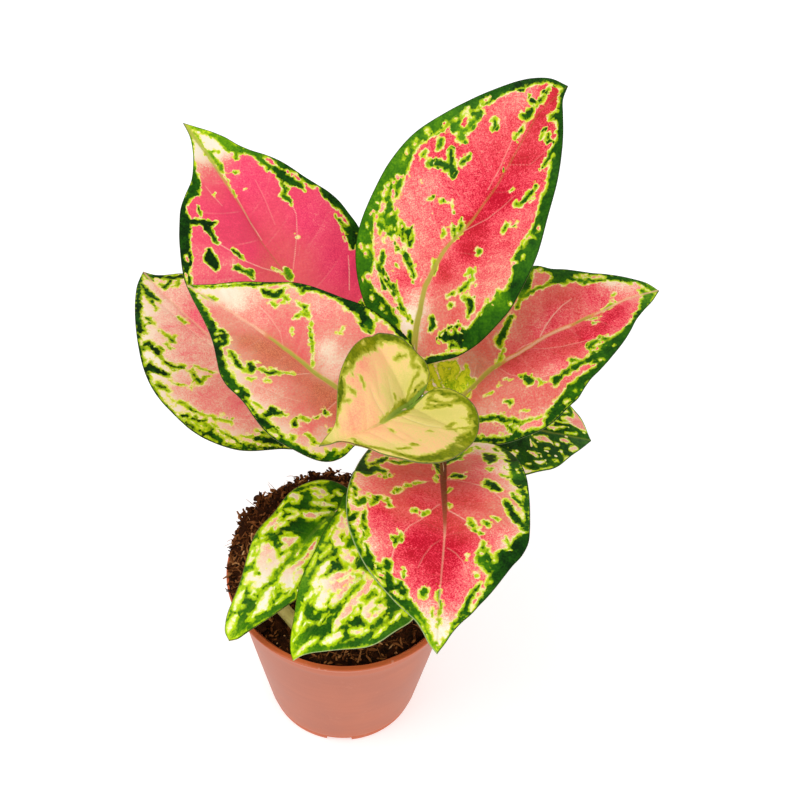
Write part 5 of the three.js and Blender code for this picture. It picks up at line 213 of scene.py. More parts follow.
     "G": [[[2.3,-16.58,0.5],[4.21,-17.41,0.83],[7,-18.18,1.13],[9.96,-18.49,1.47],[12.58,-18.13,1.67],[14.04,-16.94,1.52],[14.32,-16.26,0.97],[11.49,-15.28,1.13],[12.57,-14.34,0.93],[12.34,-13.45,0.93],[13.56,-13.18,0.55]],[[9.91,-16.24,0.51],[9.16,-15.15,0.65],[7.96,-14.3,1.05],[6.78,-13.67,0.74],[5.99,-12.79,0.41]],[[7.41,-12.51,0.2],[7.53,-11.38,0.53],[7.55,-10.02,0.73],[6.46,-8.46,0.74],[5.49,-7.34,0.68]],[[5.09,-11.68,0.27],[5.2,-10.54,0.14]],[[14.63,-15.8,0.09],[15.03,-14.01,0.12],[14.57,-12.25,0.3],[13.13,-11.64,0.06]],[[11.98,-19.5,0.44],[15.45,-19.97,0.42],[18.62,-20.23,0.57],[20.46,-20.12,0.73],[20.36,-19.47,0.84],[21.4,-19.19,0.61]],[[22.63,-20.42,0.38],[25.37,-20.69,0.42],[27.94,-20.74,0.57],[30.34,-20.37,0.65],[30.86,-19.7,1],[29.89,-19.11,0.71],[28.62,-18.76,0.46]],[[32.59,-19.59,0.79],[34.23,-19.06,0.92],[36.06,-18.31,0.71],[38.09,-17.55,0.75],[39.55,-16.83,0.78]],[[22.79,-19.11,0.55],[24.45,-18.79,0.8],[25.7,-18.29,0.69],[24.91,-17.47,0.96],[23.5,-17.11,0.38],[23.69,-16.23,0.11]],[[27.37,-16.68,0.31],[29.59,-16.99,0.61],[31.65,-16.87,0.6],[33.58,-16.34,0.34],[35.47,-16.01,0.17],[37.34,-15.91,0.24],[38.83,-15.4,0.51],[40.29,-14.89,1.01]],[[22.28,-16.09,0.16],[22.46,-15.21,0.33],[22.89,-13.88,0.55],[24.04,-14.48,0.75],[25.15,-15.07,0.53],[26.2,-15.45,0.16]],[[23.92,-12.31,0.38],[22.8,-11.92,0.38],[24.11,-11.65,0.54],[25.38,-11.37,0.64]],[[20.06,-10.93,0.34],[19.47,-10.08,0.63],[18.48,-9.23,0.29]],[[17.59,-8.81,0.12],[17,-8.17,0.41],[16.79,-7.51,0.18]],[[15.63,-6.43,-0.03],[14.83,-5.33,0.15],[13.91,-4,-0.03]],[[26.13,-6.56,0.26],[25.63,-5.92,0.53],[25.18,-5.5,0.27]],[[26.54,-4.59,0.16],[25.71,-3.96,0.53],[24.78,-3.11,0.27]],[[33,-8.68,0.25],[34.25,-9.27,0.53],[35.47,-9.85,0.62],[36.32,-10.03,0.33]],[[10.81,1.8,0.38],[10.56,2.68,0.88],[10.78,3.79,0.88],[10.95,4.67,0.44]],[[9.14,4.68,0.13],[9.26,5.35,0.03]],[[3.11,0.68,1.13],[2.26,1.58,1.07],[2.01,2.71,0.86],[0.61,4.08,0.66],[-1.64,4.8,0.3]],[[3.8,-1.62,0.84],[6.17,-1.14,0.68],[8.87,-0.67,0.39]],[[11.78,-2.01,0.03],[12.79,-1.32,0.12],[10.23,-1.57,0.1]],[[16.42,0.95,0.03],[15.38,1.6,0.09]],[[20.94,1.44,0.08],[22.33,1.45,0.03]],[[-0.31,5.23,0.15],[-1.93,6.17,0.52],[-4.3,6.67,0.3]],[[0.6,9.98,0.73],[3.51,10.36,1.33],[1.91,11.08,1.22],[4.15,11.24,1.11],[5.62,10.31,0.47]],[[8.12,10.47,0.52],[9.51,10.22,0.25],[8.05,9.81,0.13]],[[3.83,13.73,0.42],[4.94,14.59,0.89],[5.49,15.24,0.81]],[[1.58,13.58,0.11],[1.48,12.45,0.04]],[[11.09,12.85,0.16],[11.57,13.5,0.28]],[[13.79,9.49,0.6],[15.06,9.91,1.06],[15.54,10.78,1.06],[16.79,11.64,1.04],[17.6,12.28,0.57]],[[-6.59,11.8,0.53],[-4.57,13.12,0.76],[-2,14.4,0.97],[1.09,15.41,1.09],[4.47,15.95,1.52],[8.01,16.27,1.63],[10.79,16.4,1.69],[13.39,16.75,1.94],[15.84,17.12,1.76],[18.16,17.71,1.26],[20.72,18.07,0.94],[23.49,18.22,0.75],[26.43,18.15,0.73],[28.93,18.11,0.76],[31.02,17.86,0.9],[32.76,17.63,1.23],[34.45,17.19,1.93],[36.09,16.54,2.14],[37.68,15.49,2.11],[39.22,14.24,2.2],[40.97,13.21,2.17],[42.67,12.19,2.02],[44.09,11.58,1.69],[45.48,10.78,1.32],[46.61,9.97,1.05],[47.94,9.18,0.91],[49.02,8.38,0.73],[50.05,7.18,0.55],[51.06,5.99,0.59],[52.05,4.8,0.67],[53.01,3.61,0.62],[53.99,2.83,0.54],[55.19,2.27,0.33],[56.36,1.71,0.32],[57.49,0.94,0.48],[58.19,-0.04,0.6]],[[18.86,15.08,0.28],[20.33,15.7,0.5],[21.76,16.32,0.33],[22.8,16.94,0.43]],[[21.67,13.51,0.44],[23.07,14.14,0.81],[24.77,14.76,0.79],[26.4,15.16,1.04],[27.99,15.99,1.13],[28.92,16.83,1.02],[29.83,17.67,0.76]],[[33.81,13.41,0.02],[34.95,14.03,0.14],[32.98,13.83,0.02],[36.05,14.45,0.14]],[[26.94,5.78,0.21],[28.24,6.22,0.44],[29.21,6.65,0.33]],[[30.44,6.87,0.33],[31.1,7.51,0.15]],[[31.47,8.35,0.45],[31.82,8.99,0.2]],[[30.25,7.92,0.05]],[[27.89,8.76,0.26],[28.57,9.4,0.51],[29.53,10.04,0.35]],[[27.11,10.68,0.21],[27.49,11.53,0.31],[28.14,11.95,0.15]],[[34.39,9,0.24],[36.01,8.59,0.57],[37.6,8.4,1.03],[39.19,8.63,0.97],[40.52,9.27,1.05],[41.56,9.9,1]],[[36.61,9.44,0.57],[38.24,9.87,0.7],[39.56,10.29,0.88],[41.13,11.14,1.14]],[[37.09,13.2,0.94],[38.38,12.57,0.93]],[[43.12,7.44,0.2],[42.12,7.22,0.02]],[[45.99,7.5,0.57],[45.09,8.1,0.4]],[[46.64,6.9,0.52],[47.74,6.31,0.65],[49.05,5.73,0.77],[50.35,5.36,0.64],[51.6,4.58,0.67]],[[38.63,5.29,-0.05],[37.07,5.47,-0.02]],[[41.16,-15.68,1.23],[42.23,-14.57,1.26],[42.83,-13.7,1.12],[43.86,-12.59,1.11],[44.4,-11.52,1.24],[45.23,-10.85,1.28],[46.47,-9.95,1.35],[47.42,-8.86,1.47],[48.39,-7.97,1.46],[49.59,-7.29,1.11],[50.27,-6.21,1.06],[51.14,-5.13,0.93],[52,-4.05,0.71],[52.89,-3.18,0.63],[54.22,-2.49,0.41],[55.53,-1.81,0.33],[56.86,-1.34,0.41],[57.93,-0.67,0.61],[58.39,-0.03,0.6]],[[40.99,-11.49,0.64],[41.12,-10.85,0.64],[42.38,-11,1.04],[43.08,-12.22,0.9]],[[45.4,-9.17,0.48],[45.67,-8.11,0.57],[46.92,-7.42,0.74]],[[42.19,-7.43,0.23],[43.2,-7.59,0.38],[44.14,-7.55,0.2]],[[46.45,-3.04,0.66],[47.23,-3.43,0.83]],[[45.29,-0.13,0.07],[46.72,-0.29,0.39],[48.02,-0.03,0.24],[49.19,0.42,0.19],[50.75,0.48,0.17]],[[52.01,0.12,0.29],[53.06,-0.05,0.29]],[[50.3,-1.2,0.02],[51.85,-1.35,0.06]],[[57.04,-0.29,0.41],[57.61,0.14,0.4]],[[-2.83,11.91,0.3],[-0.92,12.53,0.45]],[[-0.79,14.12,0.3]],[[7.89,13.37,0.16],[8.88,14.01,0.26]],[[12.48,14.36,0.31]],[[2.77,9.02,0.21]],[[-2.75,8.24,0.3],[-4.73,7.6,0.15]],[[47.59,-11.14,0.74],[49.6,-8.53,0.81],[51.91,-5.72,0.67],[53.85,-3.76,0.46]]],
     "H": [[[24.08,-18.6,0.43],[24.68,-18.13,0.21]],[[43.93,-13.01,0.27],[44.34,-12.57,0.4],[44.7,-11.92,0.31]],[[47.57,-9.68,0.26],[48.13,-9.03,0.43],[48.87,-8.16,0.3]],[[45.82,-8.94,0.22],[45.01,-9.6,0.22]],[[9.43,16.22,0.32],[10.8,16.84,0.38]],[[24.15,16.7,0.32],[26.11,17.09,0.42],[27.69,17.49,0.26]],[[16.6,15.57,0.29],[17.38,16.2,0.4]],[[16.23,18.2,0.23],[18.15,18.36,0.17]],[[31.6,16.8,0.4],[31.9,17.64,0.25]],[[45.63,9.14,0.31],[46.99,8.55,0.41],[48.3,7.75,0.43],[49.59,6.97,0.43],[50.43,6.38,0.21]],[[37.07,8.4,0.33]],[[42.43,8.05,0.5],[43.44,8.48,0.49],[44.12,7.87,0.36]],[[44.51,10.35,0.16]],[[57.2,-0.08,0.26]]],
     "J": [[[4.94,14.59,0.41]]],
     "P": [[5.87,-15.75,0.42],[4.81,-13.97,0.45],[8.09,-16.55,0.3],[5.88,-10.98,0.45],[17.65,-15,0.56],[17.85,-12.56,0.62],[11.19,-9.68,0.66],[9.51,-6.34,0.7],[8.26,-3.41,0.68],[15.35,-10.67,0.55],[16.82,-16.58,0.46],[18.68,-18.25,0.3],[17.31,-19.2,0.3],[20.72,-17.26,0.42],[20.39,-15.53,0.5],[13.47,-7.38,0.62],[12.2,-4.03,0.66],[21,-13.31,0.52],[20.74,-9.37,0.6],[19.78,-4.99,0.76],[21.9,-7.13,0.76],[24.42,-8.8,0.72],[25.45,-10.28,0.74],[26.71,-13.05,0.86],[27.63,-14.51,0.9],[29.61,-15.27,0.7],[31.38,-13.47,0.76],[28.93,-11.65,0.82],[31.71,-10.67,0.76],[28.87,-8.63,0.76],[27.46,-6.74,0.64],[31.09,-7.9,0.62],[27.61,-4.99,0.55],[20.49,-2.76,0.74],[16.77,-1.94,0.72],[33.1,-15.08,0.5],[35.75,-14.3,0.42],[35.5,-12.83,0.6],[37.15,-14.65,0.3],[37.99,-13.33,0.42],[33.42,-12.08,0.72],[37.88,-11.23,0.56],[39.81,-13.45,0.45],[39.49,-11.57,0.6],[23.6,-19.93,0.04],[25.61,-20.02,0.05],[28.09,-19.44,0.42],[28.19,-17.93,0.3],[30.6,-17.79,0.22],[33.51,-17.83,0.15],[35.68,-17.49,0.2],[36.96,-16.99,0.12],[38.75,-16.67,0.02],[27.01,-18.43,0.2],[29.08,-3.65,0.9],[31.56,-5.08,0.95],[34.23,-6.7,0.92],[36.72,-8.1,0.88],[39.52,-9.03,0.8],[41.63,-9.56,0.72],[38.38,-6.11,0.92],[35.78,-4.08,1],[32.46,-2.03,1],[28.54,-0.83,0.95],[24.21,-1.36,0.9],[38.7,-3.12,1],[41,-2.19,0.98],[42.72,-4.24,0.84],[43.8,-5.88,0.72],[41.21,-7.47,0.72],[44.07,-8.39,0.55],[46.3,-6.61,0.55],[48.34,-5.47,0.5],[45.08,-4.15,0.75],[44.12,-2.08,0.85],[43.05,-0.63,0.95],[48.92,-2.94,0.45],[49.89,-4.36,0.35],[47.57,-1.94,0.6],[50.96,-2.22,0.3],[52.79,-1.73,0.12],[50.37,-0.57,0.3],[25.37,1.71,0.95],[28.02,2.39,0.9],[29.77,3.9,0.9],[32.06,5.62,0.88],[33.96,7.32,0.8],[35.27,6.49,0.8],[34.2,4.38,0.96],[33.92,2.28,1],[36.9,1.92,1],[40.01,1.58,1],[39.44,3.23,0.92],[36.9,4.01,0.92],[38.41,5.71,0.55],[40.7,5.33,0.42],[42.28,6.19,0.55],[40.56,6.57,0.5],[42.88,4.76,0.55],[44.24,3.76,0.75],[43.57,2.09,0.95],[46.62,1.77,0.9],[47.24,3.22,0.72],[46.24,4.84,0.55],[44.67,5.83,0.6],[43.51,6.21,0.55],[48.48,4.28,0.5],[49.69,2.89,0.5],[50,1.67,0.6],[51.61,2.34,0.3],[50.65,3.74,0.4],[53.26,1.79,0.12],[54.54,0.01,0],[55.46,0.86,0],[53.45,-0.86,0.03],[7.12,2.02,0.66],[6.55,3.81,0.6],[1.9,7.23,0.62],[4.44,6.07,0.5],[5.79,7.84,0.62],[8.86,8.68,0.55],[9.84,6.01,0.62],[10.5,7.33,0.6],[-3.17,9.4,0.3],[-5.18,8.53,0.12],[-4.27,10.35,0.2],[-2.18,8,0.35],[-0.99,11.85,0.12],[6.87,12.73,0.35],[9.2,11.78,0.38],[8.87,13.79,0.1],[1.65,14.71,0.02],[7.94,14.26,0.06],[12.34,11.94,0.45],[12.15,9.96,0.5],[13.71,13.67,0.45],[13.35,14.77,0.2],[16.19,14.92,0.2],[17.36,15.33,0.05],[16.53,13.82,0.42],[18.8,13.56,0.45],[20.29,14.4,0.4],[22.43,15.44,0.38],[24.81,16.69,0.1],[27.07,17.29,0.05],[13.28,3.35,0.8],[13.89,2.25,0.8],[15.19,4.88,0.72],[15.52,7.07,0.62],[17.15,2.7,0.66],[18.91,4.23,0.72],[20.26,5.97,0.84],[22.81,6.83,0.94],[22.59,5.11,0.86],[20.58,3.38,0.76],[22.96,8.12,0.8],[19.91,9,0.55],[20.75,10.29,0.5],[21.88,11.36,0.52],[24.76,9.4,0.66],[24.21,10.69,0.58],[23.63,11.98,0.5],[24.14,4.26,0.6],[25.47,6.84,0.45],[26.33,5.99,0.6],[27.2,8.12,0.5],[29.02,7.71,0.45],[26.73,9.83,0.55],[26.91,12.38,0.5],[29.92,11.31,0.52],[29.11,13.01,0.5],[30.08,14.48,0.55],[31.58,15.32,0.5],[31.52,13.42,0.52],[32.31,11.94,0.52],[32.21,10.25,0.6],[34.25,11.1,0.62],[34.74,10.05,0.6],[36.48,11.73,0.45],[38.83,11.12,0.45],[33.8,13.2,0.05],[35.22,14.03,0.04],[35.72,12.78,0.3],[30.71,15.75,0.3],[3.7,12.15,0.25],[10.69,13.52,0.25],[-1.26,9.81,0.2]],
     "K": [[10.83,-18.22,0.97],[13.48,-16.3,0.97],[7.96,-14.3,0.9],[12.34,-13.45,0.6],[7.47,-9.79,0.35],[14.57,-12.25,0.25],[20.43,-19.9,0.7],[25.4,-18.52,0.55],[30.86,-19.7,0.9],[27.32,-20.78,0.6],[35.03,-18.8,0.7],[30.45,-16.73,0.8],[35.47,-16.01,0.3],[41.16,-15.68,0.75],[42.83,-13.7,0.85],[41.93,-11.23,0.75],[46.31,-10.37,0.9],[49.23,-7.72,0.92],[51.32,-4.92,0.5],[53.06,-2.96,0.35],[56.82,-1.13,0.2],[57.8,-0.05,0.05],[55.95,1.69,0.3],[52.8,3.6,0.65],[52.05,4.8,0.7],[48.85,5.93,0.92],[45.99,7.5,0.6],[47.72,9.38,0.7],[43.38,11.78,0.88],[40.22,13.62,0.97],[35.55,16.55,1],[30.73,17.86,0.85],[24.49,18.19,0.7],[26.08,15.38,1],[22.72,13.93,0.9],[20.7,15.91,0.6],[15.44,16.91,0.85],[8.01,16.49,0.85],[4.96,15.04,0.95],[2.99,10.6,0.97],[8.6,10.46,0.35],[11.12,13.29,0.2],[15.94,10.78,0.9],[17.58,12.06,1],[10.6,2.9,0.9],[2.63,0.9,0.65],[4.62,-1.15,0.9],[28.89,9.61,0.5],[28.57,6.43,0.4],[30.46,7.08,0.4],[31.49,8.56,0.35],[27.47,11.32,0.4],[24.04,-14.48,0.85],[25.84,-15.25,0.35],[23.14,-11.9,0.5],[25.38,-11.37,0.75],[19.47,-10.08,0.5],[17,-8.17,0.2],[25.71,-3.96,0.6],[26.01,-6.13,0.45],[34.57,-9.47,0.85],[43.2,-7.59,0.35],[46.96,-3.23,0.6],[47.57,-0.05,0.4],[50.31,0.46,0.2],[52.63,-0.06,0.25],[36.82,8.6,0.55],[39.72,8.84,0.45],[38.77,10.08,0.8],[42.88,7.44,0.15],[-1.93,6.17,0.02],[49.6,-8.53,0.62],[51.91,-5.72,0.58]],
     "B": [[9.84,-9.72,0.55],[9.05,-5.22,0.5],[16.23,-13.96,0.35],[19.22,-10.53,0.55],[18.64,-16.05,0.15],[7.28,2.69,0.8],[5.77,4.93,0.5],[3.02,7.21,0.3],[8.32,8.25,0.1],[16.72,-2.83,0.3],[13.98,2.69,0.35],[17.31,5.97,0.3],[19.93,9.21,0.25],[1.32,7.25,0.3],[22.49,10.27,0.5],[26.84,11.32,0.5],[27.09,7.06,0.35],[21.23,-4.95,0.1],[25.84,-9.18,0.35],[29.87,-13.33,0],[33.98,-5.64,0],[35.28,-0.23,0],[38.23,4.04,0],[33.48,12.36,0.05],[47.82,2.22,0],[48.48,-4,0],[30.57,-17.58,0],[8.8,12.68,0.05],[-3.17,9.4,0.05],[6.31,-15.5,0.4],[7.4,-7.07,0.55]],
     "V": [[[21.13,-0.53,0.9],[23.83,-2.25,1],[27.8,-4.55,1],[30.25,-6.85,0.9],[33.24,-8.46,1],[36.24,-9.61,1],[38.45,-10.14,0.9],[40.8,-10.45,0.8],[43.2,-10.12,0.6]],[[12.16,-0.87,0.5],[13.82,-3.78,0.5],[17.11,-7.28,0.5],[19.89,-10.28,0.4],[23.34,-12.77,0.4]],[[11.43,0.7,0.7],[12.44,3.35,0.7],[13.74,5.98,0.6],[15.26,8.16,0.8],[17.06,10.32,0.8],[20.19,12.45,0.8],[23.72,13.48,0.6]],[[23.35,1.47,1],[25.33,3.42,1],[27.17,5.14,0.9],[29.49,6.44,0.7],[31.7,7.72,0.9],[34.09,8.79,0.9],[36.91,9.86,0.6]],[[32.46,-0.09,0.2],[34.68,-1.97,0.3],[37.78,-3.58,0.3],[41.11,-4.73,0.3]],[[34.61,1.24,0.3],[36.53,3.17,0.3],[38.83,4.67,0.4],[41.97,5.56,0.3]]],
     # the dark reddish-brown midrib at the base is midrib colour and painted shadow from leaf 05
     "R": [[0,0.5,0.8,0.95],[0.1,0.52,0.7,0.95],[0.25,0.55,0.55,0.9],[0.33,0.6,0.32,0.8],[0.42,0.74,0.16,0.6],[0.6,0.76,0.12,0.5],[0.75,0.7,0.12,0.5],[0.85,0.2,0.15,0.3],[1,0.1,0.2,0.2]],
     "hw": 1.05,
     "specks": 0.8,
     "edge_highlight": [0, 0.9],
     "pshift": 0.05,
     "vein_show": 0.15,
    },
    {"id": "09", "base": [2.647, 9.051, 70.0], "along": [-0.59714, -0.76931, -0.22712], "side": [0.78996, -0.61316, 0.0], "up": [-0.13926, -0.17942, 0.97387],
     "length": 48.433, "arch": 4, "fold": [0.25, 0.25], "cup": 0.35, "half": 12, "lobe": 0,
     "midrib": [[0,0],[6.5,-0.81],[12.97,-1],[19.32,-0.61],[25.44,-0.51],[31.39,-0.29],[37.2,-0.14],[42.87,-0.06],[48.43,0]],
     "left": [[0,0],[1.57,2.73],[3.36,5.2],[5.49,7.21],[7.8,8.74],[10.17,9.8],[12.53,10.48],[14.85,10.85],[17.12,10.98],[19.35,10.94],[21.53,10.79],[23.68,10.58],[25.78,10.25],[27.83,9.76],[29.82,9.12],[31.77,8.38],[33.7,7.59],[35.61,6.8],[37.54,6.04],[39.46,5.27],[41.34,4.41],[43.2,3.49],[45.07,2.59],[46.93,1.68],[48.43,0]],
     "right": [[0,0],[0.08,-2.49],[0.42,-4.95],[1.24,-7.26],[2.68,-9.23],[4.61,-10.76],[6.96,-11.75],[9.56,-12.19],[12.25,-12.17],[14.95,-11.84],[17.6,-11.54],[20.2,-11.48],[22.76,-11.37],[25.29,-10.91],[27.72,-10.12],[30.07,-9.17],[32.33,-8.11],[34.53,-7.01],[36.76,-6.1],[39.03,-5.42],[41.31,-4.88],[43.54,-4.26],[45.62,-3.31],[47.46,-2],[48.43,0]],
     "G": [[[6.49,-2.62,6.75],[10.97,-3.17,7.7],[16.22,-2.74,8.57],[22.27,-1.67,8.86],[27.92,-1.3,8.23],[33.09,-1.07,7.17],[38.98,-0.95,5.18],[44.61,-0.81,2.8],[47.74,-0.54,1.16]],[[2.07,-2.32,5.28],[3.54,0.61,5.92]],[[3.75,-8.53,0.7],[7.65,-10.89,0.81],[12.06,-11.83,0.9],[16.15,-11.74,0.89],[20.55,-11.41,0.88],[23.84,-10.79,0.81],[26.78,-9.86,0.7],[29.85,-8.82,0.55],[32.73,-7.65,0.49],[35.76,-6.39,0.48],[39.24,-5.11,0.57]],[[45.48,1.95,0.61],[42.56,4.21,0.76],[40,5.7,0.81],[36.44,7.29,0.76],[33.38,7.93,0.61]],[[45.54,1.31,0.62],[42.94,2.49,0.92],[40.01,3.68,1.28],[37.24,4.97,1.48],[34.76,6.15,1.53],[31.54,6.98,1.38]]],
     "H": [[[6.55,-9.28,0.32],[5.71,-8.4,0.59],[5.31,-7.15,0.8],[5.35,-5.51,0.79],[6.8,-6.16,0.68],[7.15,-7.78,0.42]],[[8.93,-5.89,0.57],[8.14,-4.67,0.78],[7.17,-3.29,0.57],[6.36,-2.1,0.36]],[[5.88,-4.41,0.26],[4.54,-4.3,0.37]],[[3.02,-4.04,0.37],[2.94,-3.15,0.48]],[[11.74,-11.46,0.27],[10.87,-10.93,0.69],[10.44,-10.02,0.74],[11.84,-9.42,0.32],[12.49,-10.14,0.21]],[[14.14,-11.58,0.32],[15.31,-11.19,0.37]],[[15.15,-9.71,0.16],[14.56,-8.62,0.36],[13.96,-7.55,0.67],[13.89,-6.65,0.41],[15.49,-7.16,0.72],[16.86,-7.88,0.41]],[[16.57,-10.07,0.42],[17.87,-9.89,0.67],[19.52,-9.73,0.92],[20.95,-9.77,0.82],[22.37,-9.81,0.66],[23.63,-9.68,0.41]],[[18,-7.53,0.66],[19.19,-8.08,0.76],[20.78,-8.3,0.61],[17.61,-9.15,0.26]],[[12.87,-5.95,0.26],[13.17,-5.06,0.72],[12.51,-4.37,1.13],[11.68,-3.51,0.92],[10.63,-2.83,0.62],[9.2,-2.18,0.56],[8.19,-1.16,0.36]],[[13.04,-0.41,0.2],[11.55,-0.42,0.28]],[[20.06,-5.42,0.15],[19.07,-4.69,0.15]],[[24.78,-9.01,0.25],[23.97,-8.43,0.15]],[[26.8,-8.23,0.4],[28.37,-8.16,0.84],[30.13,-7.94,0.79],[31.72,-7.55,0.49]],[[25.54,-7.07,1.15],[26.55,-5.89,1.73],[28.51,-5.5,1.67],[29.99,-4.57,1.8],[30.85,-2.91,1.69],[32.66,-3.6,1.79],[34.05,-4.96,1.4],[35.57,-4.97,0.77]],[[26.13,-4.99,1.33],[26.86,-3.12,1.47],[28.65,-2.56,1.7],[31.07,-2.42,1.54],[33.77,-2.68,1.34],[35.6,-3.06,0.72],[35.73,-1.71,0.24]],[[21.57,-4.77,0.75],[21.18,-3.53,1.09],[19.99,-2.97,0.85],[18.95,-2.6,0.4],[22.47,-3.06,0.84],[23.84,-3.46,0.44]],[[23.17,-1.54,0.39],[24.53,-1.95,0.54],[26.12,-1.86,0.78],[27.88,-1.64,0.58]],[[20.05,-0.73,0.26],[22.76,0.39,0.33]],[[16.1,1.07,0.28],[17.71,1.88,0.6],[19.8,2.44,0.93],[21.64,2.78,1.03],[23.38,2.68,1.13],[24.89,2.36,1.34],[26.52,1.8,1.71],[28.5,2.23,1.96],[29.54,4.19,1.57],[31.07,4.22,1.04],[30.38,2.23,1.16],[25.75,4.15,1.06],[27.93,4.77,1.05],[30.08,5.35,0.52]],[[37.3,-4.49,0.48],[38.84,-4.18,0.72],[40.54,-3.74,0.71],[41.91,-3.26,0.47]],[[33.48,0.57,1.06],[35.26,1.15,1.47],[37.23,1.89,1.4],[38.91,2.02,0.83],[36.78,3.2,0.93]],[[39.81,1.44,0.41],[40.97,1.43,0.57],[41.93,1.24,0.36]],[[43.19,-1.93,0.47],[44.34,-1.95,0.84],[45.84,-1.71,0.75],[47.01,-1.41,0.37]],[[32.93,5.2,0.31],[34.24,5.01,0.36],[35.35,4.65,0.21]],[[31.87,5.94,0.31],[30.81,5.67,0.21],[29.82,5.78,0.26]],[[31.9,1.21,0.21],[33.36,1.85,0.31],[34.23,2.97,0.21]],[[32.12,2.43,0.1],[31.16,0.88,0.16]],[[36.97,-1.01,0.14],[37.2,-2.07,0.19],[36.03,-2.09,0.14]],[[40.35,-2.34,0.14]],[[26.93,-10.05,0.18],[25.93,-9.62,0.23]]],
     "J": [[[11.76,-7.24,0.89],[10.58,-7.64,0.68],[9.33,-7.14,0.26],[8.07,-6.65,0.26]],[[24.11,-2.61,0.34],[24.97,-2.83,0.39],[25.66,-2.87,0.2]],[[32.4,-4.44,0.39],[31.95,-3.88,0.44]],[[36.6,-4.75,0.34],[37.45,-4.68,0.34]],[[8.57,0.55,0.98],[10.93,-0.66,0.74],[13.46,-1.04,0.97],[15.64,-1.36,1.01],[17.63,-1.54,0.85],[19.62,-1.4,0.64],[21.28,-0.95,0.49],[22.73,-0.66,0.42],[23.98,-0.55,0.27]],[[14.78,-2.4,0.76],[16.21,-4.31,0.86],[18.11,-5.21,0.76],[19.42,-6.29,0.61],[20.56,-7.22,0.4]],[[26.19,-1.18,0.07],[28.82,-0.86,0.53],[30.56,-0.67,0.48],[31.95,-0.45,0.38],[33.67,-0.29,0.17],[36.04,-0.22,0.12]],[[31.05,2.15,0.18],[32.2,3.87,0.36]],[[31.16,-6.43,0.44],[32.33,-6.72,0.68],[32.96,-7.14,0.49]],[[23.2,-7.49,0.8],[24.41,-7.73,0.5],[22.03,-6.91,0.4]],[[14.98,-5.38,0.77],[16.08,-5.37,0.51]],[[17.7,-8.43,0.21],[15.46,-8.79,0.21]],[[29.45,-7.88,0.2],[27.64,-8.46,0.15]],[[31.28,-0.39,0.15],[33.27,-0.92,0.14]]],
     "P": [[19.77,-9.19,0.5],[18.83,-8.08,0.4],[18,-7.53,0.25],[22.07,-9.44,0.25],[18.08,-9.71,0.3],[14.17,-7.36,0.28],[15.65,-7.34,0.2],[12.3,-4.55,0.44],[11.89,-3.33,0.38],[10.3,-2.49,0.4],[8.53,-1.5,0.35],[22.16,-4.26,0.42],[20.82,-3.52,0.4],[19.27,-2.95,0.3],[22.83,-3.07,0.38],[25.82,-6.2,0.36],[26.52,-4.66,0.3],[27.93,-5.99,0.24],[28.57,-7.99,0.32],[30.32,-7.78,0.28],[31.91,-7.39,0.05],[29.61,-4.89,0.12],[28.01,-3.72,0.14],[26.7,-2.93,0.05],[32.1,-4.07,0.01],[30.51,-2.88,0.05],[34.42,-4.66,0],[34.63,-2.61,0],[16.91,1.48,0.45],[19.22,2.26,0.56],[21.07,2.6,0.6],[22.69,2.72,0.45],[24.28,2.82,0.32],[25.71,2.08,0.3],[27.07,1.96,0.22],[28.71,2.42,0.1],[30.21,4.11,0.01],[27.31,4.21,0.14],[30.05,2.27,0.02],[35.46,1.33,0],[37.43,2.06,0],[39.85,-3.98,0],[44.67,-2.01,0],[40.97,1.43,0],[34.04,4.84,0.02],[5.82,-7.66,0.03],[6.02,-6.2,0.04],[8.18,-4.32,0.06],[10.93,-10.56,0.04],[3.12,-3.32,0.2],[14.73,-11.38,0]],
     "K": [[2.85,-8.04,0.75],[0.69,-3.84,0.75],[7.92,-11.63,0.7],[12.32,-12.57,0.6],[17.67,-12.68,0.6],[22.59,-12.22,0.55],[26.79,-11.14,0.5],[30.83,-9.27,0.5],[34.97,-7.36,0.5],[39.54,-5.5,0.45],[43.86,-3.58,0.4],[46.8,-1.88,0.3],[47.59,-0.34,0.1],[45.98,1,0.2],[19.42,-6.29,0.97],[16.49,-5.02,0.97],[15.6,-3.26,0.8],[23.4,-7.32,0.85],[11.55,-7.43,0.95],[8.78,-6.98,0.55],[3.75,-7.24,0.7],[38.52,-2.25,0.75],[39.16,-0.81,0.7],[41.27,-1.28,0.6],[43.14,-0.73,0.55],[41.54,2.98,0.5],[37.69,4.69,0.5],[34.96,6.32,0.5],[32.27,7.28,0.55],[29.01,7.07,0.45],[25.56,5.99,0.4],[14.9,-1.36,0.45],[13.17,-0.62,0.35],[10.14,-0.03,0.6],[6.55,-0.67,0.75],[19.55,-0.53,0.25],[21.48,-0.78,0.2],[28.98,-1.04,0.25],[32.45,2.39,0.4],[32.66,3.6,0.5],[39.18,3.62,0.35],[32.18,-6.53,0.4],[23.53,-9.13,0.45],[43.89,3.32,0.6],[40,5.7,0.66],[35.14,7.48,0.66],[42.94,2.49,0.5],[40.01,3.68,0.55],[37.24,4.97,0.55],[34.44,6.19,0.6],[31.54,6.98,0.6]],
     "B": [[6.04,-7.47,0.55],[7.76,-4.69,0.75],[8.66,-2.02,0.6],[10.76,-10.38,0.4],[6.62,-3.14,0.6],[3.12,-3.32,0.1],[12.3,-4.55,0.1],[19.77,-9.19,0],[26.01,-6.04,0],[21.02,-3.35,0],[29.34,-4.17,0],[28.58,2.64,0],[21.56,2.37,0.1],[35.46,1.33,0],[44.67,-2.01,0],[14.93,-8.62,0.1],[34.42,-4.66,0]],
     "V": [[[16.54,-1.53,0.3],[18.19,-4.5,0.3],[20.29,-6.5,0.3],[23.35,-7.68,0.3]],[[20.21,-0.91,0.3],[23.1,-2.22,0.3],[26.7,-2.93,0.3],[31.12,-3.63,0.3]]],
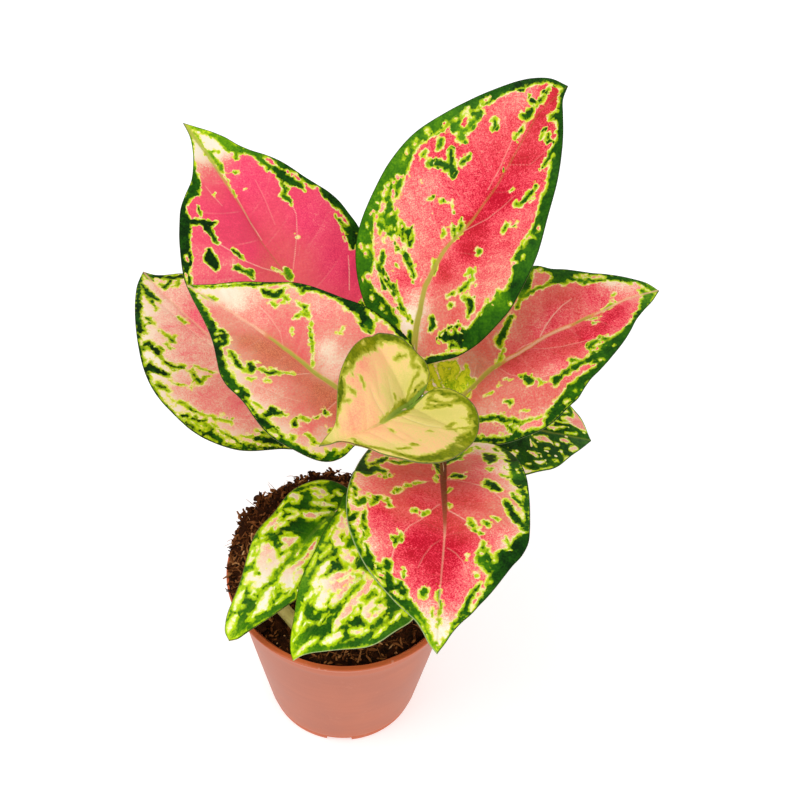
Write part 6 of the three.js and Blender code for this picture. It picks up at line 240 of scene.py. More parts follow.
     "R": [[0,0.12,0.6,0.7],[0.25,0.12,0.4,0.5],[0.5,0.12,0.25,0.25],[1,0.15,0.2,0.1]],
     "hw": 1.6,
     "specks": 0.5,
     "vein_show": 0.1,
     "edge_highlight": [0.2, 0.6],
     "calm": 1.0,
     "sand": 0.6,
     "kshift": -0.04,
    },
    {"id": "10", "base": [12.107, -4.791, 79.0], "along": [-0.54308, -0.74483, -0.38768], "side": [0.80802, -0.58915, 0.0], "up": [-0.2284, -0.31326, 0.92179],
     "length": 41.271, "arch": 4, "fold": [0.25, 0.25], "cup": 0.35, "half": 16, "lobe": 0,
     "midrib": [[0,-0],[5.54,1.62],[10.93,2.67],[16.2,2.96],[21.34,2.51],[26.34,1.46],[31.3,0.26],[36.32,-0.19],[41.27,0]],
     "left": [[0,-0],[-0.18,2.84],[0.04,5.72],[0.82,8.54],[2.04,11.19],[3.65,13.58],[5.56,15.64],[7.7,17.32],[9.99,18.61],[12.36,19.55],[14.76,20.19],[17.16,20.45],[19.51,20.1],[21.69,19.18],[23.87,18.24],[26.03,17.24],[28.06,15.93],[29.87,14.26],[31.44,12.26],[32.87,10.09],[34.31,7.89],[35.8,5.68],[37.34,3.44],[39.12,1.42],[41.27,-0]],
     "right": [[0,-0],[-1.69,-2.16],[-2.89,-4.56],[-3.23,-7.11],[-2.91,-9.58],[-1.93,-11.79],[-0.15,-13.36],[2.43,-13.23],[5.01,-12.19],[7.61,-11.5],[10.18,-11.01],[12.71,-10.55],[15.21,-10.03],[17.68,-9.55],[20.12,-9.12],[22.53,-8.69],[24.9,-8.14],[27.19,-7.45],[29.4,-6.61],[31.51,-5.6],[33.62,-4.64],[35.78,-3.81],[37.89,-2.91],[39.76,-1.65],[41.27,-0]],
     "G": [[[3.38,-10.35,6.02],[8.29,-5.76,8.79],[13.59,-2.23,10.48],[19.14,0.41,10.74],[25.24,1.77,10.17],[31.02,1.45,7.05],[36.73,0.78,3.51],[39.76,-0.05,1.51]],[[18.58,10.8,7.42],[19.27,14.43,6.33]],[[36.76,5.08,0.64],[33.29,8.96,0.83],[30.13,12.56,0.91],[26.66,16.1,1.05],[22.99,18.47,1.05],[19.88,19.4,0.81]],[[36.2,4.68,0.89],[33.1,8.82,1.12],[29.44,12.36,1.35],[25.4,15.46,1.58],[21.72,17.81,1.67],[19.3,18.96,1.34]]],
     "H": [[[5.71,-10.22,0.25],[6.96,-10.08,0.5],[7.92,-8.71,0.94],[9.15,-8.6,1.08],[9.07,-7.2,0.98],[10.65,-8,0.98],[12.07,-7.77,0.92],[12.86,-6.27,1.11],[12.57,-5.04,0.63],[10.21,-5.71,0.49],[8.3,-6.63,0.73],[6.94,-8.32,0.74]],[[10.19,-9.55,0.34],[11.82,-9.15,0.34],[13.77,-8.81,0.24]],[[5.85,-11.29,0.25]],[[14.42,-7.13,0.19],[15.81,-6.95,0.53],[16.81,-7.07,0.67],[17.94,-7.4,0.43]],[[17.7,-8.77,0.19],[19.47,-8.33,0.36],[20.9,-7.87,0.29],[22.79,-7.68,0.24]],[[16.31,-8.93,0.17],[15.37,-8.46,0.15]],[[13.7,-4.46,0.62],[13.41,-3.23,0.91],[13.51,-1.72,0.95],[14.87,-2.71,0.86],[15.16,-1.06,0.76],[11.96,-1.74,0.72],[14.83,-3.9,0.57],[16.14,-0.34,0.47],[16.37,0.97,0.47]],[[16.37,-4.77,0.19],[18.36,-5.05,0.71],[20,-5.3,1.04],[21.83,-5.44,1.18],[23.43,-4.89,1.27],[24.63,-3.77,1.17],[26.11,-3.91,0.75],[27.21,-4.33,0.61],[28.18,-4.55,0.33]],[[22.11,-3.79,1.08],[22.58,-2.02,1.31],[24.37,-1.36,1.3],[26.36,-1.45,1.25],[27.7,-1.42,0.88],[26.9,-0.24,0.74]],[[20.71,-2.19,1.17],[19.51,-1.32,1.17],[17.98,-0.42,0.94],[16.45,0.46,0.85],[15.62,1.56,0.8],[15.32,2.76,0.56]],[[22.16,-0.6,1.49],[20.97,0.27,1.49],[19.25,1.05,1.07],[17.8,1.44,1.03],[21.7,1.63,1.16],[23.51,1.46,1.11],[25.45,1.06,0.74],[19.8,2.29,0.46]],[[17.04,2.87,0.64],[18.35,2.68,0.46]],[[15.75,4.05,1.02],[16.25,5.76,1.17],[18.49,6,1.36],[20.44,5.66,1.26],[22.38,5.31,1.26],[24.57,5.47,1.25],[26.57,5.45,1.25],[28.55,5.4,1.09],[30.08,5.61,0.74]],[[17.01,7.02,0.76],[16.92,9.16,0.65],[18.76,10.01,0.84],[20.89,9.83,1.24],[22.69,9.69,1.33],[23.35,11.45,0.98],[21.83,7.75,1],[23.83,7.75,0.74],[25.62,7.58,0.49]],[[17.01,10.49,0.35],[19.95,11.89,0.88],[19.51,13.09,0.49],[21.69,12.32,0.98],[23.8,12.11,0.63]],[[28.31,9.65,0.54],[27.67,10.73,0.73],[26.85,11.66,0.78],[25.9,12.79,0.39]],[[30.27,7.67,0.88],[31.6,6.76,1.08],[33.05,5.61,0.94],[34.06,4.74,0.44]],[[34.07,2.79,0.3],[35.71,1.7,0.55],[37.42,0.95,0.6],[39,0.41,0.55],[40.26,-0.03,0.3]],[[30.96,-3.87,0.28],[32.4,-3.23,0.6],[34.11,-3,0.6],[35.36,-2.49,0.32]],[[27.75,1.84,0.35],[29.04,1.54,0.66],[30.63,1.15,0.45]],[[23.05,16.11,0.24],[24.13,15.72,0.41],[25.4,15.46,0.36],[26.47,15.05,0.19]],[[17.81,17.23,0.24],[19.22,16.81,0.34],[20.38,16.79,0.41],[21.65,16.56,0.34]],[[18.14,18.08,0.34]],[[21.01,14.86,0.15],[21.84,14.89,0.12]],[[37.75,-2.14,0.16],[32.16,-1.67,0.14],[31.81,-0.76,0.14]]],
     "J": [[[17.35,-4.05,0.9],[17.19,-3.01,0.71],[18.53,-4.05,0.57],[19.85,-4.25,0.14]],[[11.63,-5.47,0.29],[10.68,-5.05,0.44],[11,-4.22,0.29]],[[12.64,-1.8,0.21],[12.96,-0.99,0.21]],[[15.31,0.77,0.33],[14.37,1.21,0.66],[13.86,0.26,0.43]],[[13.58,-5.14,0.29],[14.66,-5.77,0.43],[15.8,-6.08,0.53],[17.59,-6.49,0.53],[19.38,-6.93,0.67],[21.4,-6.91,0.81],[23.8,-6.67,0.94]],[[17.09,1.21,0.07]],[[16.88,4.68,0.13],[18.64,4.19,0.31],[20.72,3.64,0.51],[22.47,3.12,0.51],[24.28,2.96,0.71],[25.89,2.64,0.86],[27.31,2.14,0.71],[28.91,1.77,0.4],[30.89,1.69,0.6]],[[28.1,-0.02,0.37],[27.06,0.71,0.32],[26.15,1.24,0.23]],[[17.03,7.99,0.23],[18.09,9.17,0.45],[19.07,9.01,0.15]],[[18.65,11.17,0.69],[19.55,10.64,0.4],[17.55,11.54,0.44]],[[22.28,7.47,0.45],[22.93,8.31,0.4]],[[25.38,8.96,1.08],[25.13,10.34,0.88],[26.53,9.86,0.73]],[[27.92,8.42,0.39],[29.38,8.27,0.73],[29.89,9.28,0.39]],[[18.68,2.63,0.07]],[[27.11,-2.96,0.37],[28.63,-2.81,0.6],[29.36,-1.48,0.55]]],
     "P": [[22.67,-5.42,0],[24.44,-3.9,0],[26.43,-3.98,0.02],[26.68,-1.52,0],[19.79,-4.58,0.02],[21.44,-2.82,0.08],[20.66,-0.51,0.5],[19.08,0.08,0.46],[22.29,-0.8,0.4],[20.86,1.62,0.38],[22.49,1.33,0.34],[17.11,0.37,0.6],[15.82,1.7,0.38],[15.72,3.05,0.3],[23.92,0.89,0.18],[25.1,-0.02,0.06],[24.13,-1.82,0.06],[8.67,-8.4,0.36],[7.77,-7.65,0.44],[9.26,-6.16,0.4],[12.46,-6.58,0.28],[10.23,-7.45,0.08],[12.57,-5.04,0.08],[13.19,-2.53,0.36],[14.02,-0.76,0.36],[15.57,-1.61,0.34],[14.69,-3.71,0.06],[16.28,-7.18,0.02],[16.1,5,0.36],[17.18,6.21,0.38],[19.26,5.67,0.36],[21.73,5.43,0.34],[24.13,5.75,0.36],[26.31,5.89,0.32],[28.93,5.69,0.16],[16.85,8.79,0.26],[20.76,10.05,0.12],[22.2,11.48,0.42],[23.6,11.02,0.4],[20.34,12.2,0.3],[21.58,8.18,0.06],[23.59,9.14,0.03],[27.67,10.73,0.26],[26.73,11.87,0.2],[32.23,6.6,0.01],[36.98,1.3,0.28],[32.72,-3.31,0],[29.48,1.24,0.02],[24.01,15.93,0.1],[19.87,16.7,0.03],[18.2,17.53,0.15]],
     "K": [[1.4,-13.22,0.7],[4.81,-12.16,0.6],[9.04,-11.08,0.45],[13.18,-10.16,0.45],[17.11,-9.21,0.45],[21.11,-8.6,0.45],[25.17,-7.46,0.4],[29.11,-5.95,0.35],[33.39,-4.32,0.3],[37.51,-2.57,0.25],[40.03,-0.46,0.2],[17.54,-3.9,0.97],[14.51,1.03,0.85],[11.02,-5.08,0.6],[19.05,-6.87,0.75],[16.8,-6.21,0.7],[22.06,-7.03,0.5],[25.44,9.33,0.97],[28.26,-3.05,0.85],[29.68,-1.56,0.8],[32.23,1.73,0.85],[33.62,0.14,0.75],[30.71,3.51,0.85],[29.26,8.49,0.8],[25.25,2.77,0.75],[27.43,1.91,0.7],[20.72,3.64,0.45],[18.97,4.14,0.2],[18.52,11.38,0.6],[18.09,9.17,0.35],[22.67,7.78,0.25],[21.13,14.65,0.75],[18.17,13.87,0.85],[19.02,15.75,0.8],[23.3,13.87,0.85],[25.65,13.21,0.75],[22.99,14.85,0.7],[28.81,12.51,0.65],[20.9,18.68,0.5],[24.13,17.53,0.5],[28.11,15.05,0.5],[32.21,10.37,0.5],[35.13,6.16,0.45],[38.04,1.73,0.4],[37.21,-1.33,0.3],[18.53,19.27,0.5],[33.29,8.96,0.72],[30.13,12.56,0.74],[26.66,16.1,0.74],[22.99,18.47,0.7],[19.88,19.4,0.7],[25.02,15.17,0.7],[21.53,17.67,0.66],[19.11,18.82,0.66],[29.25,12.22,0.72]],
     "B": [],
     "V": [[[19.22,3.7,0.2],[20.04,0.76,0.2],[21.47,-1.65,0.2],[23.77,-2.92,0.2]],[[22.99,3.22,0.2],[23.29,5.72,0.2],[24.73,8.14,0.2]]],
     "R": [[0,0.12,0.6,0.7],[0.25,0.12,0.35,0.4],[0.45,0.12,0.25,0.15],[1,0.15,0.2,0.1]],
     "hw": 1.6,
     "specks": 0.5,
     "vein_show": 0.1,
     "edge_highlight": [0.95, 0.35],
     "calm": 1.0,
     "sand": 0.6,
     "kshift": -0.06,
    },
]


# ------------------------------------------------------------------ noise and fields
def vnoise(P, cell, seed):
    """Smooth value noise, -1 to 1, at points P of two or three columns."""
    P = np.asarray(P, float) / cell
    d = P.shape[1]
    i = np.floor(P).astype(np.int64)
    f = P - i
    f = f * f * (3 - 2 * f)
    out = np.zeros(len(P))
    for k in range(2 ** d):
        off = np.array([(k >> j) & 1 for j in range(d)])
        c = i + off
        h = seed * 374761393 + c[:, 0] * 668265263 + c[:, 1] * 2147483647
        if d == 3:
            h = h + c[:, 2] * 1274126177
        h = (h ^ (h >> 13)) * 1103515245
        h = h & 0x7FFFFFFF
        h = (h ^ (h >> 15)) * 12345677
        h = (h ^ (h >> 12)) & 0xFFFFFF
        out += np.prod(np.where(off == 1, f, 1 - f), axis=1) * (h / float(0xFFFFFF) * 2 - 1)
    return out


def fbm(P, cell, seed, octaves=3, gain=0.5):
    s, a, t = np.zeros(len(P)), 1.0, 0.0
    for o in range(octaves):
        s += a * vnoise(P, cell / 2 ** o, seed + 17 * o)
        t += a
        a *= gain
    return s / t


def step(x, a, b):
    t = np.clip((x - a) / (b - a), 0, 1)
    return t * t * (3 - 2 * t)


def stroke(P, S):
    """Largest radius minus distance from P to a chain of discs S."""
    S = np.asarray(S, float).reshape(-1, 3)
    if len(S) == 1:
        return S[0, 2] - np.hypot(P[:, 0] - S[0, 0], P[:, 1] - S[0, 1])
    best = np.full(len(P), -1e9)
    for a, b in zip(S[:-1], S[1:]):
        d = b[:2] - a[:2]
        t = np.clip(((P - a[:2]) @ d) / max(float(d @ d), 1e-9), 0, 1)
        q = a[:2] + t[:, None] * d
        best = np.maximum(best, a[2] + t * (b[2] - a[2]) - np.hypot(*(P - q).T))
    return best


def smax(a, b, k):
    h = np.clip(0.5 + 0.5 * (a - b) / k, 0, 1)
    return b + (a - b) * h + k * h * (1 - h)


def greenness(P, G, H, J, k=0.35):
    """Distance inside the green, in mm: positive in the green, negative in the pink."""
    g = np.full(len(P), -9.0)
    for S in G:
        g = smax(g, stroke(P, S), k)
    for S in H:
        g = -smax(-g, stroke(P, S), k)
    for S in J:
        g = smax(g, stroke(P, S), k)
    return g


def tone(P, C, soft=2.5):
    C = np.asarray(C, float).reshape(-1, 3)
    w = 1 / (((P[:, None, :] - C[None, :, :2]) ** 2).sum(2) + soft ** 2) ** 1.6
    return (w * C[:, 2]).sum(1) / w.sum(1)


def near(P, S, reach):
    """1 close to the points S, 0 beyond reach."""
    d = np.full(len(P), 1e9)
    for q in S:
        d = np.minimum(d, np.hypot(P[:, 0] - q[0], P[:, 1] - q[1]))
    return 1 - step(d, reach * 0.6, reach)


def variegation(P, leaf, seed, de, streak):
    """green distance, pink tone, green tone and brown (partly painted shade) at leaf points P."""
    W = np.stack([fbm(P, 2.2, seed, 2), fbm(P, 2.2, seed + 5, 2)], 1) * 0.34
    W += np.stack([fbm(P, 0.95, seed + 7, 2), fbm(P, 0.95, seed + 8, 2)], 1) * 0.16
    calm = leaf.get("calm", 0.0)
    W *= 1 - 0.55 * calm
    Q = P + W
    g = greenness(Q, leaf["G"], leaf["H"], leaf["J"])
    # where no pattern was placed, a green margin of uneven width with blotches
    seen = near(P, [q for q in leaf["P"]] + [q for t in leaf["G"] for q in t], 6.5)
    band = 1.9 + 1.5 * fbm(P, 6, seed + 61, 2) - de
    blot = 2.0 * (fbm(P, 3.4, seed + 67, 3) - 0.34)
    g = np.maximum(g, np.where(seen < 0.5, np.maximum(band, blot), -9.0))
    s = leaf.get("specks", 1.0)
    n1, n2 = vnoise(Q, 1.05, seed + 31), vnoise(Q, 1.2, seed + 47)
    patch = step(fbm(P, 9, seed + 53, 2), -0.25, 0.35) * step(de, 0.7, 1.6)
    g = g - s * 1.5 * step(n1, 0.42, 0.8) * step(g, 0.15, 0.8) * (1 - step(g, 2.2, 4.2)) * patch
    g = g + s * 1.15 * step(n2, 0.5, 0.85) * step(g, -2.6, -0.9) * (1 - step(g, -0.3, 0.0)) * patch
    g = g + (1 - 0.6 * calm) * 0.20 * fbm(P, 0.8, seed + 9, 2) + 0.20 * streak
    g = np.maximum(g, 0.55 - 1.3 * de)
    pt = tone(P, leaf["P"], 1.6) + 0.05 * fbm(P, 3, seed + 4, 2) + 0.07 * streak
    kt = tone(P, leaf["K"], 1.6) + 0.10 * fbm(P, 1.6, seed + 6, 2) + 0.06 * streak
    brown_and_shade = tone(P, leaf["B"], 1.6) if leaf["B"] else np.zeros(len(P))
    pt = pt + leaf.get("pshift", 0.0) * np.clip(pt / 0.4, 0, 1)
    kt = kt + leaf.get("kshift", 0.0)
    return g, pt, kt, brown_and_shade


def lines(P, V):
    """distance to the nearest of the polylines V, and its strength there."""
    d, st = np.full(len(P), 9.0), np.zeros(len(P))
    for S in V:
        S = np.asarray(S, float)
        for a, b in zip(S[:-1], S[1:]):
            e = b[:2] - a[:2]
            t = np.clip(((P - a[:2]) @ e) / max(float(e @ e), 1e-9), 0, 1)
            r = np.hypot(*(P - a[:2] - t[:, None] * e).T)
            k = r < d
            d = np.where(k, r, d)
            st = np.where(k, a[2] + t * (b[2] - a[2]), st)
    return d, st


# ------------------------------------------------------------------ leaf surface
def spline(K, t):
    """Catmull-Rom through knots K (n, 2) at parameters t, ends reflected."""
    K = np.asarray(K, float)
    n = len(K) - 1
    x = np.clip(t, 0, 1) * n
    i = np.minimum(np.floor(x).astype(int), n - 1)
    f = (x - i)[:, None]
    E = np.concatenate([[2 * K[0] - K[1]], K, [2 * K[-1] - K[-2]]])
    a, b, d, e = E[i], E[i + 1], E[i + 2], E[i + 3]
    return b + 0.5 * f * (d - a + f * (2 * a - 5 * b + 4 * d - e + f * (3 * (b - d) + e - a)))


def midrib_w(leaf, s):
    k = np.asarray(leaf["midrib"], float)
    return np.interp(s, k[:, 0], k[:, 1])


def sheet_height(leaf, s, w):
    x = s / leaf["length"]
    xc = np.clip(x, 0, 1)
    h = np.where(x < 0, 4 * leaf["arch"] * x, 4 * leaf["arch"] * xc * (1 - xc))
    d = w - midrib_w(leaf, s)
    f = np.where(d > 0, leaf["fold"][0], leaf["fold"][1])
    return h + f * np.abs(d) - leaf["cup"] * f * d * d / leaf["half"] + leaf["lobe"] * np.clip(-s, 0, None)


def leaf_point(leaf, s, w, lift):
    s, w, lift = np.broadcast_arrays(np.asarray(s, float), np.asarray(w, float), np.asarray(lift, float))
    h = sheet_height(leaf, s, w) + lift
    return (np.asarray(leaf["base"]) + s[..., None] * np.asarray(leaf["along"])
            + w[..., None] * np.asarray(leaf["side"]) + h[..., None] * np.asarray(leaf["up"]))


# ------------------------------------------------------------------ mesh helpers
def srgb(r, g, b):
    return tuple((c / 255 / 12.92 if c / 255 <= 0.04045 else ((c / 255 + 0.055) / 1.055) ** 2.4) for c in (r, g, b)) + (1.0,)


def make_mesh(name, verts, faces, attrs=None, uv=None, smooth=True):
    """An object from vertices in millimetres, faces as index lists, per-vertex
    float attributes and per-corner uv coordinates."""
    me = bpy.data.meshes.new(name)
    verts = np.asarray(verts, float) * MM
    me.vertices.add(len(verts))
    me.vertices.foreach_set("co", verts.astype(np.float32).ravel())
    total = np.array([len(f) for f in faces], np.int32)
    loops = np.fromiter((i for f in faces for i in f), np.int32, int(total.sum()))
    me.loops.add(len(loops))
    me.loops.foreach_set("vertex_index", loops)
    me.polygons.add(len(total))
    me.polygons.foreach_set("loop_start", np.concatenate([[0], np.cumsum(total)[:-1]]).astype(np.int32))
    me.polygons.foreach_set("loop_total", total)
    me.update(calc_edges=True)
    if smooth:
        me.polygons.foreach_set("use_smooth", np.ones(len(total), bool))
    for k, v in (attrs or {}).items():
        me.attributes.new(k, "FLOAT", "POINT").data.foreach_set("value", np.asarray(v, np.float32))
    if uv is not None:
        me.uv_layers.new(name="OFBake").data.foreach_set("uv", np.asarray(uv, np.float32).ravel())
    me.validate()
    ob = bpy.data.objects.new(name, me)
    bpy.context.scene.collection.objects.link(ob)
    return ob


def sharpen(ob, degrees=38):
    bm = bmesh.new()
    bm.from_mesh(ob.data)
    for e in bm.edges:
        if len(e.link_faces) == 2 and e.calc_face_angle() > math.radians(degrees):
            e.smooth = False
    bm.to_mesh(ob.data)
    bm.free()


def bezier(p, n):
    t = np.linspace(0, 1, n)[:, None]
    p = [np.asarray(q, float) for q in p]
    return (1 - t) ** 3 * p[0] + 3 * (1 - t) ** 2 * t * p[1] + 3 * (1 - t) * t * t * p[2] + t ** 3 * p[3]


def smooth_path(points, n):
    """n points, evenly spaced, on a Catmull-Rom curve through points."""
    P = np.asarray(points, float)
    E = np.concatenate([[2 * P[0] - P[1]], P, [2 * P[-1] - P[-2]]])
    out = []
    for i in range(1, len(E) - 2):
        f = np.linspace(0, 1, 40, endpoint=i == len(E) - 3)[:, None]
        a, b, d, e = E[i - 1], E[i], E[i + 1], E[i + 2]
        out.append(b + 0.5 * f * (d - a + f * (2 * a - 5 * b + 4 * d - e + f * (3 * (b - d) + e - a))))
    Q = np.concatenate(out)
    s = np.r_[0, np.cumsum(np.linalg.norm(np.diff(Q, axis=0), axis=1))]
    t = np.linspace(0, s[-1], n)
    return np.stack([np.interp(t, s, Q[:, k]) for k in range(3)], 1)


def frames_along(P, hint):
    T = np.gradient(P, axis=0)
    T /= np.linalg.norm(T, axis=1)[:, None]
    n = np.asarray(hint, float)
    N = []
    for t in T:
        n = n - (n @ t) * t
        n = n / np.linalg.norm(n)
        N.append(n)
    N = np.array(N)
    return T, N, np.cross(T, N)


def rod(P, ring, hint=(0, 0, 1)):
    """Closed rod along P. ring(i, angle) gives the radius. Returns vertices,
    faces and the place along the rod of each vertex."""
    P = np.asarray(P, float)
    T, N, B = frames_along(P, hint)
    m = 24
    a = np.arange(m) * 2 * PI / m
    V, S = [], []
    for i in range(len(P)):
        r = ring(i, a)
        V.append(P[i] + r[:, None] * (np.cos(a)[:, None] * N[i] + np.sin(a)[:, None] * B[i]))
        S += [i / (len(P) - 1)] * m
    V = list(np.concatenate(V))
    F = []
    for i in range(len(P) - 1):
        for j in range(m):
            k = (j + 1) % m
            F.append((i * m + j, i * m + k, (i + 1) * m + k, (i + 1) * m + j))
    c0, c1 = len(V), len(V) + 1
    V += [P[0] - T[0] * 0.25 * float(np.mean(ring(0, a))), P[-1] + T[-1] * 0.3 * float(np.mean(ring(len(P) - 1, a)))]
    S += [0, 1]
    e = (len(P) - 1) * m
    for j in range(m):
        k = (j + 1) % m
        F += [(c0, k, j), (c1, e + j, e + k)]
    return np.array(V), F, np.array(S), a


# ------------------------------------------------------------------ shader helpers
class Nodes:
    def __init__(self, name):
        self.mat = bpy.data.materials.new(name)
        self.mat.use_nodes = True
        self.t = self.mat.node_tree
        self.t.nodes.clear()
        self.out = self.t.nodes.new("ShaderNodeOutputMaterial")
        self.bsdf = self.t.nodes.new("ShaderNodeBsdfPrincipled")
        self.t.links.new(self.bsdf.outputs[0], self.out.inputs[0])

    def put(self, socket, value):
        if isinstance(value, bpy.types.NodeSocket):
            self.t.links.new(value, socket)
        else:
            socket.default_value = value

    def attr(self, name):
        n = self.t.nodes.new("ShaderNodeAttribute")
        n.attribute_name = name
        return n.outputs["Fac"]

    def math(self, op, a, b=0.0, c=None, clamp=False):
        n = self.t.nodes.new("ShaderNodeMath")
        n.operation = op
        n.use_clamp = clamp
        self.put(n.inputs[0], a)
        self.put(n.inputs[1], b)
        if c is not None:
            self.put(n.inputs[2], c)
        return n.outputs[0]

    def span(self, x, a, b, lo=0.0, hi=1.0, kind="SMOOTHSTEP"):
        n = self.t.nodes.new("ShaderNodeMapRange")
        n.interpolation_type = kind
        self.put(n.inputs["Value"], x)
        for k, v in (("From Min", a), ("From Max", b), ("To Min", lo), ("To Max", hi)):
            self.put(n.inputs[k], v)
        return n.outputs["Result"]

    def mix(self, f, a, b, kind="MIX"):
        n = self.t.nodes.new("ShaderNodeMix")
        n.data_type = "RGBA"
        n.blend_type = kind
        self.put(n.inputs["Factor"], f)
        self.put(n.inputs[6], a)
        self.put(n.inputs[7], b)
        return n.outputs[2]

    def ramp(self, x, stops):
        n = self.t.nodes.new("ShaderNodeValToRGB")
        r = n.color_ramp
        while len(r.elements) < len(stops):
            r.elements.new(0.5)
        for e, (p, c) in zip(r.elements, stops):
            e.position = p
            e.color = c
        self.put(n.inputs[0], x)
        return n.outputs[0]

    def where(self, scale=(1, 1, 1)):
        c = self.t.nodes.new("ShaderNodeTexCoord")
        m = self.t.nodes.new("ShaderNodeMapping")
        m.inputs["Scale"].default_value = scale
        self.t.links.new(c.outputs["Object"], m.inputs[0])
        return m.outputs[0]

    def noise(self, cell_mm, detail=2.0, rough=0.5, scale=(1, 1, 1)):
        """Noise of 0 to 1 whose grains are about cell_mm wide."""
        n = self.t.nodes.new("ShaderNodeTexNoise")
        n.inputs["Scale"].default_value = 1.0 / (cell_mm * MM)
        n.inputs["Detail"].default_value = detail
        n.inputs["Roughness"].default_value = rough
        self.t.links.new(self.where(scale), n.inputs["Vector"])
        return n.outputs["Fac"]

    def cells(self, cell_mm, feature="F1", randomness=1.0):
        n = self.t.nodes.new("ShaderNodeTexVoronoi")
        n.feature = feature
        n.inputs["Scale"].default_value = 1.0 / (cell_mm * MM)
        n.inputs["Randomness"].default_value = randomness
        self.t.links.new(self.where(), n.inputs["Vector"])
        return n.outputs["Distance"]

    def bump(self, height, strength, distance_mm):
        n = self.t.nodes.new("ShaderNodeBump")
        n.inputs["Strength"].default_value = strength
        n.inputs["Distance"].default_value = distance_mm * MM
        self.put(n.inputs["Height"], height)
        self.t.links.new(n.outputs[0], self.bsdf.inputs["Normal"])


# ------------------------------------------------------------------ materials
PINK = [(0, srgb(254, 252, 228)), (0.2, srgb(254, 226, 196)), (0.4, srgb(250, 172, 150)),
        (0.6, srgb(247, 114, 116)), (0.78, srgb(240, 66, 88)), (0.9, srgb(220, 38, 62)), (1, srgb(190, 18, 42))]
PEACH = [(0, srgb(212, 202, 106)), (0.15, srgb(232, 211, 124)), (0.3, srgb(250, 206, 138)),
         (0.5, srgb(254, 192, 138)), (0.75, srgb(250, 158, 126)), (1, srgb(240, 128, 112))]
GREEN = [(0, srgb(222, 236, 44)), (0.08, srgb(156, 196, 20)), (0.2, srgb(104, 158, 12)), (0.45, srgb(62, 120, 10)),
         (0.75, srgb(32, 84, 10)), (1, srgb(12, 42, 8))]
OLIVE = [(0, srgb(172, 172, 18)), (0.3, srgb(122, 134, 8)), (0.6, srgb(84, 102, 4)), (1, srgb(42, 72, 8))]
# the dark reddish-brown stops near 0.5 and 0.6 are midrib colour, and on leaf 08's base also painted shadow from leaf
# 05 above
RIB = [(0, srgb(214, 218, 152)), (0.12, srgb(96, 138, 30)), (0.22, srgb(170, 178, 70)), (0.3, srgb(186, 162, 66)),
       (0.5, srgb(104, 40, 18)), (0.6, srgb(160, 78, 50)), (0.72, srgb(250, 190, 158)), (0.85, srgb(222, 84, 88)), (1, srgb(172, 18, 38))]
# margin colours: a dark line, a brown line, and a pale painted highlight of an edge catching light
EDGE_LINE_AND_HIGHLIGHT = [(0, srgb(22, 34, 8)), (0.5, srgb(74, 42, 10)), (1, srgb(188, 204, 138))]


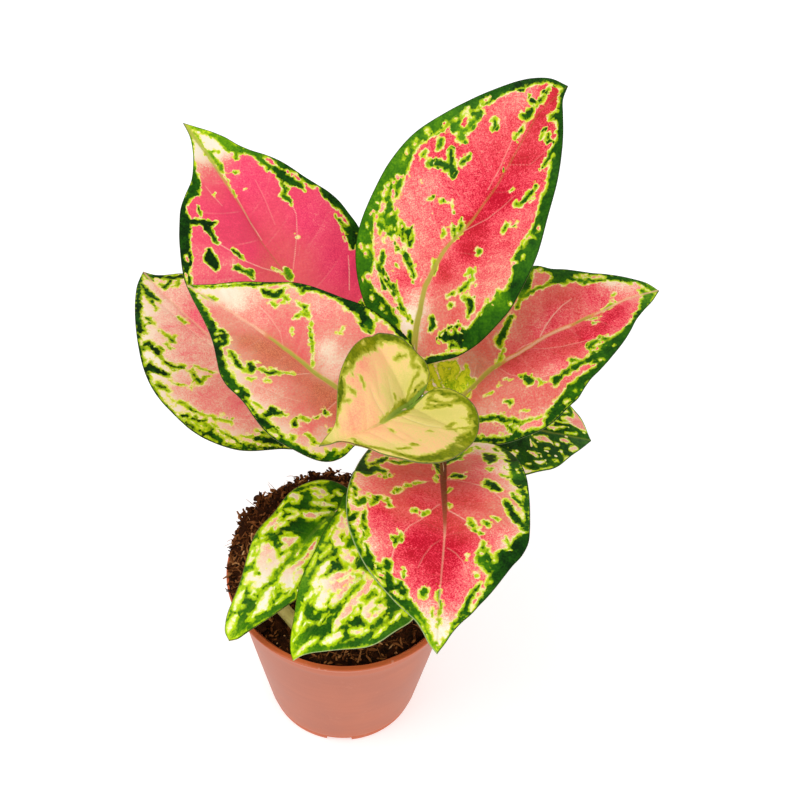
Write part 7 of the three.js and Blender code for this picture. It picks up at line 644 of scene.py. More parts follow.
def leaf_material(name, rough=0.40, young=False, rag=1.0, old=False):
    m = Nodes(name)
    fine, grain, mid, cloud = m.noise(0.27, 2, 0.6), m.noise(0.50, 3, 0.6), m.noise(1.2, 3, 0.6), m.noise(0.95, 2, 0.5, (0.8, 0.8, 0.8))

    def swing(x, k):
        return m.math("MULTIPLY", m.math("SUBTRACT", x, 0.5), k)

    g0 = m.math("ADD", m.attr("g"), m.math("ADD", swing(mid, 1.3 * rag), m.math("ADD", swing(grain, 0.9 * rag), swing(fine, 0.35 * rag))))
    hw = m.math("MULTIPLY", m.attr("hw"), m.span(cloud, 0.36, 0.64, 0.35, 1.6, "LINEAR"))
    g = m.math("DIVIDE", g0, hw)
    # the palest tissue is the smoothest
    sand = m.math("MULTIPLY", m.attr("sand"), m.span(m.attr("pt"), 0.02, 0.42, 0.22, 1.0))
    pt = m.math("MULTIPLY", sand, m.math("ADD", m.math("ADD", swing(fine, 1.1), swing(grain, 0.6)), swing(mid, 0.25)))
    pt = m.math("ADD", m.attr("pt"), pt, clamp=True)
    kt = m.math("ADD", m.attr("kt"), m.math("ADD", swing(grain, 0.55), swing(mid, 0.4)), clamp=True)
    colour = m.ramp(pt, PEACH if young else PINK)
    if not young:
        cool = m.math("MULTIPLY", m.attr("cool"), m.span(pt, 0.2, 0.7), clamp=True)
        colour = m.mix(cool, colour, srgb(246, 74, 124))
    # brown tint: partly the leaf's own colour, partly painted shade in the midrib valleys and under overlapping leaves
    brown = m.mix(m.span(fine, 0.35, 0.65), srgb(174, 84, 46), srgb(216, 138, 88))
    colour = m.mix(m.math("MULTIPLY", m.attr("brown_and_shade"), 0.85, clamp=True), colour, brown)
    # side veins, pale in the pink
    dv, vd, dm, u = m.attr("dv"), m.attr("vd"), m.attr("dm"), m.attr("uu")
    hair = m.span(fine, 0.3, 0.65, 0.35, 1.0, "LINEAR")
    faint = m.math("MULTIPLY", m.math("MULTIPLY", m.span(dv, 0.03, 0.26, 0.8, 0.0), hair), m.attr("vv"))
    vein = m.math("MULTIPLY", m.math("MULTIPLY", m.span(vd, 0.03, 0.26, 0.95, 0.0), hair), m.attr("vs"))
    pale = srgb(248, 236, 176) if young else srgb(254, 214, 184)
    colour = m.mix(faint, colour, pale)
    colour = m.mix(vein, colour, pale)
    # from pink through cream and lime into green
    if young:
        cream, lime = srgb(220, 210, 104), m.mix(m.span(mid, 0.35, 0.65), srgb(158, 160, 34), srgb(186, 184, 60))
    elif old:
        cream = m.mix(m.span(mid, 0.38, 0.62), srgb(253, 252, 190), srgb(240, 246, 96))
        lime = m.mix(m.span(grain, 0.3, 0.7), srgb(160, 206, 4), srgb(206, 236, 16))
    else:
        cream = m.mix(m.span(mid, 0.38, 0.62), srgb(250, 236, 166), srgb(228, 224, 84))
        lime = m.mix(m.span(grain, 0.36, 0.64), srgb(140, 182, 8), srgb(200, 220, 26))
    colour = m.mix(m.span(g, -0.56, -0.24), colour, cream)
    colour = m.mix(m.span(g, -0.28, 0.02), colour, lime)
    green = m.ramp(kt, OLIVE if young else GREEN)
    green = m.mix(m.math("MULTIPLY", vein, 0.5), green, srgb(150, 180, 60))
    colour = m.mix(m.span(g, 0.0, 0.46), colour, green)
    # midrib
    flank = m.math("MULTIPLY", m.span(m.math("SUBTRACT", dm, m.attr("rw")), 0.0, 0.5, 1.0, 0.0), m.math("MULTIPLY", m.attr("fl"), m.span(grain, 0.3, 0.6, 0.3, 1.0, "LINEAR")), clamp=True)
    colour = m.mix(flank, colour, srgb(206, 202, 66))
    rib = m.span(m.math("SUBTRACT", dm, m.attr("rw")), -0.10, 0.22, 1.0, 0.0)
    ribcolour = m.mix(m.span(fine, 0.4, 0.8, 0.0, 0.35), m.ramp(m.attr("rc"), RIB), srgb(150, 160, 90))
    colour = m.mix(m.math("MULTIPLY", rib, m.attr("rv")), colour, ribcolour)
    # thin margin line: a dark line along the margin, and a pale painted highlight where the edge catches light
    colour = m.mix(m.span(m.attr("de"), 0.06, 0.30, 0.75, 0.0), colour, m.ramp(m.attr("edge_line_highlight"), EDGE_LINE_AND_HIGHLIGHT))
    # the underside is paler and greyer
    back = m.mix(m.span(g, -0.3, 0.6), srgb(214, 150, 136), srgb(122, 152, 84))
    colour = m.mix(m.math("MULTIPLY", m.attr("under"), 0.55), colour, back)
    m.put(m.bsdf.inputs["Base Color"], colour)
    m.put(m.bsdf.inputs["Roughness"], m.span(grain, 0.3, 0.7, rough - 0.04, rough + 0.12, "LINEAR"))
    m.bsdf.inputs["Specular IOR Level"].default_value = 0.05
    h = m.math("ADD", m.math("MULTIPLY", m.cells(0.34), 0.6), m.math("MULTIPLY", fine, 0.6))
    m.bump(h, 0.20, 0.10)
    return m.mat


def stalk_material(name, base, tip, dark, rough=0.42):
    m = Nodes(name)
    n = m.noise(0.5, 3, 0.6)
    mott = m.noise(2.2, 3)
    c = m.mix(m.span(m.attr("t"), 0.0, 1.0), base, tip)
    c = m.mix(m.span(mott, 0.45, 0.75, 0.0, 0.6), c, dark)
    c = m.mix(m.span(n, 0.5, 0.8, 0.0, 0.35), c, srgb(222, 214, 150))
    m.put(m.bsdf.inputs["Base Color"], c)
    m.put(m.bsdf.inputs["Roughness"], m.span(n, 0.2, 0.8, rough - 0.06, rough + 0.1, "LINEAR"))
    m.bump(m.math("ADD", n, m.math("MULTIPLY", m.noise(0.18, 1), 0.4)), 0.3, 0.12)
    return m.mat


def pot_material():
    m = Nodes("terracotta_plastic")
    broad, fine = m.noise(16, 2), m.noise(0.35, 2)
    rings = m.noise(1.6, 2, 0.5, (0.06, 0.06, 1.0))
    c = m.mix(m.span(broad, 0.3, 0.7), srgb(176, 91, 58), srgb(187, 101, 68))
    c = m.mix(m.span(rings, 0.35, 0.75, 0.0, 0.20), c, srgb(164, 80, 50))
    c = m.mix(m.span(fine, 0.55, 0.85, 0.0, 0.25), c, srgb(202, 122, 92))
    # painted highlight: the rim top, the band under the lip and the foot are a lighter orange, and at the foot this
    # also stands for light reflected from the floor
    c = m.mix(m.attr("edge_highlight"), c, srgb(204, 98, 46))
    scuff = m.math("MULTIPLY", m.span(m.noise(3.5, 4, 0.7), 0.60, 0.74), m.attr("wear"))
    c = m.mix(m.math("MULTIPLY", scuff, 0.6), c, srgb(222, 160, 138))
    m.put(m.bsdf.inputs["Base Color"], c)
    m.put(m.bsdf.inputs["Roughness"], m.math("ADD", m.span(broad, 0.3, 0.7, 0.40, 0.47, "LINEAR"), m.math("MULTIPLY", scuff, 0.2)))
    m.bsdf.inputs["Specular IOR Level"].default_value = 0.36
    m.bump(m.math("ADD", m.math("MULTIPLY", rings, 0.6), m.math("MULTIPLY", fine, 0.3)), 0.15, 0.10)
    return m.mat


def soil_material():
    m = Nodes("coir_and_peat")
    n, f = m.noise(1.2, 4, 0.6), m.noise(0.3, 2)
    c = m.ramp(m.math("ADD", m.attr("tone"), m.math("MULTIPLY", m.math("SUBTRACT", n, 0.5), 0.35), clamp=True), [
        (0, srgb(22, 10, 4)), (0.25, srgb(62, 31, 12)), (0.5, srgb(112, 65, 30)), (0.75, srgb(168, 112, 64)), (1, srgb(222, 178, 124))])
    c = m.mix(m.span(f, 0.55, 0.8, 0.0, 0.35), c, srgb(116, 78, 50))
    m.put(m.bsdf.inputs["Base Color"], c)
    m.bsdf.inputs["Roughness"].default_value = 0.86
    m.bsdf.inputs["Specular IOR Level"].default_value = 0.06
    m.bump(m.math("ADD", n, m.math("MULTIPLY", f, 0.6)), 0.7, 0.35)
    return m.mat


# ------------------------------------------------------------------ pot
def build_pot():
    lip = POT_H - LIP_H
    prof = [(PAD_R - 0.4, 0, 0), (PAD_R, 0.4, 0), (PAD_R, FLOOR_LOW - 0.3, 0), (PAD_R + 0.3, FLOOR_LOW, 0), (10, FLOOR_LOW, 0), (FOOT_IN_R - 0.3, FLOOR_LOW, 0),
            (FOOT_IN_R, FLOOR_LOW - 0.3, 0), (FOOT_IN_R, 0.35, 1), (FOOT_IN_R + 0.35, 0, 1), (18.3, 0, 1), (FOOT_R - 0.4, 0, 1), (FOOT_R - 0.12, 0.12, 1), (FOOT_R, 0.4, 1),
            (FOOT_R + 0.05, 1.0, 1), (FOOT_R + 0.1, 2.2, 0), (FOOT_R + 0.12, 2.5, 0), (FOOT_R + 0.3, 2.85, 0), (BODY_LOW_R - 0.15, 2.98, 0), (BODY_LOW_R, 3.15, 0)]
    for i in range(1, 60):
        f = i / 60
        zf = 3.15 + (lip - 0.1 - 3.15) * f
        prof.append((BODY_LOW_R + (BODY_TOP_R - BODY_LOW_R) * f + 0.10 * math.sin(PI * f) + 0.09 * float(step(zf, 43.4, 44.6)), zf, 0))
    prof += [(BODY_TOP_R, lip - 0.1, 0), (BODY_TOP_R + 0.12, lip + 0.04, 0), (RIM_R - 1.1, lip + 0.16, 0), (RIM_R - 0.92, lip + 0.28, 0), (RIM_R - 0.84, lip + 0.5, 0),
             (RIM_R - 0.5, lip + 1.2, 0), (RIM_R - 0.14, POT_H - 0.8, 0), (RIM_R - 0.02, POT_H - 0.5, 0), (RIM_R, POT_H - 0.33, 0), (RIM_R - 0.07, POT_H - 0.13, 0), (RIM_R - 0.26, POT_H - 0.02, 0),
             (RIM_R - 0.5, POT_H, 0), (RIM_R - 1.1, POT_H, 0), (RIM_R - 1.36, POT_H - 0.06, 0), (RIM_R - 1.5, POT_H - 0.3, 0), (BODY_TOP_R - WALL + 0.05, lip + 0.1, 0), (BODY_TOP_R - WALL, lip - 0.5, 0)]
    for i in range(1, 8):
        f = i / 8
        prof.append((BODY_TOP_R - WALL + (BODY_LOW_R - BODY_TOP_R) * f, lip - 0.5 + (FLOOR_TOP + 0.8 - lip + 0.5) * f, 0))
    prof += [(BODY_LOW_R - WALL, FLOOR_TOP + 0.8, 0), (BODY_LOW_R - WALL - 0.25, FLOOR_TOP + 0.25, 0), (BODY_LOW_R - WALL - 0.8, FLOOR_TOP, 0), (10, FLOOR_TOP, 0)]
    # columns: extra ones at the sides of each gap in the foot ring
    ang = set(np.round(np.arange(0, 360, 1.875), 4))
    half = math.degrees(math.asin(NOTCH_W / 2 / FOOT_R))
    for c in (-90, 0, 90, 180):
        for k in (-half - 0.25, -half + 0.25, half - 0.25, half + 0.25):
            ang.add(round((c + k) % 360, 4))
    ang = np.radians(sorted(ang))
    n = len(ang)
    V, wear, edge_highlight = [], [], []
    for r, z, foot in prof:
        for a in ang:
            zz = z
            if foot:
                off = min(abs((math.degrees(a) - c + 180) % 360 - 180) for c in (-90, 0, 90, 180))
                if off < half:
                    zz = max(z, NOTCH_H)
            V.append((r * math.cos(a), r * math.sin(a), zz))
            wear.append(max(0.0, 1 - abs(zz - POT_H) / 6) + max(0.0, 1 - zz / 6) + 0.25)
            # painted highlight: lighter orange on the rim top, the band under the lip and the foot; at the foot it also
            # stands for light reflected from the floor
            band = 0.42 * float(step(zz, 43.6, 45.2)) * (r > BODY_TOP_R - 0.7)
            low = 0.30 * (1 - float(step(zz, 3.0, 8.0)))
            edge_highlight.append(0.8 if (r > RIM_R - 1.55 and zz > POT_H - 0.5) else 0.7 if zz < 3.0 and r > FOOT_IN_R else max(band, low))
    F = []
    for i in range(len(prof) - 1):
        for j in range(n):
            k = (j + 1) % n
            F.append((i * n + j, i * n + k, (i + 1) * n + k, (i + 1) * n + j))
    b, t = len(V), len(V) + 1
    V += [(0, 0, 0), (0, 0, FLOOR_TOP)]
    wear += [1, 0]
    edge_highlight += [0, 0]
    e = (len(prof) - 1) * n
    for j in range(n):
        k = (j + 1) % n
        F += [(b, k, j), (t, e + j, e + k)]
    ob = make_mesh("pot_shell", V, F, {"wear": np.clip(wear, 0, 1), "edge_highlight": edge_highlight})
    # drain holes through the floor
    bm = bmesh.new()
    for i in range(4):
        a = PI / 4 + i * PI / 2
        bmesh.ops.create_cone(bm, cap_ends=True, segments=40, radius1=DRAIN_R * MM, radius2=DRAIN_R * MM, depth=6 * MM,
                              matrix=Matrix.Translation(Vector((DRAIN_PCR * math.cos(a), DRAIN_PCR * math.sin(a), 2.35)) * MM))
    cm = bpy.data.meshes.new("cut")
    bm.to_mesh(cm)
    bm.free()
    cut = bpy.data.objects.new("cut", cm)
    bpy.context.scene.collection.objects.link(cut)
    mod = ob.modifiers.new("holes", "BOOLEAN")
    mod.operation = "DIFFERENCE"
    mod.object = cut
    mod.solver = "EXACT"
    bpy.context.view_layer.update()
    me = bpy.data.meshes.new_from_object(ob.evaluated_get(bpy.context.evaluated_depsgraph_get()))
    ob.modifiers.clear()
    ob.data = me
    bpy.data.objects.remove(cut)
    sharpen(ob, 40)
    ob.data.materials.clear()
    ob.data.materials.append(pot_material())
    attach(ob, "root")
    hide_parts("nursery_pot")
    return ob


# ------------------------------------------------------------------ soil
def soil_z(x, y):
    R = 27.2
    r = np.hypot(x, y) / R
    az = np.degrees(np.arctan2(y, x)) % 360
    P = np.stack([x, y], 1)
    heap = step(az, 55, 95) * (1 - step(az, 195, 230))
    z = 48.8 + 1.9 * (1 - r * r) + 0.5 * (y / R + 1) + 0.5 * np.clip(-x / R, 0, 1) * r + 2.3 * heap * step(r, 0.4, 0.95)
    z = z + 0.95 * fbm(P, 5.0, 11, 2) + 0.8 * fbm(P, 1.7, 12, 3)
    return z - 0.4 * step(r, 0.93, 1.0) * np.clip(1 - (y / R + 1) * 0.5, 0, 1) * (1 - heap)


def build_soil():
    rng = np.random.RandomState(7)
    R0 = 27.2
    nr, na = 78, 230
    V, F, T = [], [], []
    a = np.arange(na) * 2 * PI / na
    rr = np.concatenate([np.linspace(1.0 / nr, 1, nr)]) * R0
    for r in rr:
        x, y = r * np.cos(a), r * np.sin(a)
        V += list(np.stack([x, y, soil_z(x, y)], 1))
    low = [(R0 - 0.1, 47.4), (27.0, 46.5), (19.1, 4.6), (18.3, 3.4)]
    for r, z in low:
        V += list(np.stack([r * np.cos(a), r * np.sin(a), np.full(na, z)], 1))
    rows = nr + len(low)
    for i in range(rows - 1):
        for j in range(na):
            k = (j + 1) % na
            F.append((i * na + j, (i + 1) * na + j, (i + 1) * na + k, i * na + k))
    c0, c1 = len(V), len(V) + 1
    V += [np.array([0, 0, float(soil_z(np.zeros(1), np.zeros(1))[0])]), np.array([0, 0, 3.4])]
    for j in range(na):
        k = (j + 1) % na
        F += [(c0, j, k), (c1, (rows - 1) * na + k, (rows - 1) * na + j)]
    V = [np.asarray(v, float) for v in V]
    P = np.array(V)
    T = list(np.clip(0.12 + 0.22 * fbm(P[:, :2], 1.4, 15, 3) + 0.08 * (P[:, 2] - 50) / 2, 0.0, 0.5))

    def add(vs, fs, tone):
        o = len(V)
        V.extend(vs)
        F.extend([tuple(o + i for i in f) for f in fs])
        T.extend([tone] * len(vs) if np.isscalar(tone) else list(tone))

    # the heap spills over the rim at the back and left
    def heap(deg):
        lump = 0.5 * math.sin(deg * 0.37 + 1.1) + 0.4 * math.sin(deg * 0.83) + 0.3 * math.sin(deg * 1.7 + 2.0)
        mid = step(deg, 70, 95) * (1 - step(deg, 152, 178))
        out = 29.35 + (1.35 + 0.75 * lump) * mid
        top = 51.75 + (1.5 + 0.9 * lump) * step(deg, 75, 100) * (1 - step(deg, 152, 185))
        full = 0.06 + 0.94 * step(deg, 58, 84) * (1 - step(deg, 204, 226))
        return out, top, full

    n1, n2 = 190, 24
    ring = []
    for i in range(n1):
        deg = 58 + 168 * i / (n1 - 1)
        out, top, full = heap(deg)
        az, r0, r1 = math.radians(deg), 25.0, out
        cr, half = (r0 + r1) / 2, (r1 - r0) / 2 * (0.4 + 0.6 * full)
        ph = np.arange(n2) * 2 * PI / n2
        lump = 1 + 0.26 * fbm(np.stack([np.full(n2, az * 28), 3.1 * np.cos(ph), 3.1 * np.sin(ph)], 1), 1.7, 21, 3)
        rad = cr + half * np.cos(ph) * lump
        zz = 50.95 + np.where(np.sin(ph) > 0, (top - 50.95) * full, 0.5) * np.sin(ph) * lump
        ring += list(np.stack([rad * math.cos(az), rad * math.sin(az), zz], 1))
    fs = []
    for i in range(n1 - 1):
        for j in range(n2):
            k = (j + 1) % n2
            fs.append((i * n2 + j, i * n2 + k, (i + 1) * n2 + k, (i + 1) * n2 + j))
    fs += [tuple(range(n2))[::-1], tuple((n1 - 1) * n2 + j for j in range(n2))]
    ring = np.array(ring)
    add(list(ring), fs, np.clip(0.14 + 0.24 * fbm(ring, 1.3, 23, 2), 0, 0.5))

    # crumbs and chips
    ico = bmesh.new()
    bmesh.ops.create_icosphere(ico, subdivisions=1, radius=1.0)
    ico.verts.ensure_lookup_table()
    IV = np.array([v.co[:] for v in ico.verts])
    IF = [tuple(v.index for v in f.verts) for f in ico.faces]
    ico.free()
    for n in range(1900):
        rad = R0 * math.sqrt(rng.uniform(0.0, 0.985))
        an = rng.uniform(0, 2 * PI)
        x, y = rad * math.cos(an), rad * math.sin(an)
        big = rng.uniform() ** 2.0
        size = np.array([0.32 + 1.15 * big, (0.18 + 0.42 * big) * rng.uniform(0.6, 1), (0.14 + 0.26 * big) * rng.uniform(0.6, 1)])
        v = IV * size * (1 + 0.30 * rng.uniform(-1, 1, (len(IV), 1)))
        q = Matrix.Rotation(rng.uniform(0, 2 * PI), 3, "Z") @ Matrix.Rotation(rng.normal(0, 0.5), 3, "X") @ Matrix.Rotation(rng.normal(0, 0.5), 3, "Y")
        v = v @ np.array(q).T
        z = float(soil_z(np.array([x]), np.array([y]))[0])
        m = np.hypot(v[:, 0] + x, v[:, 1] + y).max()
        if m > 27.6:
            x, y = x * 26.4 / m, y * 26.4 / m
        add(list(v + [x, y, z + 0.25 * size[2]]), IF, float(np.clip(rng.normal(0.42, 0.20), 0.04, 0.95)))
    for n in range(520):
        deg = rng.uniform(64, 220)
        out, top, full = heap(deg)
        ph, az = rng.uniform(-0.2, 3.0), math.radians(deg)
        rad = (25 + out) / 2 + (out - 25) / 2 * math.cos(ph)
        z = 50.95 + (top - 50.95) * full * math.sin(ph)
        big = rng.uniform() ** 1.6
        size = np.array([0.4 + 1.0 * big, (0.2 + 0.36 * big) * rng.uniform(0.6, 1), (0.15 + 0.25 * big) * rng.uniform(0.6, 1)])
        v = IV * size * (1 + 0.30 * rng.uniform(-1, 1, (len(IV), 1)))
        q = Matrix.Rotation(rng.uniform(0, 2 * PI), 3, "Z") @ Matrix.Rotation(rng.normal(0, 0.6), 3, "X") @ Matrix.Rotation(rng.normal(0, 0.6), 3, "Y")
        add(list(v @ np.array(q).T + [rad * math.cos(az), rad * math.sin(az), max(z, 51.2)]), IF, float(np.clip(rng.normal(0.34, 0.16), 0.04, 0.8)))

    # coir: shreds and thin fibres lying on the mix, tufts of them along the heap
    def fibre(p0, head, length, r, lift, tone, bend, blunt=0.55, sides=5):
        n = 9
        pts, d = [np.array(p0, float)], np.array([math.cos(head), math.sin(head), lift])
        d /= np.linalg.norm(d)
        turn = rng.normal(0, bend)
        for i in range(n - 1):
            c, s = math.cos(turn / n), math.sin(turn / n)
            d = np.array([d[0] * c - d[1] * s, d[0] * s + d[1] * c, d[2] + rng.normal(0, 0.10) - 0.03])
            d /= np.linalg.norm(d)
            q = pts[-1] + d * length / (n - 1)
            rq = math.hypot(q[0], q[1])
            lim = 29.6 if q[2] < 51.3 else 33.2
            if q[2] < 51.3 and rq > 27.0:
                q[2] = max(q[2], 50.2) if rq < 28.3 else 51.35
            if rq > lim:
                q[:2] *= lim / rq
            if rq < 27.2:
                zz = float(soil_z(np.array([q[0]]), np.array([q[1]]))[0]) + r * 0.7
                q[2] = max(q[2], zz)
                if lift < 0.15:
                    q[2] = min(q[2], zz + 0.9)
            pts.append(q)
        Pp = smooth_path(pts, 10)
        Tt, N, B = frames_along(Pp, (0.1, 0.2, 1))
        k = sides
        aa = np.arange(k) * 2 * PI / k
        vs = []
        for i in range(len(Pp)):
            t = i / (len(Pp) - 1)
            rr2 = r * (1 - blunt * t * t) * (0.55 + 0.45 * min(1.0, t / 0.15))
            flat = 0.55 if r > 0.15 else 1.0
            vs += list(Pp[i] + rr2 * (np.cos(aa)[:, None] * N[i] * flat + np.sin(aa)[:, None] * B[i]))
        fs = []
        for i in range(len(Pp) - 1):
            for j in range(k):
                fs.append((i * k + j, i * k + (j + 1) % k, (i + 1) * k + (j + 1) % k, (i + 1) * k + j))
        fs += [tuple(range(k))[::-1], tuple((len(Pp) - 1) * k + j for j in range(k))]
        add(vs, fs, tone)

    for n in range(330):
        rad, an = R0 * math.sqrt(rng.uniform(0.02, 0.96)), rng.uniform(0, 2 * PI)
        x, y = rad * math.cos(an), rad * math.sin(an)
        z = float(soil_z(np.array([x]), np.array([y]))[0]) + 0.1
        wide = rng.uniform() < 0.62
        fibre((x, y, z), rng.uniform(0, 2 * PI), rng.uniform(1.4, 4.6) if wide else rng.uniform(3, 8), rng.uniform(0.16, 0.42) if wide else rng.uniform(0.06, 0.12),
              rng.uniform(-0.1, 0.14), float(np.clip(rng.normal(0.56, 0.16), 0.2, 0.95)), 1.4, 0.6)
    for n in range(300):
        deg = rng.uniform(66, 216)
        out, top, full = heap(deg)
        ph, az = rng.uniform(0.1, 2.9), math.radians(deg)
        rad = (25 + out) / 2 + (out - 25) / 2 * math.cos(ph)
        z = max(51.4, 51.1 + (top - 50.95) * full * math.sin(ph))
        fibre((rad * math.cos(az), rad * math.sin(az), z), az + PI / 2 * rng.choice([-1, 1]) + rng.normal(0, 0.6), rng.uniform(1.0, 3.2), rng.uniform(0.16, 0.42),
              rng.uniform(-0.2, 0.15), float(np.clip(rng.normal(0.48, 0.17), 0.1, 0.9)), 1.4, 0.6)
    for deg, size in ((86, 1.0), (99, 0.7), (108, 1.0), (117, 0.6), (127, 1.1), (131, 0.9), (140, 1.2), (149, 0.8), (153, 1.1), (164, 0.6), (181, 0.45)):
        out, top, full = heap(deg)
        for n in range(int(6 + 7 * size)):
            az = math.radians(deg + rng.normal(0, 1.7))
            rad = out - rng.uniform(0.2, 2.0)
            fibre((rad * math.cos(az), rad * math.sin(az), max(51.5, top - rng.uniform(0.2, 1.2))), az + rng.normal(0, 1.0), rng.uniform(0.8, 2.1) * size,
                  rng.uniform(0.34, 0.68) * (0.6 + 0.4 * size), rng.uniform(0.0, 0.9), float(np.clip(rng.normal(0.38, 0.15), 0.08, 0.75)), 2.2, 0.3, 6)
    for n in range(16):
        deg = rng.uniform(80, 200)
        out, top, full = heap(deg)
        az, rad = math.radians(deg), out - 0.8
        fibre((rad * math.cos(az), rad * math.sin(az), max(51.5, top - 0.6)), az + rng.normal(0, 0.9), rng.uniform(2.0, 4.4), rng.uniform(0.05, 0.09),
              rng.uniform(0.1, 0.9), float(np.clip(rng.normal(0.75, 0.12), 0.5, 1.0)), 1.4)
    ob = make_mesh("soil_mix", V, F, {"tone": T})
    ob.data.materials.append(soil_material())
    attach(ob, "root")
    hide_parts("potting_soil")
    return ob


# ------------------------------------------------------------------ stem, stalks, stub
def stem_point(z):
    P = smooth_path(STEM_AXIS, 400)
    i = int(np.argmin(np.abs(P[:, 2] - z)))
    T = P[min(i + 1, 399)] - P[max(i - 1, 0)]
    return P[i], T / np.linalg.norm(T), STEM_R_LOW + (STEM_R_TOP - STEM_R_LOW) * i / 399


def build_stem():
    P = smooth_path(STEM_AXIS, 150)
    P = P[P[:, 2] > 42]
    scars = [47.5, 51.5] + [s[0] - 1.2 for s in STALKS.values() if s[0]]
    rng = np.random.RandomState(3)

    def ring(i, a):
        z = P[i, 2]
        r = STEM_R_LOW + (STEM_R_TOP - STEM_R_LOW) * (z - 38) / 53
        for c in scars:
            r += 0.28 * math.exp(-((z - c) / 0.35) ** 2) - 0.12 * math.exp(-((z - c - 0.9) / 0.5) ** 2)
        return r * (1 + 0.03 * np.cos(2 * a + z * 0.11) + 0.015 * np.sin(5 * a + z * 0.3))

    V, F, S, _ = rod(P, ring)
    ob = make_mesh("cane", V, F, {"t": S})
    m = stalk_material("cane_skin", srgb(134, 138, 84), srgb(150, 172, 84), srgb(96, 108, 52), 0.5)
    ob.data.materials.append(m)
    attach(ob, "root")
    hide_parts("main_stem")
    return ob


def build_stalk(leaf, mat):
    z, az, rise, bow = STALKS[leaf["id"]]
    bow = np.array(bow, float)
    along, up = np.array(leaf["along"]), np.array(leaf["up"])
    m0 = float(midrib_w(leaf, 0.6))
    end = leaf_point(leaf, 0.6, m0, -(0.35 + 0.32 + 0.95 + 0.15))
    goes = along * math.sqrt(1 - rise * rise) + up * rise
    if z is None:
        P = smooth_path(STEM_AXIS, 400)
        t = P[-1] - P[-2]
        t /= np.linalg.norm(t)
        start, lean, out = P[-1] + t * 1.07, t, np.array([math.cos(math.radians(az)), math.sin(math.radians(az)), 0])
        root = P[-1] - t * 3.0
    else:
        p, t, r = stem_point(z)
        out = np.array([math.cos(math.radians(az)), math.sin(math.radians(az)), 0])
        start = p + out * (r + 1.55 + 0.57)
        lean = t + out * 0.25
        lean /= np.linalg.norm(lean)
        root = p + out * (r - 0.4) - t * 4.5
    d = np.linalg.norm(end - start)
    B = bezier([start, start + lean * d * 0.42 + bow, end - goes * d * 0.36 + bow, end], 24)
    # the stalk's end runs on under the blade as its keel
    keel = [leaf_point(leaf, s, float(midrib_w(leaf, s)), -l) for s, l in ((2.2, 0.85), (4.6, 0.62), (7.5, 0.42))]
    P = smooth_path([root] + list(B[1:-1:3]) + [B[-1] + (keel[0] - B[-1]) * 0.25] + keel, 70)
    n = len(P) - 1

    def ring(i, a):
        t = i / n
        r = 1.5 + (0.9 - 1.5) * step(t, 0.0, 0.75)
        r = r * (1 - 0.52 * step(t, 0.86, 1.0))
        sheath = 1 - step(t, 0.0, 0.30)
        wide = 1 + (0.55 * sheath) * np.abs(np.sin(a)) ** 1.5
        groove = (0.10 + 0.22 * sheath) * np.exp(-((a - PI) / 0.55) ** 2)
        return r * wide * (1 - groove)

    V, F, S, _ = rod(P, ring, out)
    ob = make_mesh("stalk_" + leaf["id"], V, F, {"t": S})
    ob.data.materials.append(mat)
    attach(ob, "root")
    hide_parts("leaf_stalk_" + leaf["id"])
    return ob


def build_stub():
    P = smooth_path([(-7.9, -18.5, 49.9)] + STUB_AXIS, 60) + np.array([-0.55, -0.55, 0.1])
    n = len(P) - 1

    def ring(i, a):
        t = i / n
        r = 2.15 * (1 - 0.14 * t)
        return r * (1 + 0.10 * np.cos(2 * a + 0.6) + 0.05 * np.cos(7 * a + 3 * t) + 0.06 * math.sin(9 * t)) * (1 - 0.25 * step(t, 0.93, 1.0))

    V, F, S, _ = rod(P, ring)
    ob = make_mesh("dry_stub", V, F, {"t": S})
    ob.data.materials.append(stalk_material("dry_stub_skin", srgb(206, 200, 104), srgb(188, 168, 92), srgb(150, 128, 58), 0.62))
    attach(ob, "root")
    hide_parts("old_stalk_stub")
    return ob


# ------------------------------------------------------------------ leaves
NU, NV = 230, 72


def vein_fields(leaf, U, Vv, length):
    """distance in mm to the nearest side vein, and the vein phase."""
    n = leaf.get("veins", 7)
    lean = leaf.get("lean", 0.19)
    dv = np.full(U.shape, 9.0)
    t = np.abs(Vv)
    phi = U - lean * (1 - 0.35 * U) * (0.60 * t + 0.40 * t * t)
    for side in (1, -1):
        on = (Vv > 0) if side > 0 else (Vv <= 0)
        for i in range(n):
            u0 = 0.03 + 0.80 * ((i + (0.25 if side > 0 else 0.0)) / n)
            dv = np.where(on, np.minimum(dv, np.abs(phi - u0) * length * 0.80), dv)
    return dv, phi


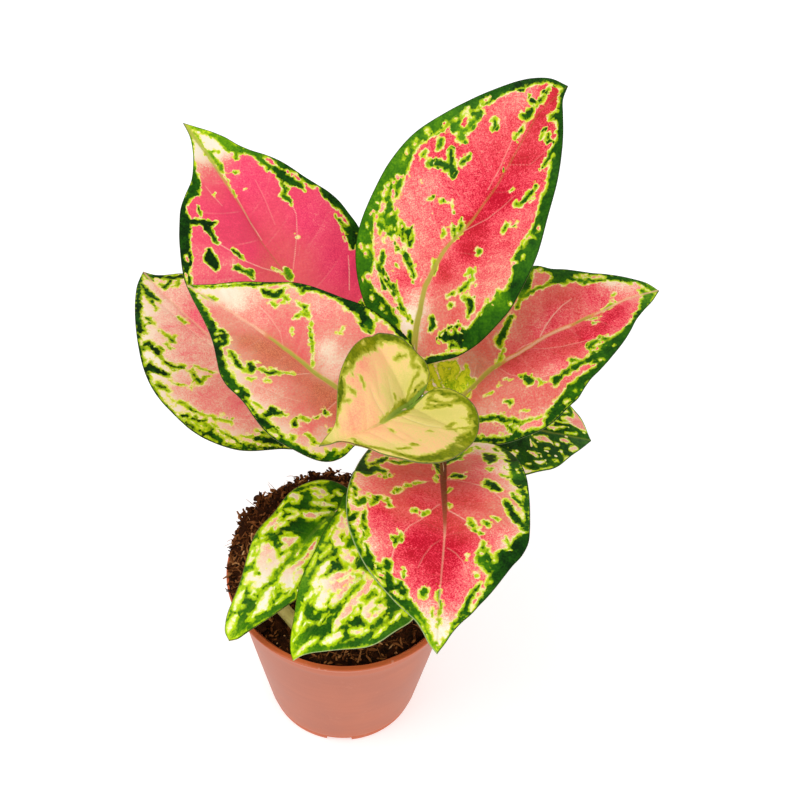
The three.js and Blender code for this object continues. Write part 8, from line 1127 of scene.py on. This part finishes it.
def build_leaf(leaf, mat, index):
    L = leaf["length"]
    seed = 101 * index
    lin = np.linspace(0, 1, NU + 1)
    u = 0.6 * lin + 0.4 * (0.5 - 0.5 * np.cos(PI * lin))
    v = np.linspace(-1, 1, 2 * NV + 1)
    M, EL, ER = spline(leaf["midrib"], u), spline(leaf["left"], u), spline(leaf["right"], u)
    U, Vv = np.meshgrid(u, v, indexing="ij")
    E = np.where((v > 0)[None, :, None], EL[:, None, :], ER[:, None, :])
    Q = M[:, None, :] + np.abs(v)[None, :, None] * (E - M[:, None, :])
    s, w = Q[..., 0], Q[..., 1]
    flat = np.stack([s.ravel(), w.ravel()], 1)
    dm = np.abs(w - midrib_w(leaf, s))
    dv, phi = vein_fields(leaf, U, Vv, L)
    vd, vs = lines(flat, leaf["V"])
    vd, vs = vd.reshape(U.shape), vs.reshape(U.shape)
    across = np.linalg.norm(E - M[:, None, :], axis=2)
    de = (1 - np.abs(Vv)) * across * np.sin(np.clip(PI * np.minimum(1.0, 0.35 + 0.65 * np.sin(PI * U)), 0, PI / 2))
    de = np.minimum(de, np.minimum(U, 1 - U) * L * 0.6)
    grainline = np.stack([(phi * L + 40 * (Vv > 0)).ravel(), (np.abs(Vv) * across * 0.16).ravel()], 1)
    streak = fbm(grainline, 1.2, seed + 81, 3)
    g, pt, kt, brown_and_shade = variegation(flat, leaf, seed, de.ravel(), streak)
    # relief: midrib groove, sunk side veins, puffed panels between, a slightly wavy margin
    soft = np.clip(across / 12, 0, 1)
    fade = step(U, 0.0, 0.06) * (1 - step(U, 0.93, 1.0))
    relief = -0.34 * np.exp(-(dm / 0.8) ** 2) * (1 - 0.7 * U) * fade
    far = 1 - np.exp(-(vd / 2.5) ** 2)
    relief = relief - (0.15 * np.exp(-(vd / 0.42) ** 2) * np.clip(vs * 2, 0, 1) + 0.09 * np.exp(-(dv / 0.45) ** 2) * far) * soft * fade * (1 - np.abs(Vv) ** 4)
    relief = relief + 0.20 * np.clip(np.minimum(vd * 1.3, dv * far + 2.4 * (1 - far)) / 2.4, 0, 1) ** 1.3 * soft * fade * (1 - np.abs(Vv) ** 3)
    relief = relief + (0.30 * fbm(flat, 11, seed + 71, 2)).reshape(U.shape) * fade * (0.35 + 0.65 * np.abs(Vv))
    relief = relief + 0.22 * np.abs(Vv) ** 5 * np.sin(U * 31 + 2 * index + 1.5 * Vv) * fade * soft
    thin = BLADE_T * (1 - 0.45 * np.abs(Vv) ** 6)
    keel = (0.95 * (1 - U) ** 1.4 + 0.10) * np.exp(-(dm / (0.75 - 0.35 * U)) ** 2) * fade + 0.10 * np.exp(-(dv / 0.4) ** 2) * soft * fade * (1 - np.abs(Vv) ** 3)
    top = leaf_point(leaf, s, w, relief + thin / 2)
    low = leaf_point(leaf, s, w, relief - thin / 2 - keel)
    V, F, A = [], [], {k: [] for k in ("g", "pt", "kt", "brown_and_shade", "dm", "dv", "vd", "vs", "de", "uu", "under", "vv", "edge_line_highlight", "rc", "rw", "rv", "fl")}
    UVv = []
    g, pt, kt, brown_and_shade = (x.reshape(U.shape) for x in (g, pt, kt, brown_and_shade))
    vv = leaf.get("vein_show", 0.35) * np.clip(1.15 - np.abs(Vv), 0, 1) * 0.6 * far
    # per side, from a dark margin line at 0 to a pale painted highlight along the edge at 1
    el = leaf.get("edge_highlight", [0, 0])
    edge_line_highlight = np.where(Vv > 0, el[0], el[1]) + 0 * U
    R = np.asarray(leaf["R"], float)
    rc, rw, rv = (np.interp(U, R[:, 0], R[:, k]) for k in (1, 2, 3))
    K = np.asarray(leaf.get("flank", [[0, 0], [1, 0]]), float)
    fl = np.interp(U, K[:, 0], K[:, 1])
    smin, smax_, wmin, wmax = s.min(), s.max(), w.min(), w.max()
    scale = 1 / max(smax_ - smin, 2 * (wmax - wmin))
    rows = {}
    for layer, X in (("top", top), ("low", low)):
        ranks = []
        for i in range(NU + 1):
            cols = [NV] if i in (0, NU) else range(2 * NV + 1)
            row = []
            for j in cols:
                row.append(len(V))
                V.append(X[i, j])
                UVv.append(((0.008 if layer == "top" else 0.515) + (w[i, j] - wmin) * scale * 0.93, 0.01 + (s[i, j] - smin) * scale * 0.97))
                A["under"].append(0.0 if layer == "top" else 1.0)
            jj = list(cols)
            for k, a in (("g", g), ("pt", pt), ("kt", kt), ("brown_and_shade", brown_and_shade), ("dm", dm), ("dv", dv), ("vd", vd), ("vs", vs), ("de", de), ("uu", U), ("vv", vv), ("edge_line_highlight", edge_line_highlight), ("rc", rc), ("rw", rw), ("rv", rv), ("fl", fl)):
                A[k] += list(a[i, jj])
            ranks.append(row)
        rows[layer] = ranks
    A["hw"] = [leaf.get("hw", 0.9)] * len(V)
    A["cool"] = [leaf.get("cool", 0.0)] * len(V)
    A["sand"] = [leaf.get("sand", 1.0)] * len(V)
    UVv = np.array(UVv)
    luv = []
    W = 2 * NV

    def face(a, b, c, d=None, flip=False):
        f = (a, b, c) if d is None else (a, b, c, d)
        f = f[::-1] if flip else f
        F.append(f)
        luv.extend(UVv[list(f)])

    for layer in ("top", "low"):
        R, fl = rows[layer], layer == "low"
        for j in range(W):
            face(R[0][0], R[1][j], R[1][j + 1], flip=fl)
            face(R[NU - 1][j], R[NU][0], R[NU - 1][j + 1], flip=fl)
        for i in range(1, NU - 1):
            for j in range(W):
                face(R[i][j], R[i + 1][j], R[i + 1][j + 1], R[i][j + 1], flip=fl)
    T, B = rows["top"], rows["low"]

    def wall(t0, t1, b0, b1, x, y0, y1, flip):
        f = [t0, t1, b1, b0]
        c = [(x, y0), (x, y1), (x + 0.003, y1), (x + 0.003, y0)]
        if flip:
            f, c = f[::-1], c[::-1]
        F.append(tuple(f))
        luv.extend(c)

    for i in range(NU):
        a, b = min(W, len(T[i]) - 1), min(W, len(T[i + 1]) - 1)
        wall(T[i][a], T[i + 1][b], B[i][a], B[i + 1][b], 0.5015, u[i] * 0.98 + 0.01, u[i + 1] * 0.98 + 0.01, False)
        wall(T[i][0], T[i + 1][0], B[i][0], B[i + 1][0], 0.5065, u[i] * 0.98 + 0.01, u[i + 1] * 0.98 + 0.01, True)
    ob = make_mesh("leaf_" + leaf["id"], V, F, A, np.array(luv))
    ob.data.materials.append(mat)
    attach(ob, "root")
    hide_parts("leaf_blade_" + leaf["id"])
    return ob


# ------------------------------------------------------------------ stage
def build_stage():
    bpy.ops.mesh.primitive_plane_add(size=6, location=(0, 0, -0.0002))
    floor = bpy.context.object
    floor.name = "floor"
    m = Nodes("pale_floor")
    m.bsdf.inputs["Base Color"].default_value = (0.78, 0.78, 0.78, 1)
    m.bsdf.inputs["Roughness"].default_value = 0.9
    m.bsdf.inputs["Emission Color"].default_value = (1, 1, 1, 1)
    m.bsdf.inputs["Emission Strength"].default_value = 0.46
    m.bsdf.inputs["Specular IOR Level"].default_value = 0.1
    floor.data.materials.append(m.mat)
    world = bpy.data.worlds.new("studio")
    bpy.context.scene.world = world
    world.use_nodes = True
    bg = world.node_tree.nodes["Background"]
    bg.inputs[0].default_value = (1, 1, 1, 1)
    bg.inputs[1].default_value = 0.70

    def area(name, loc, target, size, power):
        ld = bpy.data.lights.new(name, "AREA")
        ld.shape = "DISK"
        ld.size = size
        ld.energy = power
        lo = bpy.data.objects.new(name, ld)
        bpy.context.scene.collection.objects.link(lo)
        lo.location = loc
        lo.rotation_mode = "QUATERNION"
        lo.rotation_quaternion = (Vector(target) - Vector(loc)).to_track_quat("-Z", "Y")
        return lo

    area("key", (-0.34, -0.22, 0.92), (0, 0, 0.08), 0.55, 3.1)
    area("fill", (0.50, -0.50, 0.62), (0, 0, 0.08), 0.6, 1.4)
    scene = bpy.context.scene
    scene.view_settings.view_transform = "Standard"
    scene.view_settings.look = "None"
    scene.view_settings.exposure = 0.0
    cam = bpy.data.cameras.new("camera")
    co = bpy.data.objects.new("camera", cam)
    scene.collection.objects.link(co)
    cam.sensor_width = 36
    cam.lens = 1700 / 794 * 36
    cam.clip_start, cam.clip_end = 0.01, 20
    el, roll = math.radians(48.46491237), math.radians(2.68576604)
    d = Vector((0, math.cos(el), -math.sin(el)))
    right = Vector((1, 0, 0))
    up = right.cross(d)
    r2 = right * math.cos(roll) + up * math.sin(roll)
    u2 = up * math.cos(roll) - right * math.sin(roll)
    mat = Matrix((r2, u2, -d)).transposed().to_4x4()
    mat.translation = Vector((11.20364992, -253.22059042, 403.95342527)) * MM
    co.matrix_world = mat
    scene.camera = co


build_stage()
build_pot()
build_soil()
build_stem()
build_stub()
red, young, old = leaf_material("leaf_variegated", 0.37, rag=0.72), leaf_material("leaf_young_skin", 0.40, True, 0.45), leaf_material("leaf_old_skin", 0.34, rag=0.25, old=True)
stalk_mat = stalk_material("leaf_stalk_skin", srgb(168, 186, 108), srgb(214, 180, 138), srgb(140, 160, 80))
for i, leaf in enumerate(LEAVES):
    build_leaf(leaf, {"05": young, "07": old, "09": old, "10": old}.get(leaf["id"], red), i + 1)
    build_stalk(leaf, stalk_mat)
